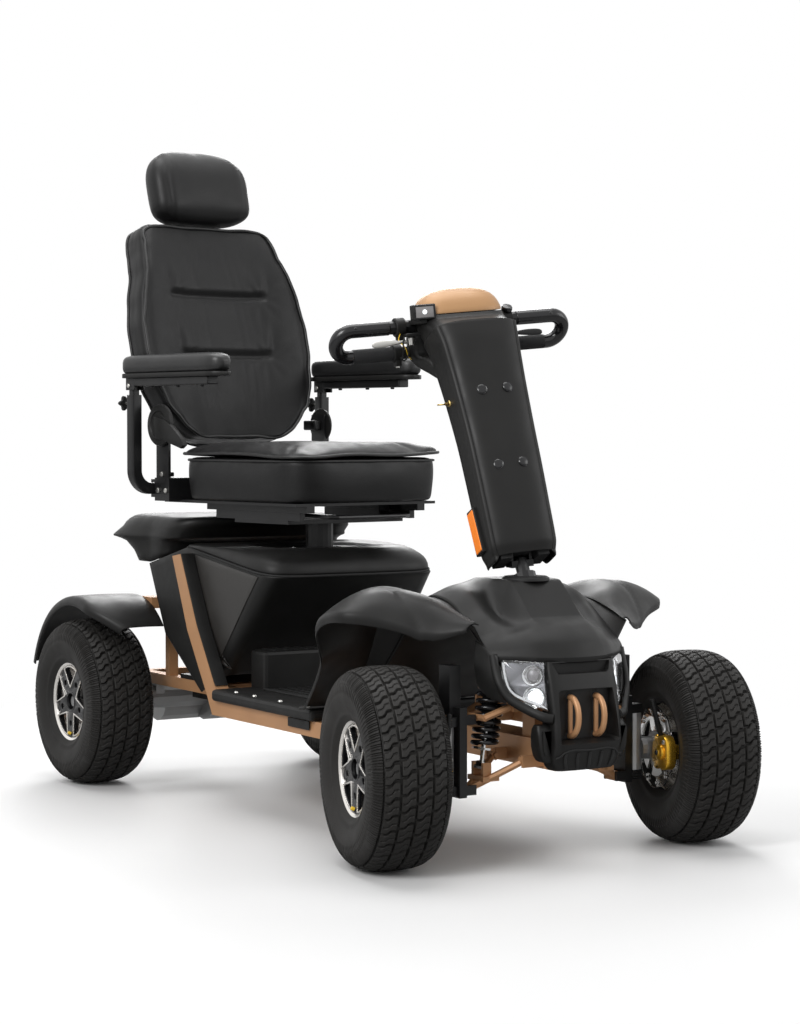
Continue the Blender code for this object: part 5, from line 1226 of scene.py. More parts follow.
def lid_outline(inset, rise, highest, count=RING_POINTS):
    """A line round the lid that follows its slope up to a ceiling, which it meets softly."""
    front, rear = SEAM_FRONT[0] - 0.004 + inset, 0.425 - inset
    slope = (SEAM_REAR[1] - SEAM_FRONT[1]) / (SEAM_REAR[0] - SEAM_FRONT[0])
    points = []
    for p in resampled(oval((0, (front + rear) / 2, 0), 1.0, (rear - front) / 2, 7, 360), count):
        half = 0.2105 + (p.y - front) * 0.05 - inset
        height = SEAM_FRONT[1] + (p.y - SEAM_FRONT[0]) * slope + rise
        bend = highest - 0.006
        if height > bend:
            height = bend + 0.006 * (1 - math.exp(-(height - bend) / 0.006))
        points.append(Vector((p.x * min(half, BODY_HALF - inset), p.y, height)))
    return points


def lid():
    """The lid with rounded shoulders, a dished tray and the hole for the seat post."""
    shapes = [(0.0, 0.0005, LID_TOP - 0.0045), (0.0, 0.006, LID_TOP - 0.003),
              (0.0008, 0.012, LID_TOP - 0.0015), (0.003, 0.018, LID_TOP - 0.0008),
              (0.0065, 0.0235, LID_TOP - 0.0003), (0.012, 0.0285, LID_TOP), (0.02, 0.0335, LID_TOP),
              (0.03, 0.0385, LID_TOP), (0.044, 0.045, LID_TOP), (0.06, 0.052, LID_TOP)]
    rings = [lid_outline(*shape) for shape in shapes]
    for half_x, half_y, y, z, power in ((0.134, 0.105, 0.215, LID_TOP, 5),
                                        (0.131, 0.102, 0.215, LID_TOP - 0.001, 5),
                                        (0.126, 0.097, 0.213, LID_TOP - 0.0062, 5),
                                        (0.122, 0.093, 0.212, LID_TOP - 0.0078, 5),
                                        (0.1, 0.076, 0.203, LID_TOP - 0.008, 3.5),
                                        (0.07, 0.068, 0.195, LID_TOP - 0.008, 2),
                                        (0.0625, 0.0625, 0.195, LID_TOP - 0.008, 2),
                                        (0.0612, 0.0612, 0.195, LID_TOP - 0.01, 2)):
        rings.append(resampled(oval((0, y, z), half_x, half_y, power, 360), RING_POINTS))
    made = piece("body_lid_skin", grid(rings, wrap=True), BLACK, "chassis", smooth=45.0)
    modify(made, "SOLIDIFY", thickness=0.003, offset=-1.0)
    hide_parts("body_lid")
    rim_profile = [(0.0585, 0.0), (0.0585, 0.0022), (0.06, 0.0034), (0.0655, 0.0034), (0.0672, 0.002),
                   (0.0676, 0.0), (0.0585, 0.0)]
    lathe("post_hole_rim", rim_profile, (0, POST_Y, LID_TOP - 0.0082), (0, 0, 1), GLOSS, "chassis", 72)
    # A near-black pipe along the lid's edge is painted shade for the seam gap, and hides the glint there.
    seam = [tuple(p + Vector((0, 0, -0.0012))) for p in lid_outline(-0.0006, 0.0, LID_TOP - 0.004, 96)]
    pipe("lid_seam_shade", seam, 0.0026, SHADE_BLACK, "chassis", cyclic=True, sides=2)


def rail_trim(side):
    """The black edge strip that leaves only the outer face of the climbing rail bare."""
    outline = [(0.185, 0.256), (0.2693, 0.379), (0.3455, 0.529), (0.3505, 0.5275), (0.2745, 0.378),
               (0.1902, 0.256)]
    flat_plate(f"rail_trim_{LETTER[side]}", [outline], 0.03, facing_side(side * 0.244), BLACK, "chassis")


def shroud_top(y):
    """The height of the edge that the deck sits on."""
    (near, high), (far, low) = SEAM_REAR, SHROUD_REAR
    return high + (low - high) * min(1.0, (y - near) / (far - near))


def deck():
    """The deck behind the seat: a soft-edged cap with a lip that flares over the rear wheels."""
    levels = [(0.5, 0.227, 0.088, 0.0), (0.525, 0.228, 0.093, 0.012), (0.545, 0.229, 0.1, 0.03),
              (0.552, 0.2305, 0.118, 0.042), (0.556, 0.233, 0.135, 0.05), (0.559, 0.2332, 0.1378, 0.05),
              (0.564, 0.2318, 0.14, 0.043), (0.578, 0.23, 0.15, 0.028), (0.587, 0.2272, 0.156, 0.019),
              (0.595, 0.2225, 0.159, 0.01), (0.601, 0.215, 0.157, 0.004), (0.604, 0.206, 0.15, 0.0),
              (DECK_TOP, 0.193, 0.14, 0.0), (DECK_TOP + 0.0006, 0.15, 0.106, 0.0),
              (DECK_TOP + 0.001, 0.07, 0.05, 0.0)]
    rings = []
    for z, half_width, half_depth, flare in levels:
        shift = 0.012 * max(0.0, min(1.0, (0.572 - z) / 0.008))
        points = []
        for p in resampled(oval((0, DECK_Y + shift, z), half_width, half_depth, 6, 360), RING_POINTS):
            grown = 1 + flare * max(0.0, p.y - DECK_Y) / half_depth / half_width
            points.append(Vector((p.x * grown, p.y, max(z, shroud_top(p.y) + 0.0018))))
        rings.append(points)
    shape = domed(rings, Vector((0, DECK_Y, DECK_TOP + 0.0011)))
    made = piece("rear_deck_skin", shape, BLACK, "chassis", 45.0)
    modify(made, "SOLIDIFY", thickness=0.0035, offset=-1.0)
    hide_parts("rear_deck")


def rear_fender(side):
    """The arch over a rear tyre, with a rolled lip and a facet at its front outer corner."""
    letter = LETTER[side]
    outer, inner, radius = 0.385, 0.23, 0.235
    rows = []
    for i in range(61):
        share = i / 60
        angle = math.radians(18 + 113 * share)
        cut = max(0.0, (share - 0.8) / 0.2) ** 1.4
        edge = outer - 0.055 * cut
        profile = [(radius - 0.0185, edge - 0.0005), (radius - 0.0145, edge),
                   (radius - 0.0085, edge - 0.0006), (radius - 0.004, edge - 0.003),
                   (radius - 0.0012, edge - 0.008), (radius, edge - 0.016)]
        profile += [(radius + 0.0012 * math.sin(math.pi * k / 8),
                     edge - 0.016 + (inner - edge + 0.016) * k / 8) for k in range(1, 9)]
        drop = 0.006 * cut
        rows.append([(side * x, REAR_Y + (r - drop) * math.cos(angle),
                      WHEEL_RADIUS + (r - drop) * math.sin(angle)) for r, x in profile])
    made = thick_sheet(f"rear_fender_skin_{letter}", rows, 0.003, BLACK, "chassis", offset=-side)
    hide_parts(f"rear_fender_{letter}")


FENDER_STATIONS = [
    ((0.165, -0.677, 0.44), (0.185, -0.672, 0.436), 0.004),
    ((0.17, -0.63, 0.455), (0.235, -0.63, 0.43), 0.014),
    ((0.172, -0.57, 0.47), (0.3, -0.58, 0.451), 0.026),
    ((0.174, -0.507, 0.475), (0.362, -0.535, 0.462), 0.032),
    ((0.178, -0.45, 0.485), (0.365, -0.47, 0.455), 0.026),
    ((0.19, -0.4, 0.46), (0.355, -0.42, 0.43), 0.02),
    ((0.178, -0.33, 0.37), (0.33, -0.395, 0.364), 0.01),
    ((0.172, -0.254, 0.259), (0.285, -0.254, 0.259), 0.0),
    ((0.172, -0.228, 0.2533), (0.283, -0.228, 0.2533), 0.0),
]


def front_fender(side):
    """A wing over a front tyre with a soft crest, a groove behind it and a rolled rim."""
    letter = LETTER[side]
    rows = []
    for inner, outer, rise in FENDER_STATIONS:
        row = []
        for t in (0.0, 0.1, 0.22, 0.35, 0.48, 0.6, 0.72, 0.84, 0.93, 1.0):
            p = Vector(inner).lerp(Vector(outer), t)
            p.z += rise * 4 * t * (1 - t)
            row.append((side * p.x, p.y, p.z))
        row.append((side * (outer[0] + 0.0022), outer[1], outer[2] - min(0.004, rise * 0.5 + 0.001)))
        row.append((side * (outer[0] + 0.0026), outer[1], outer[2] - min(0.01, rise * 0.7 + 0.002)))
        row.append((side * (outer[0] + 0.001), outer[1], outer[2] - min(0.018, rise + 0.003)))
        rows.append(row)
    fine = smooth_sheet(rows, 8, 3)
    for row in fine:
        for p in row:
            groove = crease(abs(p.x) - (0.262 + 0.1 * (p.y + 0.55)), 0.006)
            fade = step_down(abs(p.y + 0.56) - 0.055, 0.03)
            p.z -= 0.0042 * groove * fade
    made = thick_sheet(f"front_fender_skin_{letter}", fine, 0.003, BLACK, "chassis", offset=-side,
                       smooth=50.0)
    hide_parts(f"front_fender_{letter}")


SHIELD_EDGE = [(-0.676, 0.399), (-0.63, 0.432), (-0.57, 0.469), (-0.507, 0.481), (-0.45, 0.466),
               (-0.4, 0.404), (-0.33, 0.334), (-0.254, 0.2568), (-0.228, 0.2516)]


def shield_side(side):
    """The panel that closes the leg shield to the fender's inner edge, just under both."""
    letter = LETTER[side]
    rows = []
    for (y, z), (inner, _, _) in zip(SHIELD_EDGE, FENDER_STATIONS):
        low, high = Vector((0.151, y, z)), Vector((inner[0] + 0.008, inner[1], inner[2] - 0.0026))
        rows.append([(side * p.x, p.y, p.z) for p in (low, low.lerp(high, 0.35), low.lerp(high, 0.7), high)])
    thick_sheet(f"shield_side_{letter}", smooth_sheet(rows, 8, 2), 0.0018, BLACK, "chassis", offset=-side,
                smooth=50.0)


def smooth_nodes():
    """A node modifier that only sets smooth shading, for the frame's own solids."""
    tree = bpy.data.node_groups.new("smooth_faces", "GeometryNodeTree")
    tree.interface.new_socket("Geometry", in_out="INPUT", socket_type="NodeSocketGeometry")
    tree.interface.new_socket("Geometry", in_out="OUTPUT", socket_type="NodeSocketGeometry")
    first = tree.nodes.new("NodeGroupInput")
    shade = tree.nodes.new("GeometryNodeSetShadeSmooth")
    last = tree.nodes.new("NodeGroupOutput")
    tree.links.new(first.outputs[0], shade.inputs["Geometry"])
    tree.links.new(shade.outputs[0], last.inputs[0])
    return tree


SMOOTH = smooth_nodes()


def dress(node, skin, width, angle=38.0):
    """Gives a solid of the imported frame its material, small rounded edges and smooth curves."""
    obj = NODES[node]
    obj.data.materials.clear()
    obj.data.materials.append(skin)
    if width:
        modify(obj, "BEVEL", width=width, segments=2, limit_method="ANGLE", angle_limit=math.radians(angle),
               use_clamp_overlap=True)
    shade = obj.modifiers.new("smooth", "NODES")
    shade.node_group = SMOOTH
    modify(obj, "EDGE_SPLIT", split_angle=math.radians(angle), use_edge_sharp=False)


def floor():
    """The mat's ribs, its frame and the bolts along the platform's sides."""
    dress("floor_pan", BLACK, 0.0014)
    for k in range(17):
        x = -0.168 + 0.021 * k
        slab(f"mat_rib_{k}", (x - 0.0055, -0.222, FLOOR_TOP), (x + 0.0055, 0.104, 0.2524), RUBBER,
             "chassis", 0.0011)
    for k in range(13):
        x = -0.15 + 0.025 * k
        slab(f"step_rib_{k}", (x - 0.0045, 0.12, 0.3298), (x + 0.0045, 0.172, 0.3318), RUBBER, "chassis",
             0.0009)
    head = [(0, 0.003), (0.003, 0.003), (0.0044, 0.0014), (0.0047, 0.0), (0, 0.0)]
    for side, letter in SIDES:
        edge, flap = side * 0.184, side * 0.264
        slab(f"mat_edge_{letter}", (edge - 0.0045, -0.224, FLOOR_TOP), (edge + 0.0045, 0.106, 0.254),
             RUBBER, "chassis", 0.0015)
        for k, y in enumerate((-0.205, -0.095, 0.015, 0.095)):
            lathe(f"floor_bolt_{letter}_{k}", head, (side * 0.257, y, 0.2499), (0, 0, 1), ZINC, "chassis", 20)
        slab(f"mud_flap_{letter}", (flap - 0.0012, -0.226, 0.206), (flap + 0.0012, -0.14, 0.224), RUBBER,
             "chassis", 0.0008)


def charger_panel():
    """The charging socket and its amber lamp on the sloping front wall."""
    lean = math.atan2(0.489 - 0.27, 0.24 - 0.044)
    out = Vector((0, -math.sin(lean), -math.cos(lean)))
    wall = Matrix(((1, 0, 0, 0.1), (0, -math.cos(lean), out.y, 0.0835), (0, math.sin(lean), out.z, 0.447),
                   (0, 0, 0, 1)))
    hollow = rectangle(0.0295, 0.0165)
    flat_plate("socket_frame", [rectangle(0.034, 0.021), hollow], 0.004, wall, BLACK, "chassis", 0.0012)
    well = wall @ Matrix.Translation((0, 0, -0.0005))
    flat_plate("socket_well", [hollow], 0.0016, well, GLOSS, "chassis", 0.0003)
    ring = [(0.0065, 0.0), (0.0065, 0.004), (0.0095, 0.004), (0.01, 0.0)]
    lathe("socket_ring", ring, wall @ Vector((-0.012, 0.0, 0.0)), out, GLOSS, "chassis", 32)
    lamp = wall @ Matrix.Translation((0.014, 0.004, 0.001))
    flat_plate("socket_lamp", [rectangle(0.004, 0.0024)], 0.0022, lamp, AMBER_LED, "chassis", 0.0004)


def body():
    for side in (1, -1):
        rail_trim(side)
    shroud()
    lid()
    deck()
    for side in (1, -1):
        rear_fender(side)
        front_fender(side)
        shield_side(side)
    floor()
    charger_panel()


# Front end


def carve(obj, cutters):
    """Cuts closed pieces out of a closed piece and removes the cutters."""
    for cutter in cutters:
        cut = modify(obj, "BOOLEAN", operation="DIFFERENCE", object=cutter, solver="EXACT")
        cut.name = "cut_" + cutter.name
    bpy.context.view_layer.update()
    made = bpy.data.meshes.new_from_object(obj.evaluated_get(bpy.context.evaluated_depsgraph_get()))
    obj.modifiers.clear()
    obj.data = made
    for cutter in cutters:
        bpy.data.objects.remove(cutter)
    shade(made, 35)


def cutter_from(name, shape):
    return new_object(name, mesh_of(name, shape))


COWL_FOOT = [(-0.45, 0.468), (-0.395, 0.4), (-0.325, 0.33), (-0.254, 0.259), (-0.228, 0.2533)]
COWL_COLUMNS = [
    (0.0, [(-0.775, 0.386), (-0.758, 0.4135), (-0.726, 0.437), (-0.697, 0.449), (-0.69, 0.453),
           (-0.629, 0.5115), (-0.618, 0.5165), (-0.56, 0.518), (-0.49, 0.513)]),
    (0.056, [(-0.765, 0.386), (-0.749, 0.412), (-0.72, 0.435), (-0.697, 0.448), (-0.69, 0.4525),
           (-0.629, 0.511), (-0.618, 0.516), (-0.56, 0.517), (-0.49, 0.512)]),
    (0.084, [(-0.75, 0.387), (-0.737, 0.408), (-0.713, 0.4265), (-0.69, 0.435), (-0.681, 0.439),
           (-0.632, 0.462), (-0.616, 0.472), (-0.57, 0.498), (-0.5, 0.507)]),
    (0.122, [(-0.72, 0.388), (-0.713, 0.398), (-0.698, 0.411), (-0.68, 0.4215), (-0.668, 0.429),
           (-0.632, 0.456), (-0.613, 0.468), (-0.573, 0.495), (-0.505, 0.5)]),
    (0.155, [(-0.689, 0.387), (-0.685, 0.394), (-0.676, 0.402), (-0.664, 0.41), (-0.655, 0.416),
           (-0.634, 0.431), (-0.617, 0.442), (-0.57, 0.472), (-0.51, 0.484)]),
]


def cowl():
    """The hood with its raised platform between two ridges, hollows beside it, and the leg shield."""
    lines = []
    for half, places in COWL_COLUMNS:
        column = [Vector((half, y, z)) for y, z in places + COWL_FOOT]
        lines.append(smooth_run(column, 7))
    rows = []
    for group in zip(*lines):
        outer = smooth_run(group[1:], 6)
        ridge, middle = group[1], group[0]
        share = max(0.0, min(1.0, (ridge.y + 0.705) / 0.035)) * step_down(ridge.y + 0.52, 0.05)
        inner = []
        for k in range(8):
            t = k / 8
            p = middle.lerp(ridge, t)
            p.y = middle.y + (ridge.y - middle.y) * t * t
            p.z -= 0.001 * share * (1 - t * t)
            p.z += 0.0022 * share * crease(t - 1.0, 0.07)
            inner.append(p)
        row = []
        for p in inner + outer:
            hollow = crease(abs(p.x) - 0.086, 0.018) * crease(p.y + 0.625, 0.042)
            row.append(Vector((p.x, p.y, p.z - 0.009 * hollow)))
        rows.append([Vector((-p.x, p.y, p.z)) for p in reversed(row[1:])] + row)
    first = rows[0]
    brim = [[Vector((p.x, p.y + ahead - 0.0015, p.z - down)) for p in first]
            for ahead, down in ((0.007, 0.0125), (0.0058, 0.014), (0.002, 0.0118), (0.0002, 0.0075),
                                (0.0, 0.003))]
    verts, faces = grid(brim + rows)
    kept = []
    for face in faces:
        centre = sum((Vector(verts[i]) for i in face), Vector()) / len(face)
        off = centre - STEM_FOOT
        if (off - STEM_AXIS * off.dot(STEM_AXIS)).length > 0.031 or centre.z < 0.49:
            kept.append(face)
    made = piece("front_cowl_skin", (verts, kept), BLACK, "chassis", 24.0)
    modify(made, "SOLIDIFY", thickness=0.003, offset=-1.0)
    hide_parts("front_cowl")
    collar = [(0.0235, 0.0), (0.0235, 0.0035), (0.029, 0.006), (0.04, 0.005), (0.045, 0.002),
              (0.046, -0.003), (0.0235, -0.003)]
    lathe("stem_collar", collar, (0, -0.5905, 0.5168), (0, 0, 1), RUBBER, "chassis", 48)


NOSE_STATIONS = [(0.178, -0.785, 0.062), (0.186, -0.789, 0.07), (0.2, -0.7915, 0.075),
                 (0.23, -0.8005, 0.075), (0.262, -0.7965, 0.0752), (0.295, -0.79, 0.0752),
                 (0.328, -0.783, 0.075), (0.356, -0.7745, 0.0745), (0.376, -0.768, 0.073)]


def upright_frame(y, low, high):
    """Four corners of a frame across X: low and high are its half width and height there."""
    return [Vector((x, y, z)) for x, z in ((-low[0], low[1]), low, high, (-high[0], high[1]))]


def nose_front(x, z):
    """How far forward the nose's front face stands at a place."""
    for (z0, y0, _), (z1, y1, _) in zip(NOSE_STATIONS, NOSE_STATIONS[1:]):
        if z <= z1:
            break
    t = max(0.0, min(1.0, (z - z0) / (z1 - z0)))
    return y0 + (y1 - y0) * t - 0.003 * (1 - (x / 0.075) ** 2)


def nose():
    """The upright nose: recess with a bevelled frame, slot under the hood, pads, and a skid with near-black
    lines of painted shade for its grooves and seam.
    """
    rings = []
    for z, y, half in NOSE_STATIONS:
        middle = (y - 0.745) / 2
        ring_points = resampled(oval((0, middle, z), half, (-0.745 - y) / 2, 7.5, 360), 120)
        shaped = []
        for p in ring_points:
            front = max(0.0, (middle - p.y) / (middle - y))
            p.y -= 0.003 * front * (1 - (p.x / half) ** 2)
            shaped.append(p)
        rings.append(shaped)
    made = piece("nose_shell", capped(rings), BLACK, "chassis", smooth=35.0)
    recess = []
    for y, grow in ((-0.86, 0.02), (-0.7925, 0.0035), (-0.7845, 0.0), (-0.772, -0.001)):
        low, high = (0.06 + grow, 0.2335 - grow), (0.061 + grow, 0.325 + grow)
        recess.append(resampled(upright_frame(y, low, high), 48))
    slot = []
    for y, grow in ((-0.86, 0.006), (-0.7735, 0.0), (-0.764, -0.0008)):
        slot.append(resampled(upright_frame(y, (0.056, 0.3535 - grow), (0.066 + grow, 0.3745 + grow)), 40))
    carve(made, [cutter_from("recess_cutter", capped(recess)), cutter_from("slot_cutter", capped(slot))])
    rounded(made, 0.0012, 2, 32.0)
    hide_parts("nose_grille")
    for side, letter in SIDES:
        rings = []
        for z, x_in, x_out, near in ((0.194, 0.068, 0.084, -0.778), (0.197, 0.067, 0.09, -0.78),
                                     (0.206, 0.067, 0.095, -0.782), (0.222, 0.067, 0.0985, -0.783),
                                     (0.242, 0.067, 0.1, -0.7815), (0.255, 0.067, 0.1, -0.778),
                                     (0.263, 0.068, 0.098, -0.773)):
            middle_x, half_x = (x_in + x_out) / 2, (x_out - x_in) / 2
            points = resampled(oval((0, -0.7655, z), half_x, -0.7655 - near, 5, 200), 56)
            rings.append([Vector((side * (p.x + middle_x), p.y + 0.2 * max(0.0, p.x), p.z)) for p in points])
        rounded(piece(f"nose_pad_{letter}", capped(rings), BLACK, "chassis"), 0.0012, 2, 40.0)
        inset = [(0.0765, 0.208), (0.089, 0.208), (0.093, 0.216), (0.095, 0.248), (0.092, 0.2545),
                 (0.0765, 0.2545)]
        plane = Matrix(((side, 0, 0, 0), (0, 0, side, -0.7822), (0, 1, 0, 0), (0, 0, 0, 1)))
        centre = Vector((0.086, 0.231))
        inner = [tuple(centre + (Vector(p) - centre) * 0.9) for p in inset]
        flat_plate(f"nose_pad_frame_{letter}", [inset, inner], 0.0024, plane, BLACK, "chassis", 0.0007)
    # The skid's five grooves and its seam are near-black pipes: painted shade, not cut grooves.
    for k in range(-2, 3):
        points = [(k * s, nose_front(k * s, z) - 0.0008, z)
                  for s, z in ((0.0262, 0.211), (0.0268, 0.205), (0.0266, 0.198), (0.0256, 0.19),
                               (0.024, 0.182))]
        pipe(f"skid_groove_shade_{k + 2}", points, 0.003, SHADE_BLACK, "chassis", sides=3)
    places = [(-0.0735, 0.203), (-0.066, 0.205), (-0.054, 0.2135), (0.0, 0.215), (0.054, 0.2135),
              (0.066, 0.205), (0.0735, 0.203)]
    line = [(x, nose_front(x, z) - 0.0004, z) for x, z in places]
    pipe("skid_seam_shade", line, 0.0018, SHADE_BLACK, "chassis", sides=3)


def tow_rings():
    """Two copper rings that stand in the recess, each with near-black marks of painted shade for its holes
    and the slot behind it.
    """
    back, middle = -0.772, 0.2755
    hole = [(0.0, 0.0008), (0.0082, 0.0008), (0.0094, 0.0), (0.0094, -0.0006), (0.0, -0.0006)]
    for side, letter in SIDES:
        x = side * 0.029
        points = []
        for i in range(19):
            angle = math.pi * i / 18
            points.append((x, back - 0.0015 - 0.0285 * math.sin(angle) ** 0.85,
                           middle + 0.0355 * math.cos(angle)))
        straight = [(x, back - 0.004, z) for z in (0.245, 0.26, middle, 0.291, 0.306)]
        ring = pipe(f"tow_ring_{letter}", points, 0.0056, COPPER, "chassis", sides=5)
        pipe(f"tow_ring_back_{letter}", straight, 0.0044, COPPER, "chassis", sides=4)
        if side > 0:
            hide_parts("grille_hooks")
        # The holes and the slot are flat near-black marks, painted shade where the openings are.
        for k, z in enumerate((0.2392, 0.3118)):
            lathe(f"ring_hole_shade_{letter}_{k}", hole, (x, back, z), (0, -1, 0), SHADE_BLACK, "chassis", 24)
        flat_plate(f"ring_slot_{letter}", [rectangle(0.0065, 0.026)], 0.0008,
                   facing_front(x, back - 0.0002, middle), SHADE_BLACK, "chassis", 0.0002)


LAMP_FACE = [(0.0765, -0.762, 0.3765), (0.11, -0.735, 0.3805), (0.1355, -0.704, 0.3825),
             (0.136, -0.7175, 0.331), (0.12, -0.73, 0.3085), (0.0765, -0.7785, 0.286)]


def headlight(side):
    """A lamp with a chrome bowl for each of its two lights behind a clear, domed lens."""
    letter = LETTER[side]
    face = [Vector((side * x, y, z)) for x, y, z in LAMP_FACE]
    origin = Vector((side * 0.106, -0.738, 0.337))
    right = (face[2] - face[0]).normalized() * side
    out = right.cross((face[0] - face[5]).normalized()).normalized()
    up = out.cross(right).normalized()
    if out.y > 0:
        out = -out
    place = Matrix((*zip(right, up, out, origin), (0, 0, 0, 1)))
    flat = [((p - origin).dot(right), (p - origin).dot(up)) for p in face]
    lamps = []
    for world, radius in (((0.0965, -0.75, 0.352), 0.017), ((0.099, -0.7585, 0.313), 0.0185)):
        off = Vector((side * world[0], world[1], world[2])) - origin
        lamps.append((off.dot(right), off.dot(up), radius))
    centre = Vector((sum(p[0] for p in flat) / 6, sum(p[1] for p in flat) / 6))

    def scaled(size):
        return [tuple(centre + (Vector(p) - centre) * size) for p in flat]

    rows = []
    for size, rise in ((1.0, -0.01), (0.985, 0.001), (0.93, 0.0042), (0.8, 0.0065), (0.6, 0.008),
                       (0.35, 0.0088), (0.12, 0.009)):
        line = resampled([Vector((x, y, 0)) for x, y in scaled(size)], 72)
        rows.append([place @ Vector((p.x, p.y, rise)) for p in line])
    shape = domed(rows, place @ Vector((centre.x, centre.y, 0.0091)))
    lens = piece(f"headlight_lens_{letter}", shape, LENS, "chassis", 60.0)
    modify(lens, "SOLIDIFY", thickness=0.0012, offset=-1.0)
    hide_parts(f"headlight_{letter}")
    holes = [circle(radius * 0.98, 40, (x, y)) for x, y, radius in lamps]
    back = place @ Matrix.Translation((0, 0, -0.0075))
    flat_plate(f"headlight_reflector_{letter}", [scaled(0.97)] + holes, 0.002, back, SMOKE, "chassis", 0.0004)
    flat_plate(f"headlight_bucket_{letter}", [scaled(0.985)], 0.026,
               place @ Matrix.Translation((0, 0, -0.024)), GLOSS, "chassis", 0.001)
    for index, (x, y, radius) in enumerate(lamps):
        start = place @ Vector((x, y, -0.011))
        bowl = [(0.0, 0.0), (radius * 0.35, 0.0006), (radius * 0.62, 0.0022), (radius * 0.85, 0.005),
                (radius, 0.0092), (radius * 1.08, 0.0098), (radius * 1.1, 0.008)]
        lathe(f"headlight_bowl_{letter}_{index}", bowl, start, out, CHROME, "chassis", 36)
        dome = [(0.0, 0.007), (radius * 0.3, 0.0066), (radius * 0.52, 0.005), (radius * 0.6, 0.0025),
                (radius * 0.6, 0.0005), (0.0, 0.0005)]
        # The lower bulb is lit. The upper one carries only a painted faint glow.
        lathe(f"headlight_bulb_{letter}_{index}", dome, start, out, LIT if index else FAINT_GLOW_LED, "chassis", 32)
        for k in range(6):
            angle = math.tau * k / 6 + 0.3
            a, b = (place @ Vector((x + radius * reach * math.cos(angle),
                                    y + radius * reach * math.sin(angle), depth))
                    for reach, depth in ((0.62, -0.0078), (0.95, -0.003)))
            between(f"headlight_fin_{letter}_{index}_{k}", a, b, 0.0009, CHROME, "chassis", chamfer=0.0002,
                    steps=6)
    strip = []
    for p in smooth_run([place @ Vector((*p, -0.0035)) for p in scaled(0.93)[1:]], 8):
        inward = (place @ Vector((centre.x, centre.y, -0.006)) - p) * 0.16
        strip.append([p - inward * 0.25, p + out * 0.0016 + inward * 0.25, p + inward,
                      p + inward * 1.3 - out * 0.003])
    crescent = piece(f"headlight_crescent_{letter}", grid(strip), CHROME, "chassis", 60.0)
    modify(crescent, "SOLIDIFY", thickness=0.0008, offset=-1.0)
    bezel = [(0.074, -0.787, 0.275), (0.09, -0.78, 0.278), (0.112, -0.754, 0.292), (0.133, -0.731, 0.31),
             (0.143, -0.717, 0.333), (0.145, -0.705, 0.36), (0.145, -0.696, 0.388)]
    run = smooth_run([Vector((side * x, y, z)) for x, y, z in bezel], 8)
    rows = []
    for i, p in enumerate(run):
        before, after = run[max(0, i - 1)], run[min(len(run) - 1, i + 1)]
        along = (after - before).normalized()
        wide = along.cross(out).normalized()
        rows.append([p + wide * 0.0085 * math.cos(a) + out * 0.006 * math.sin(a)
                     for a in (math.tau * k / 20 for k in range(20))])
    piece(f"headlight_bezel_{letter}", capped(rows), BLACK, "chassis", smooth=60.0)
    cheek = [(0.133, -0.724, 0.3), (0.15, -0.69, 0.31), (0.155, -0.66, 0.33), (0.156, -0.656, 0.412),
             (0.15, -0.69, 0.395), (0.14, -0.706, 0.385)]
    lower, upper = ([Vector((side * x, y, z)) for x, y, z in line] for line in (cheek[:3], cheek[:2:-1]))
    middle = [a.lerp(b, 0.5) + Vector((side * 0.004, 0, 0)) for a, b in zip(lower, upper)]
    sheet = [smooth_run(line, 6) for line in (lower, middle, upper)]
    thick_sheet(f"headlight_cheek_{letter}", smooth_sheet(sheet, 5, 1), 0.003, BLACK, "chassis",
                offset=-side)


def caliper(side):
    """A gold floating caliper: a waisted body, its piston housing, a bridge, a pad and bolts."""
    letter = LETTER[side]
    body = f"knuckle_{letter}"
    outline = [(-0.0985, -0.016), (-0.093, -0.028), (-0.078, -0.0335), (-0.064, -0.03), (-0.056, -0.034),
               (-0.045, -0.033), (-0.036, -0.025), (-0.033, -0.008), (-0.035, 0.012), (-0.042, 0.026),
               (-0.052, 0.0325), (-0.06, 0.029), (-0.07, 0.032), (-0.086, 0.03), (-0.096, 0.02)]
    rounded_line = smooth_run([Vector((y, z, 0)) for y, z in outline], 4, True)
    plane = rest_turn(body) @ facing_side(side * 0.249, FRONT_Y, WHEEL_RADIUS)
    window_line = [(-0.08, -0.0085), (-0.064, -0.0105), (-0.063, 0.0105), (-0.08, 0.0085)]
    main = flat_plate(f"caliper_body_{letter}", [[(p.x, p.y) for p in rounded_line], window_line], 0.02,
                      plane, GOLD, body, 0.0022)
    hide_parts(f"caliper_{letter}")
    inboard = Vector((side * 0.24, FRONT_Y - 0.072, WHEEL_RADIUS))
    housing = [(0.0, 0.01), (0.008, 0.01), (0.009, 0.0088), (0.0125, 0.008), (0.015, 0.006), (0.0158, 0.0),
               (0.0158, -0.002)]
    lathe(f"caliper_piston_{letter}", housing, inboard, (-side, 0, 0), GOLD, body, 36)
    lathe(f"caliper_cap_{letter}", [(0.0, 0.0118), (0.0042, 0.0116), (0.0052, 0.01), (0.0052, 0.009)],
          inboard, (-side, 0, 0), GLOSS, body, 24)
    for name, x_in, x_out, front, rear, half in (("bridge", 0.2575, 0.273, -0.088, -0.0815, 0.0135),
                                                 ("pad", 0.2685, 0.2735, -0.088, -0.048, 0.0135)):
        low = (min(side * x_in, side * x_out), FRONT_Y + front, WHEEL_RADIUS - half)
        high = (max(side * x_in, side * x_out), FRONT_Y + rear, WHEEL_RADIUS + half)
        slab(f"caliper_{name}_{letter}", low, high, GOLD, body, 0.0016)
    for k, (y, z) in enumerate(((-0.047, -0.024), (-0.047, 0.0235), (-0.088, 0.0205))):
        start = Vector((side * 0.2395, FRONT_Y + y, WHEEL_RADIUS + z))
        between(f"caliper_bolt_{letter}_{k}", start, start - Vector((side * 0.0046, 0, 0)), 0.0046, ZINC,
                body, 0.0007, 6)


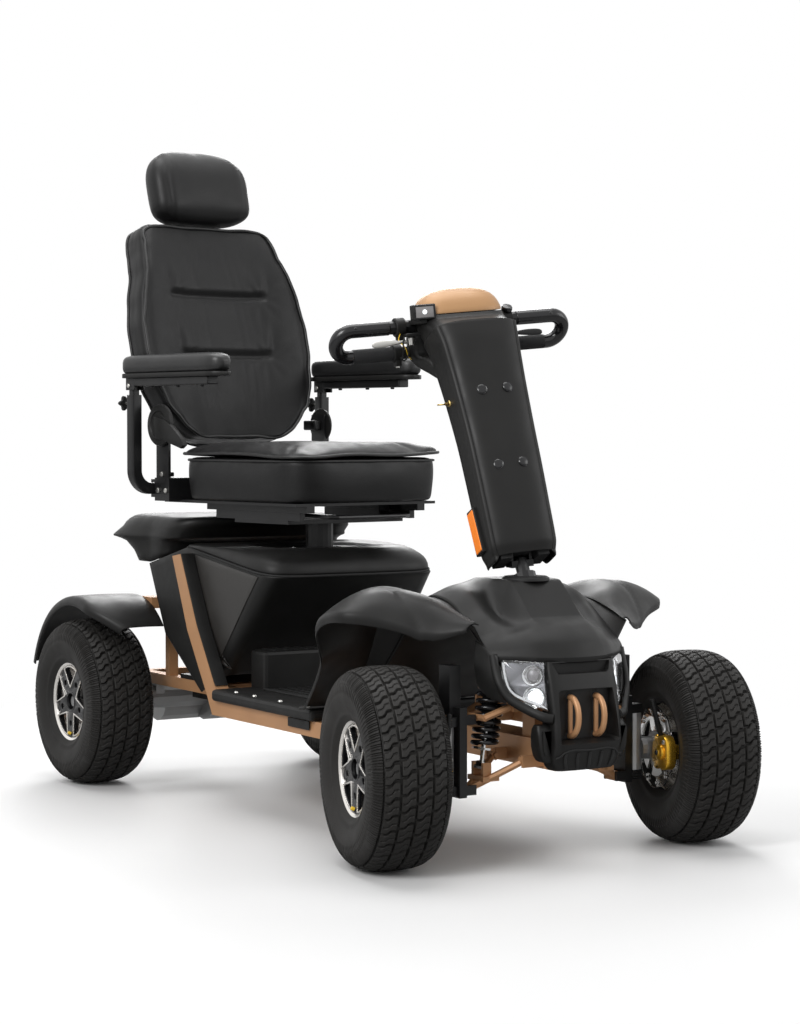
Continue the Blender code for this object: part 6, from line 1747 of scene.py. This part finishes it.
def suspension():
    """Materials for the frame, arms, uprights and dampers, with calipers, boots and hoses."""
    dress("main_frame", COPPER, 0.0012)
    dress("battery_pack", BLACK, 0.002)
    dress("transaxle", CAST, 0.002)
    for side, letter in SIDES:
        for name in ("lower_arm", "upper_arm"):
            dress(f"{name}_{letter}", COPPER, 0.0009)
        dress(f"upright_{letter}", POWDER, 0.0012)
        dress(f"knuckle_{letter}", CAST, 0.0012)
        caliper(side)
        dress(f"shock_body_{letter}", POWDER, 0.001)
        dress(f"shock_rod_{letter}", CHROME, 0.0)
        boot = [(0.01, 0.0), (0.0165, 0.0015), (0.0172, 0.0035), (0.015, 0.0048), (0.0178, 0.0062),
                (0.0178, 0.008), (0.015, 0.0095), (0.0165, 0.011), (0.015, 0.013), (0.0095, 0.015)]
        lathe(f"ball_joint_boot_{letter}", boot, (side * KINGPIN_X, FRONT_Y, 0.129), (0, 0, 1), RUBBER,
              f"knuckle_{letter}", 32)
        hose = [(side * 0.248, FRONT_Y - 0.056, 0.212), (side * 0.235, FRONT_Y - 0.064, 0.245),
                (side * 0.228, FRONT_Y - 0.056, 0.285)]
        pipe(f"brake_hose_{letter}", hose, 0.0046, RUBBER, f"knuckle_{letter}")
        rib = [(0.004, -0.0008), (0.0058, -0.0006), (0.0058, 0.0006), (0.004, 0.0008)]
        ribs = smooth_run(hose, 12)[10:]
        for k, (p, following) in enumerate(zip(ribs, ribs[1:])):
            lathe(f"hose_rib_{letter}_{k}", rib, p, following - p, RUBBER, f"knuckle_{letter}", 16)


def front():
    cowl()
    nose()
    tow_rings()
    for side in (1, -1):
        headlight(side)
    suspension()


# Tiller


def along_stem(distance, across=0.0, x=0.0):
    """A place by its distance up the stem, how far behind it, and x."""
    lean = Vector((0, math.cos(STEM_LEAN), -math.sin(STEM_LEAN)))
    return STEM_FOOT + STEM_AXIS * distance + lean * across + Vector((x, 0, 0))


COVER_STATIONS = [
    (0.04, 0.0, 0.0625, 0.036), (0.06, -0.001, 0.066, 0.0445), (0.13, -0.01, 0.067, 0.045),
    (0.205, -0.018, 0.0682, 0.0458), (0.283, -0.024, 0.0695, 0.047), (0.375, -0.027, 0.073, 0.051),
    (0.43, -0.0278, 0.0762, 0.0545), (0.468, -0.028, 0.079, 0.057), (0.5035, -0.022, 0.0835, 0.061),
]
BAND_FRONT = -0.7
FRONT_SWELL = 0.005
BAND_WIDTH = 0.0042
HEAD_Y = -0.352


def cover_rows():
    """Distance, across, half width and half depth along the tiller, in small steps."""
    rows = []
    for p, q in zip(smooth_run([Vector((d, a, w)) for d, a, w, h in COVER_STATIONS], 6),
                    smooth_run([Vector((d, h, 0)) for d, a, w, h in COVER_STATIONS], 6)):
        rows.append((p.x, p.y, p.z, q.y))
    return rows


def front_line(half, depth):
    """The convex front of the cover between its side bands, as x and across."""
    line = []
    for i in range(60):
        angle = math.pi + math.pi * i / 59
        c, s = math.cos(angle), math.sin(angle)
        x = (half - BAND_WIDTH) * math.copysign(abs(c) ** (2 / 2.9), c)
        y = BAND_FRONT * depth - (depth * (1 + BAND_FRONT) + FRONT_SWELL) * abs(s) ** (2 / 2.3)
        line.append((x, y))
    return line


def rear_line(half, depth):
    """The side bands and the back of the cover as one channel with turned-in front edges."""
    corner = BAND_FRONT * depth
    line = [(-half + 0.0075, corner - 0.003), (-half + 0.0052, corner - 0.0048),
            (-half + 0.003, corner - 0.0044), (-half + 0.0013, corner - 0.0022),
            (-half + 0.0004, corner + 0.0016)]
    line += [(-half, corner + 0.005 - (corner + 0.005) * k / 9) for k in range(9)]
    back = []
    for i in range(48):
        angle = math.pi - math.pi * i / 47
        c, s = math.cos(angle), math.sin(angle)
        back.append((half * math.copysign(abs(c) ** (2 / 3.6), c), depth * abs(s) ** (2 / 3.6)))
    mirrored = [(-x, y) for x, y in reversed(line)]
    return line + back + mirrored


def tiller_cover():
    """A convex front shell let in between two flat side bands, with plugs over its screws."""
    stations = cover_rows()
    front_rows, rear_rows = [], []
    for distance, across, half, depth in stations:
        front_rows.append([along_stem(distance, across + y, x) for x, y in front_line(half, depth)])
        rear_rows.append([along_stem(distance, across + y, x) for x, y in rear_line(half, depth)])
    distance, across, half, depth = stations[0]
    lip = [along_stem(distance - 0.0012, across + y * 0.985, x * 0.985) for x, y in front_line(half, depth)]
    front_rows.insert(0, lip)
    for drop, size in ((0.0055, 0.995), (0.0095, 0.975)):
        wing = []
        for x, y in rear_line(half, depth):
            share = max(0.0, min(1.0, (abs(x) / half - 0.88) / 0.08))
            wing.append(along_stem(distance - drop * share, across + y, x * (1 - (1 - size) * share)))
        rear_rows.insert(0, wing)
    shell = thick_sheet("tiller_front", front_rows, 0.0026, BLACK, "tiller", 50.0)
    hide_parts("tiller_cover")
    thick_sheet("tiller_sides", rear_rows, 0.0026, BLACK, "tiller", 45.0, offset=1.0)
    # A near-black block and two side pieces inside the cover are painted shade for the cover's hollow.
    block = [(-0.04, -0.036), (0.04, -0.036), (0.04, 0.03), (-0.04, 0.03)]
    rings = []
    for distance, size in ((0.082, 0.96), (0.084, 1.0), (0.118, 1.0), (0.12, 0.96)):
        rings.append([along_stem(distance, y * size, x * size) for x, y in block])
    rounded(piece("tiller_inner_shade", capped(rings), SHADE_BLACK, "tiller"), 0.002)
    for side, letter in SIDES:
        low, high = min(side * 0.0255, side * 0.05), max(side * 0.0255, side * 0.05)
        corners = [(low, -0.03), (high, -0.03), (high, 0.026), (low, 0.026)]
        rings = [[along_stem(d, y, x) for x, y in corners] for d in (0.033, 0.1)]
        rounded(piece(f"tiller_wing_shade_{letter}", capped(rings), SHADE_BLACK, "tiller"), 0.002)
    for k, (distance, half) in enumerate(((0.36, 0.027), (0.21, 0.0262))):
        spot = min(stations, key=lambda row: abs(row[0] - distance))
        for side in (-1, 1):
            x = side * half
            share = (half / (spot[2] - BAND_WIDTH)) ** 2.9
            swell = (spot[3] * (1 + BAND_FRONT) + FRONT_SWELL) * (1 - share) ** (1 / 2.3)
            front = BAND_FRONT * spot[3] - swell
            centre = along_stem(distance, spot[1] + front, x)
            out = along_stem(0, -1.0, side * 0.17) - along_stem(0)
            dome = [(0.0108, -0.002), (0.0108, 0.0004), (0.01, 0.0011), (0.0094, 0.0008), (0.0088, 0.0014),
                    (0.0065, 0.0022), (0.003, 0.0026), (0.0, 0.0027)]
            lathe(f"screw_plug_{k}_{LETTER[side]}", dome, centre, out, GLOSS, "tiller", 36)
    for side, letter in SIDES:
        half = 0.0675
        corners = [(0.058, -0.012), (0.06, 0.024), (0.15, 0.022), (0.148, -0.014)]
        rings = []
        for x, size in ((half - 0.004, 1.0), (half + 0.0072, 1.0), (half + 0.0086, 0.985)):
            rings.append([along_stem(0.104 + (d - 0.104) * size, 0.005 + (y - 0.005) * size, side * x)
                          for d, y in corners])
        frame_piece = piece(f"reflector_frame_{letter}", capped(rings), BLACK, "tiller")
        rounded(frame_piece, 0.0012)
        rows = []
        for i in range(45):
            distance = 0.0625 + 0.083 * i / 44
            row = []
            for j in range(19):
                y = -0.0105 + 0.031 * j / 18
                lift = 0.0006 * ((i + j) % 2) if 0 < i < 44 and 0 < j < 18 else -0.0016
                row.append(along_stem(distance, y, side * (half + 0.0096 + lift)))
            rows.append(row)
        # The reflector's lens glows a little. This is painted light, because the reflector is no lamp.
        piece(f"reflector_lens_{letter}", grid(rows), AMBER_REFLECTOR_GLOW, "tiller", 10.0)


def head_fall(p):
    """How much the head's top drops behind its middle."""
    return 0.0075 * max(0.0, (p.y - HEAD_Y) / 0.0565)


def tiller_head():
    """The console with a scoop for each lever, its neck, and the tan cap."""
    foot, inner = ([along_stem(0.506, -0.022 + p.y, p.x) for p in oval((0, 0, 0), half, depth, 3.2, 96)]
                   for half, depth in ((0.084, 0.062), (0.082, 0.06)))
    middle = oval((0, -0.374, 1.002), 0.0845, 0.064, 3.2, 96, -STEM_LEAN / 2)
    upper = oval((0, -0.358, 1.019), 0.085, 0.06, 3.2, 96)
    top = oval((0, HEAD_Y, 1.027), 0.085, 0.0565, 3.2, 96)
    inside = oval((0, HEAD_Y, 1.026), 0.082, 0.054, 3.2, 96)
    for p in (*upper, *top, *inside):
        p.z -= head_fall(p)
    rings = [inner] + across_rows((foot, middle, upper, top), 6) + [inside]
    head = piece("head_shell", capped(rings), BLACK, "tiller", 45.0)
    cutters = []
    for side in (-1, 1):
        bowl = []
        for k in range(13):
            angle = math.pi * (k + 0.5) / 13
            ring_points = []
            for i in range(32):
                turn = math.tau * i / 32
                place = Vector((0.025 * math.cos(angle), 0.015 * math.sin(angle) * math.cos(turn),
                                0.0085 * math.sin(angle) * math.sin(turn)))
                spin = Matrix.Rotation(side * math.radians(12), 3, "Z") @ place
                ring_points.append(TILLER_TURN @ (spin + Vector((side * 0.047, -0.434, 1.004))))
            bowl.append(ring_points)
        cutters.append(cutter_from(f"scoop_{side}", capped(bowl)))
    carve(head, cutters)
    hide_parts("tiller_head")
    neck = []
    for z, y, half, depth, tilt in ((0.9, -0.383, 0.056, 0.008, -40), (0.91, -0.374, 0.064, 0.014, -40),
                                    (0.923, -0.358, 0.072, 0.023, -34), (0.935, -0.334, 0.08, 0.032, -24),
                                    (0.945, -0.31, 0.085, 0.034, -10), (0.958, -0.3015, 0.0876, 0.033, 0),
                                    (0.985, -0.301, 0.0876, 0.0326, 0), (1.006, -0.301, 0.0872, 0.0322, 0),
                                    (1.014, -0.301, 0.085, 0.03, 0), (1.0185, -0.301, 0.08, 0.0255, 0)):
        neck.append(oval((0, y, z), half, depth, 4.0, 80, math.radians(tilt)))
    piece("head_neck", capped(across_rows(neck, 4)), BLACK, "tiller", 50.0)
    for side, letter in SIDES:
        slab(f"lever_shelf_{letter}", (0.086 * side - 0.026, -0.3565, 0.9885),
             (0.086 * side + 0.026, -0.3365, 0.9955), BLACK, "tiller", 0.002)
    cap_rings = []
    for rise, half, depth in ((0.0012, 0.0815, 0.0525), (0.0008, 0.0845, 0.0556), (0.0045, 0.0858, 0.0566),
                              (0.01, 0.0848, 0.0555), (0.018, 0.0822, 0.053), (0.027, 0.0775, 0.0493),
                              (0.035, 0.07, 0.0435), (0.042, 0.0585, 0.036), (0.0472, 0.043, 0.0255),
                              (0.05, 0.024, 0.014), (0.0507, 0.008, 0.005)):
        line = oval((0, HEAD_Y + rise * 0.25, 1.028 + rise), half, depth, 3.0, 96)
        for p in line:
            p.z -= head_fall(p) * step_down(rise - 0.016, 0.03)
        cap_rings.append(line)
    cap = piece("tiller_cap_skin", capped(cap_rings), CAP_TAN, "tiller", 50.0)
    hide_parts("tiller_cap")


BAR_UPPER = Vector((0, -0.322, 1.009))
BAR_LOWER = Vector((0, -0.29, 0.958))


def handle_point(side, share):
    """A point of the handle loop: 0 at the upper bar's inner end, 1 at the lower bar's."""
    middle, half = (BAR_UPPER + BAR_LOWER) / 2, (BAR_UPPER - BAR_LOWER) / 2
    turn_radius = half.length
    straight = 0.255 - 0.013 - turn_radius
    start = 0.105
    run, arc = straight - start, math.pi * turn_radius
    along = share * (2 * run + arc)
    if along < run:
        return BAR_UPPER + Vector((side * (start + along), 0, 0))
    if along > run + arc:
        return BAR_LOWER + Vector((side * (straight - (along - run - arc)), 0, 0))
    angle = math.pi / 2 - (along - run) / turn_radius
    return middle + half * math.sin(angle) + Vector((side * (straight + turn_radius * math.cos(angle)), 0, 0))


def sleeve(name, path, radii, skin):
    """A tube skin along the handle's path with its own radius at each point."""
    plane_normal = Vector((1, 0, 0)).cross((BAR_UPPER - BAR_LOWER).normalized()).normalized()
    rows = []
    for i, p in enumerate(path):
        along = (path[min(len(path) - 1, i + 1)] - path[max(0, i - 1)]).normalized()
        other = along.cross(plane_normal).normalized()
        rows.append([p + (plane_normal * math.cos(a) + other * math.sin(a)) * radii[i]
                     for a in (math.tau * k / 32 for k in range(32))])
    piece(name, capped(rows), skin, "tiller", 50.0)


def handles():
    """The bar's loops in smooth sleeves above and ribbed foam below, with clamps and leads."""
    dress("handlebar", POWDER, 0.0, 40.0)
    for side, letter in SIDES:
        count = 150
        path = [handle_point(side, 0.1 + 0.58 * i / count) for i in range(count + 1)]
        radii = [0.0142] * (count + 1)
        radii[0] = radii[-1] = 0.0134
        sleeve(f"grip_upper_{letter}", path, radii, GLOSS)
        count = 260
        path = [handle_point(side, 0.665 + 0.325 * i / count) for i in range(count + 1)]
        radii = [0.014 + 0.00035 * math.cos(i * math.tau / 5) for i in range(count + 1)]
        radii[0] = radii[-1] = 0.013
        sleeve(f"grip_lower_{letter}", path, radii, GRIP)
        for k, (centre, reach, radius, width) in enumerate(((BAR_UPPER, 0.104, 0.019, 0.02),
                                                            (BAR_LOWER, 0.103, 0.018, 0.018))):
            start = centre + Vector((side * reach, 0, 0))
            clamp = [(0.0125, 0.0), (radius - 0.0015, 0.0), (radius, 0.0015), (radius, width - 0.0015),
                     (radius - 0.0015, width), (0.0125, width)]
            lathe(f"bar_clamp_{letter}_{k}", clamp, start, (side, 0, 0), BLACK, "tiller", 32)
            low = start + Vector((side * 0.003, -0.012, -radius - 0.0075))
            high = start + Vector((side * (width - 0.003), 0.006, -radius + 0.006))
            slab(f"clamp_ear_{letter}_{k}", (min(low.x, high.x), low.y, low.z),
                 (max(low.x, high.x), high.y, high.z), BLACK, "tiller", 0.0015)
            between(f"clamp_screw_{letter}_{k}",
                    start + Vector((side * width / 2, -0.002, -radius - 0.0105)),
                    start + Vector((side * width / 2, -0.002, -radius - 0.007)), 0.0036, ZINC, "tiller",
                    0.0006, 6)
        rivet = handle_point(side, 0.335) + Vector((0, -0.013, 0.0045))
        lathe(f"grip_stud_{letter}", [(0.003, -0.001), (0.003, 0.0008), (0.0018, 0.0016), (0.0, 0.0018)],
              rivet, (0, -1, 0.35), GLOSS, "tiller", 20)
    knob = [(0.0, 0.0), (0.006, 0.0), (0.01, 0.0015), (0.0112, 0.004), (0.0112, 0.009), (0.0095, 0.0115),
            (0.0, 0.0125)]
    lathe("clamp_knob", knob, BAR_UPPER + Vector((0.114, -0.008, 0.015)), (0, -0.55, 1), GLOSS, "tiller", 28)


def levers():
    """Both hand levers with blades, and their leads down to the lower bar."""
    for side, name, skin in ((1, "brake_lever", POWDER), (-1, "drive_lever", ZINC)):
        low = 0.9877 - 0.016
        boss = [(0.0, 0.0), (0.0078, 0.0), (0.009, 0.0012), (0.009, 0.0148), (0.0078, 0.016), (0.0, 0.016)]
        centre = Vector((side * 0.1, -0.345, low))
        hub = lathe(f"{name}_hub", boss, centre, (0, 0, 1), skin, name, 28)
        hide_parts(name)
        rows = []
        for reach, half, thick, drop in ((0.0, 0.0042, 0.004, 0.0), (0.012, 0.004, 0.004, 0.0),
                                         (0.024, 0.0036, 0.0042, 0.0), (0.036, 0.005, 0.0036, 0.0),
                                         (0.05, 0.0062, 0.003, -0.0005), (0.066, 0.0066, 0.0028, -0.0012),
                                         (0.076, 0.0056, 0.0026, -0.0018), (0.0805, 0.003, 0.0018, -0.002)):
            middle = Vector((side * (0.1 + reach), -0.3455, low + 0.0078 + drop))
            rows.append([middle + Vector((0, p.x, p.y)) for p in oval((0, 0, 0), thick, half, 3.0, 24)])
        piece(f"{name}_blade", capped(across_rows(rows, 5)), skin, name, 50.0)
    leads = [
        ((-0.112, -0.342, 0.99), (-0.12, -0.356, 0.976), (-0.118, -0.346, 0.956), (-0.112, -0.316, 0.948),
         (-0.109, -0.302, 0.95)),
        ((-0.106, -0.344, 0.992), (-0.113, -0.364, 0.98), (-0.11, -0.358, 0.96), (-0.108, -0.32, 0.943),
         (-0.106, -0.304, 0.946)),
        ((-0.116, -0.334, 0.998), (-0.124, -0.344, 0.982), (-0.116, -0.352, 0.97), (-0.106, -0.34, 0.952),
         (-0.096, -0.33, 0.944)),
    ]
    for k, points in enumerate(leads):
        pipe(f"lever_lead_{k}", points, 0.0009 if k == 2 else 0.0015, YELLOW if k == 2 else RUBBER,
             "tiller", sides=3)


def head_lamp():
    """A small square lamp on the bar with a lit middle."""
    centre = Vector((-0.088, -0.402, 1.0345))
    low, high = centre - Vector((0.0235, 0.0, 0.015)), centre + Vector((0.0235, 0.02, 0.015))
    slab("bar_lamp_body", low, high, BLACK, "tiller", 0.0025)
    plane = TILLER_TURN @ facing_front(centre.x, centre.y - 0.001, centre.z)
    hole = rectangle(0.0185, 0.0105)
    flat_plate("bar_lamp_bezel", [rectangle(0.0225, 0.014), hole], 0.0024, plane, GLOSS, "tiller", 0.0006)
    # The panel round the bulb carries a painted faint glow.
    flat_plate("bar_lamp_panel", [hole], 0.001, plane, FAINT_GLOW_LED, "tiller", 0.0002)
    dome = [(0.0044, 0.0), (0.0041, 0.0016), (0.0026, 0.0026), (0.0, 0.003)]
    lathe("bar_lamp_bulb", dome, centre + Vector((0, -0.0014, 0)), (0, -1, 0), LIT, "tiller", 28)
    slab("bar_lamp_foot", centre + Vector((-0.007, 0.006, -0.023)), centre + Vector((0.007, 0.084, -0.013)),
         BLACK, "tiller", 0.0015)


def lock_and_key():
    """The key switch on the tiller's side, with the key in it."""
    lock = along_stem(0.36, -0.023)
    barrel = [(0.0, 0.0769), (0.0038, 0.0769), (0.0062, 0.0767), (0.007, 0.0754), (0.0072, 0.0734),
              (0.0098, 0.0732), (0.0108, 0.0719), (0.0108, 0.0644), (0.0, 0.0644)]
    lathe("lock_barrel", barrel, lock, (-1, 0, 0), BRASS, "tiller", 32)
    near = lock - Vector((0.0775, 0, 0))
    plane = Matrix(((-1, 0, 0, near.x - 0.013), (0, 1, 0, near.y), (0, 0, 1, near.z), (0, 0, 0, 1)))
    bow = [(0.0088 * math.cos(a), 0.0092 * math.sin(a)) for a in (math.tau * k / 40 for k in range(40))]
    hole = [(0.0042 + 0.0024 * math.cos(a), 0.0026 * math.sin(a))
            for a in (math.tau * k / 20 for k in range(20))]
    bow_piece = flat_plate("key_bow", [bow, hole], 0.0034, plane, BRASS, "key", 0.0005)
    bow_piece.matrix_world = TILLER_TURN @ bow_piece.matrix_world
    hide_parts("key")
    between("key_shank", near, near - Vector((0.006, 0, 0)), 0.0036, BRASS, "key", 0.0005, 20)


def steering():
    """Materials for the fork under the cover and for the stem, with the bolts they tilt on."""
    dress("steer_base", POWDER, 0.0012)
    dress("tiller_stem", RUBBER, 0.0)
    for side, letter in SIDES:
        cheek = side * 0.0225
        bolt = [(0.0, 0.006), (0.005, 0.006), (0.0066, 0.0048), (0.0066, 0.0), (0.0, 0.0)]
        lathe(f"tilt_bolt_{letter}", bolt, along_stem(0.06) + Vector((cheek + side * 0.0035, 0, 0)),
              (side, 0, 0), ZINC, "steer_base", 6)


def tiller():
    tiller_cover()
    tiller_head()
    handles()
    levers()
    head_lamp()
    lock_and_key()
    steering()


# Seat stand, frame fittings and small parts


def seat_stand():
    """Materials for the post, the frame under the cushion and the lever that frees the slide."""
    dress("seat_post", POWDER, 0.0012)
    dress("seat_frame", POWDER, 0.001)
    dress("slide_lever", POWDER, 0.0)


POST_FOOT_Z = 0.668
POST_TUBE = 0.0128
COIL_RADIUS = 0.0222
COIL_WIRE = 0.0043
COIL_TURNS = 11
COIL_POINTS = 300


def arm_posts():
    """Square tubes with round corners from the frame up to the armrests."""
    for side, letter in SIDES:
        points = [Vector((side * x, ARM_Y, POST_FOOT_Z)) for x in (0.133, 0.205)]
        for k in range(1, 13):
            angle = math.pi / 2 * k / 12
            points.append(Vector((side * (0.222 + 0.04 * math.sin(angle)), ARM_Y,
                                  POST_FOOT_Z + 0.04 * (1 - math.cos(angle)))))
        points += [Vector((side * ARM_X, ARM_Y, z)) for z in (0.8745, 0.875, 0.892)]
        rows = []
        for i, p in enumerate(points):
            along = (points[min(len(points) - 1, i + 1)] - points[max(0, i - 1)]).normalized()
            across = along.cross(Vector((0, 1, 0))).normalized()
            half = 0.0088 if i >= len(points) - 2 else POST_TUBE
            rows.append([p + across * q.x + Vector((0, q.y, 0)) for q in oval((0, 0, 0), half, half, 7, 48)])
        post = piece(f"armrest_tube_{letter}", capped(rows), POWDER, f"armrest_post_{letter}", 30.0)
        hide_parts(f"armrest_post_{letter}")


def shock_point(side, distance):
    """A place on a damper's axis."""
    low, high = Vector((side * 0.136, FRONT_Y, 0.176)), Vector((side * 0.104, FRONT_Y, 0.385))
    return low + (high - low).normalized() * distance


def springs():
    """A coil of thick black wire with closed ends, and a ribbed dust sleeve on the damper."""
    for side, letter in SIDES:
        axis = (shock_point(side, 1.0) - shock_point(side, 0.0)).normalized()
        across = Vector((0, 1, 0))
        third = axis.cross(across)
        points = []
        for i in range(COIL_POINTS + 1):
            share = i / COIL_POINTS
            angle = math.tau * COIL_TURNS * share
            eased = share - 0.072 * math.sin(math.tau * share) / math.tau
            centre = shock_point(side, 0.0408 + 0.1404 * eased)
            points.append(centre + (across * math.cos(angle) + third * math.sin(angle)) * COIL_RADIUS)
        coil = pipe(f"coil_spring_{letter}", points, COIL_WIRE, GLOSS, f"shock_body_{letter}", smooth=False,
                    sides=4)
        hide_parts(f"spring_{letter}")
        sleeve_line = [(0.0134 + 0.0012 * math.cos(k * math.pi), 0.1 + 0.08 * k / 24) for k in range(25)]
        lathe(f"dust_sleeve_{letter}", sleeve_line, shock_point(side, 0.0), axis, RUBBER,
              f"shock_body_{letter}", 32)


def small_parts():
    seat_stand()
    arm_posts()
    springs()


# Stage, light and camera

WORLD_STRENGTH = 0.4
FLOOR_SEEN = 0.8
FLOOR_BOUNCE = 0.42
LAMPS = [
    ("key", (-4.2, -2.2, 3.3), (0, 0, 0.6), 2.2, 165),
    ("fill", (3.6, -3.0, 2.2), (0, -0.2, 0.6), 2.5, 42),
    ("top", (0.0, 0.6, 4.0), (0, 0, 0.5), 3.0, 90),
    ("rim", (2.0, 3.6, 2.6), (0, 0, 0.8), 2.0, 90),
]


def area_light(name, place, aim, size, power):
    """A square soft lamp that is aimed at a place."""
    data = bpy.data.lights.new(name, "AREA")
    data.energy = power
    data.size = size
    lamp = new_object(name, data)
    lamp.location = place
    lamp.rotation_euler = (Vector(aim) - Vector(place)).to_track_quat("-Z", "Y").to_euler()


def math_node(nodes, links, operation, first, second):
    """The clamped result of two values, each a node's output or a number."""
    made = nodes.new("ShaderNodeMath")
    made.operation = operation
    made.use_clamp = True
    for slot, value in zip(made.inputs, (first, second)):
        if isinstance(value, float):
            slot.default_value = value
        else:
            links.new(value, slot)
    return made.outputs[0]


def stage():
    """A pale floor that keeps the shadow, a white surround and soft studio lamps."""
    floor_skin, nodes, links, shader = blank("studio_floor")
    shader.inputs["Roughness"].default_value = 0.55
    place = nodes.new("ShaderNodeNewGeometry")
    away = nodes.new("ShaderNodeVectorMath")
    away.operation = "LENGTH"
    links.new(place.outputs["Position"], away.inputs[0])
    tenth = math_node(nodes, links, "MULTIPLY", away.outputs["Value"], 0.1)
    fade = add_ramp(nodes, links, tenth, 0.115, 0.21, grey(0.0), grey(1.0))
    path = nodes.new("ShaderNodeLightPath")
    seen = math_node(nodes, links, "MULTIPLY", fade.outputs["Color"], path.outputs["Is Camera Ray"])
    bounce = nodes.new("ShaderNodeMix")
    bounce.data_type = "RGBA"
    links.new(path.outputs["Is Camera Ray"], bounce.inputs["Factor"])
    bounce.inputs[6].default_value = grey(FLOOR_BOUNCE)
    bounce.inputs[7].default_value = grey(FLOOR_SEEN)
    links.new(bounce.outputs[2], shader.inputs["Base Color"])
    white = nodes.new("ShaderNodeEmission")
    white.inputs["Strength"].default_value = 1.0
    mixed = nodes.new("ShaderNodeMixShader")
    links.new(seen, mixed.inputs[0])
    links.new(shader.outputs[0], mixed.inputs[1])
    links.new(white.outputs[0], mixed.inputs[2])
    links.new(mixed.outputs[0], nodes["Material Output"].inputs["Surface"])
    mesh = bpy.data.meshes.new("floor")
    reach = 40.0
    corners = [(x, y, -0.0002) for x, y in rectangle(reach, reach)]
    mesh.from_pydata(corners, [], [(0, 1, 2, 3)])
    mesh.materials.append(floor_skin)
    new_object("floor", mesh)
    world = bpy.data.worlds.new("studio")
    bpy.context.scene.world = world
    world.use_nodes = True
    nodes, links = world.node_tree.nodes, world.node_tree.links
    background = nodes["Background"]
    path = nodes.new("ShaderNodeLightPath")
    direct = math_node(nodes, links, "ADD", path.outputs["Is Camera Ray"],
                       path.outputs["Is Transmission Ray"])
    white_seen = math_node(nodes, links, "ADD", direct, path.outputs["Is Glossy Ray"])
    above = math_node(nodes, links, "MULTIPLY", white_seen, 1.0 - WORLD_STRENGTH)
    links.new(math_node(nodes, links, "ADD", above, WORLD_STRENGTH), background.inputs["Strength"])
    background.inputs["Color"].default_value = (1, 1, 1, 1)
    for lamp in LAMPS:
        area_light(*lamp)
    bpy.context.scene.view_settings.view_transform = "Standard"


def camera():
    """The photograph's camera."""
    back = Vector((math.sin(CAMERA_AZIMUTH) * math.cos(CAMERA_ELEVATION),
                   -math.cos(CAMERA_AZIMUTH) * math.cos(CAMERA_ELEVATION), math.sin(CAMERA_ELEVATION)))
    data = bpy.data.cameras.new("photo_camera")
    data.lens = CAMERA_LENS
    data.sensor_width = 36.0
    data.clip_end = 200.0
    obj = new_object("photo_camera", data)
    obj.location = CAMERA_TARGET + back * CAMERA_DISTANCE
    obj.rotation_euler = (-back).to_track_quat("-Z", "Y").to_euler()
    bpy.context.scene.camera = obj


camera()
stage()
wheels()
seat()
body()
front()
tiller()
small_parts()
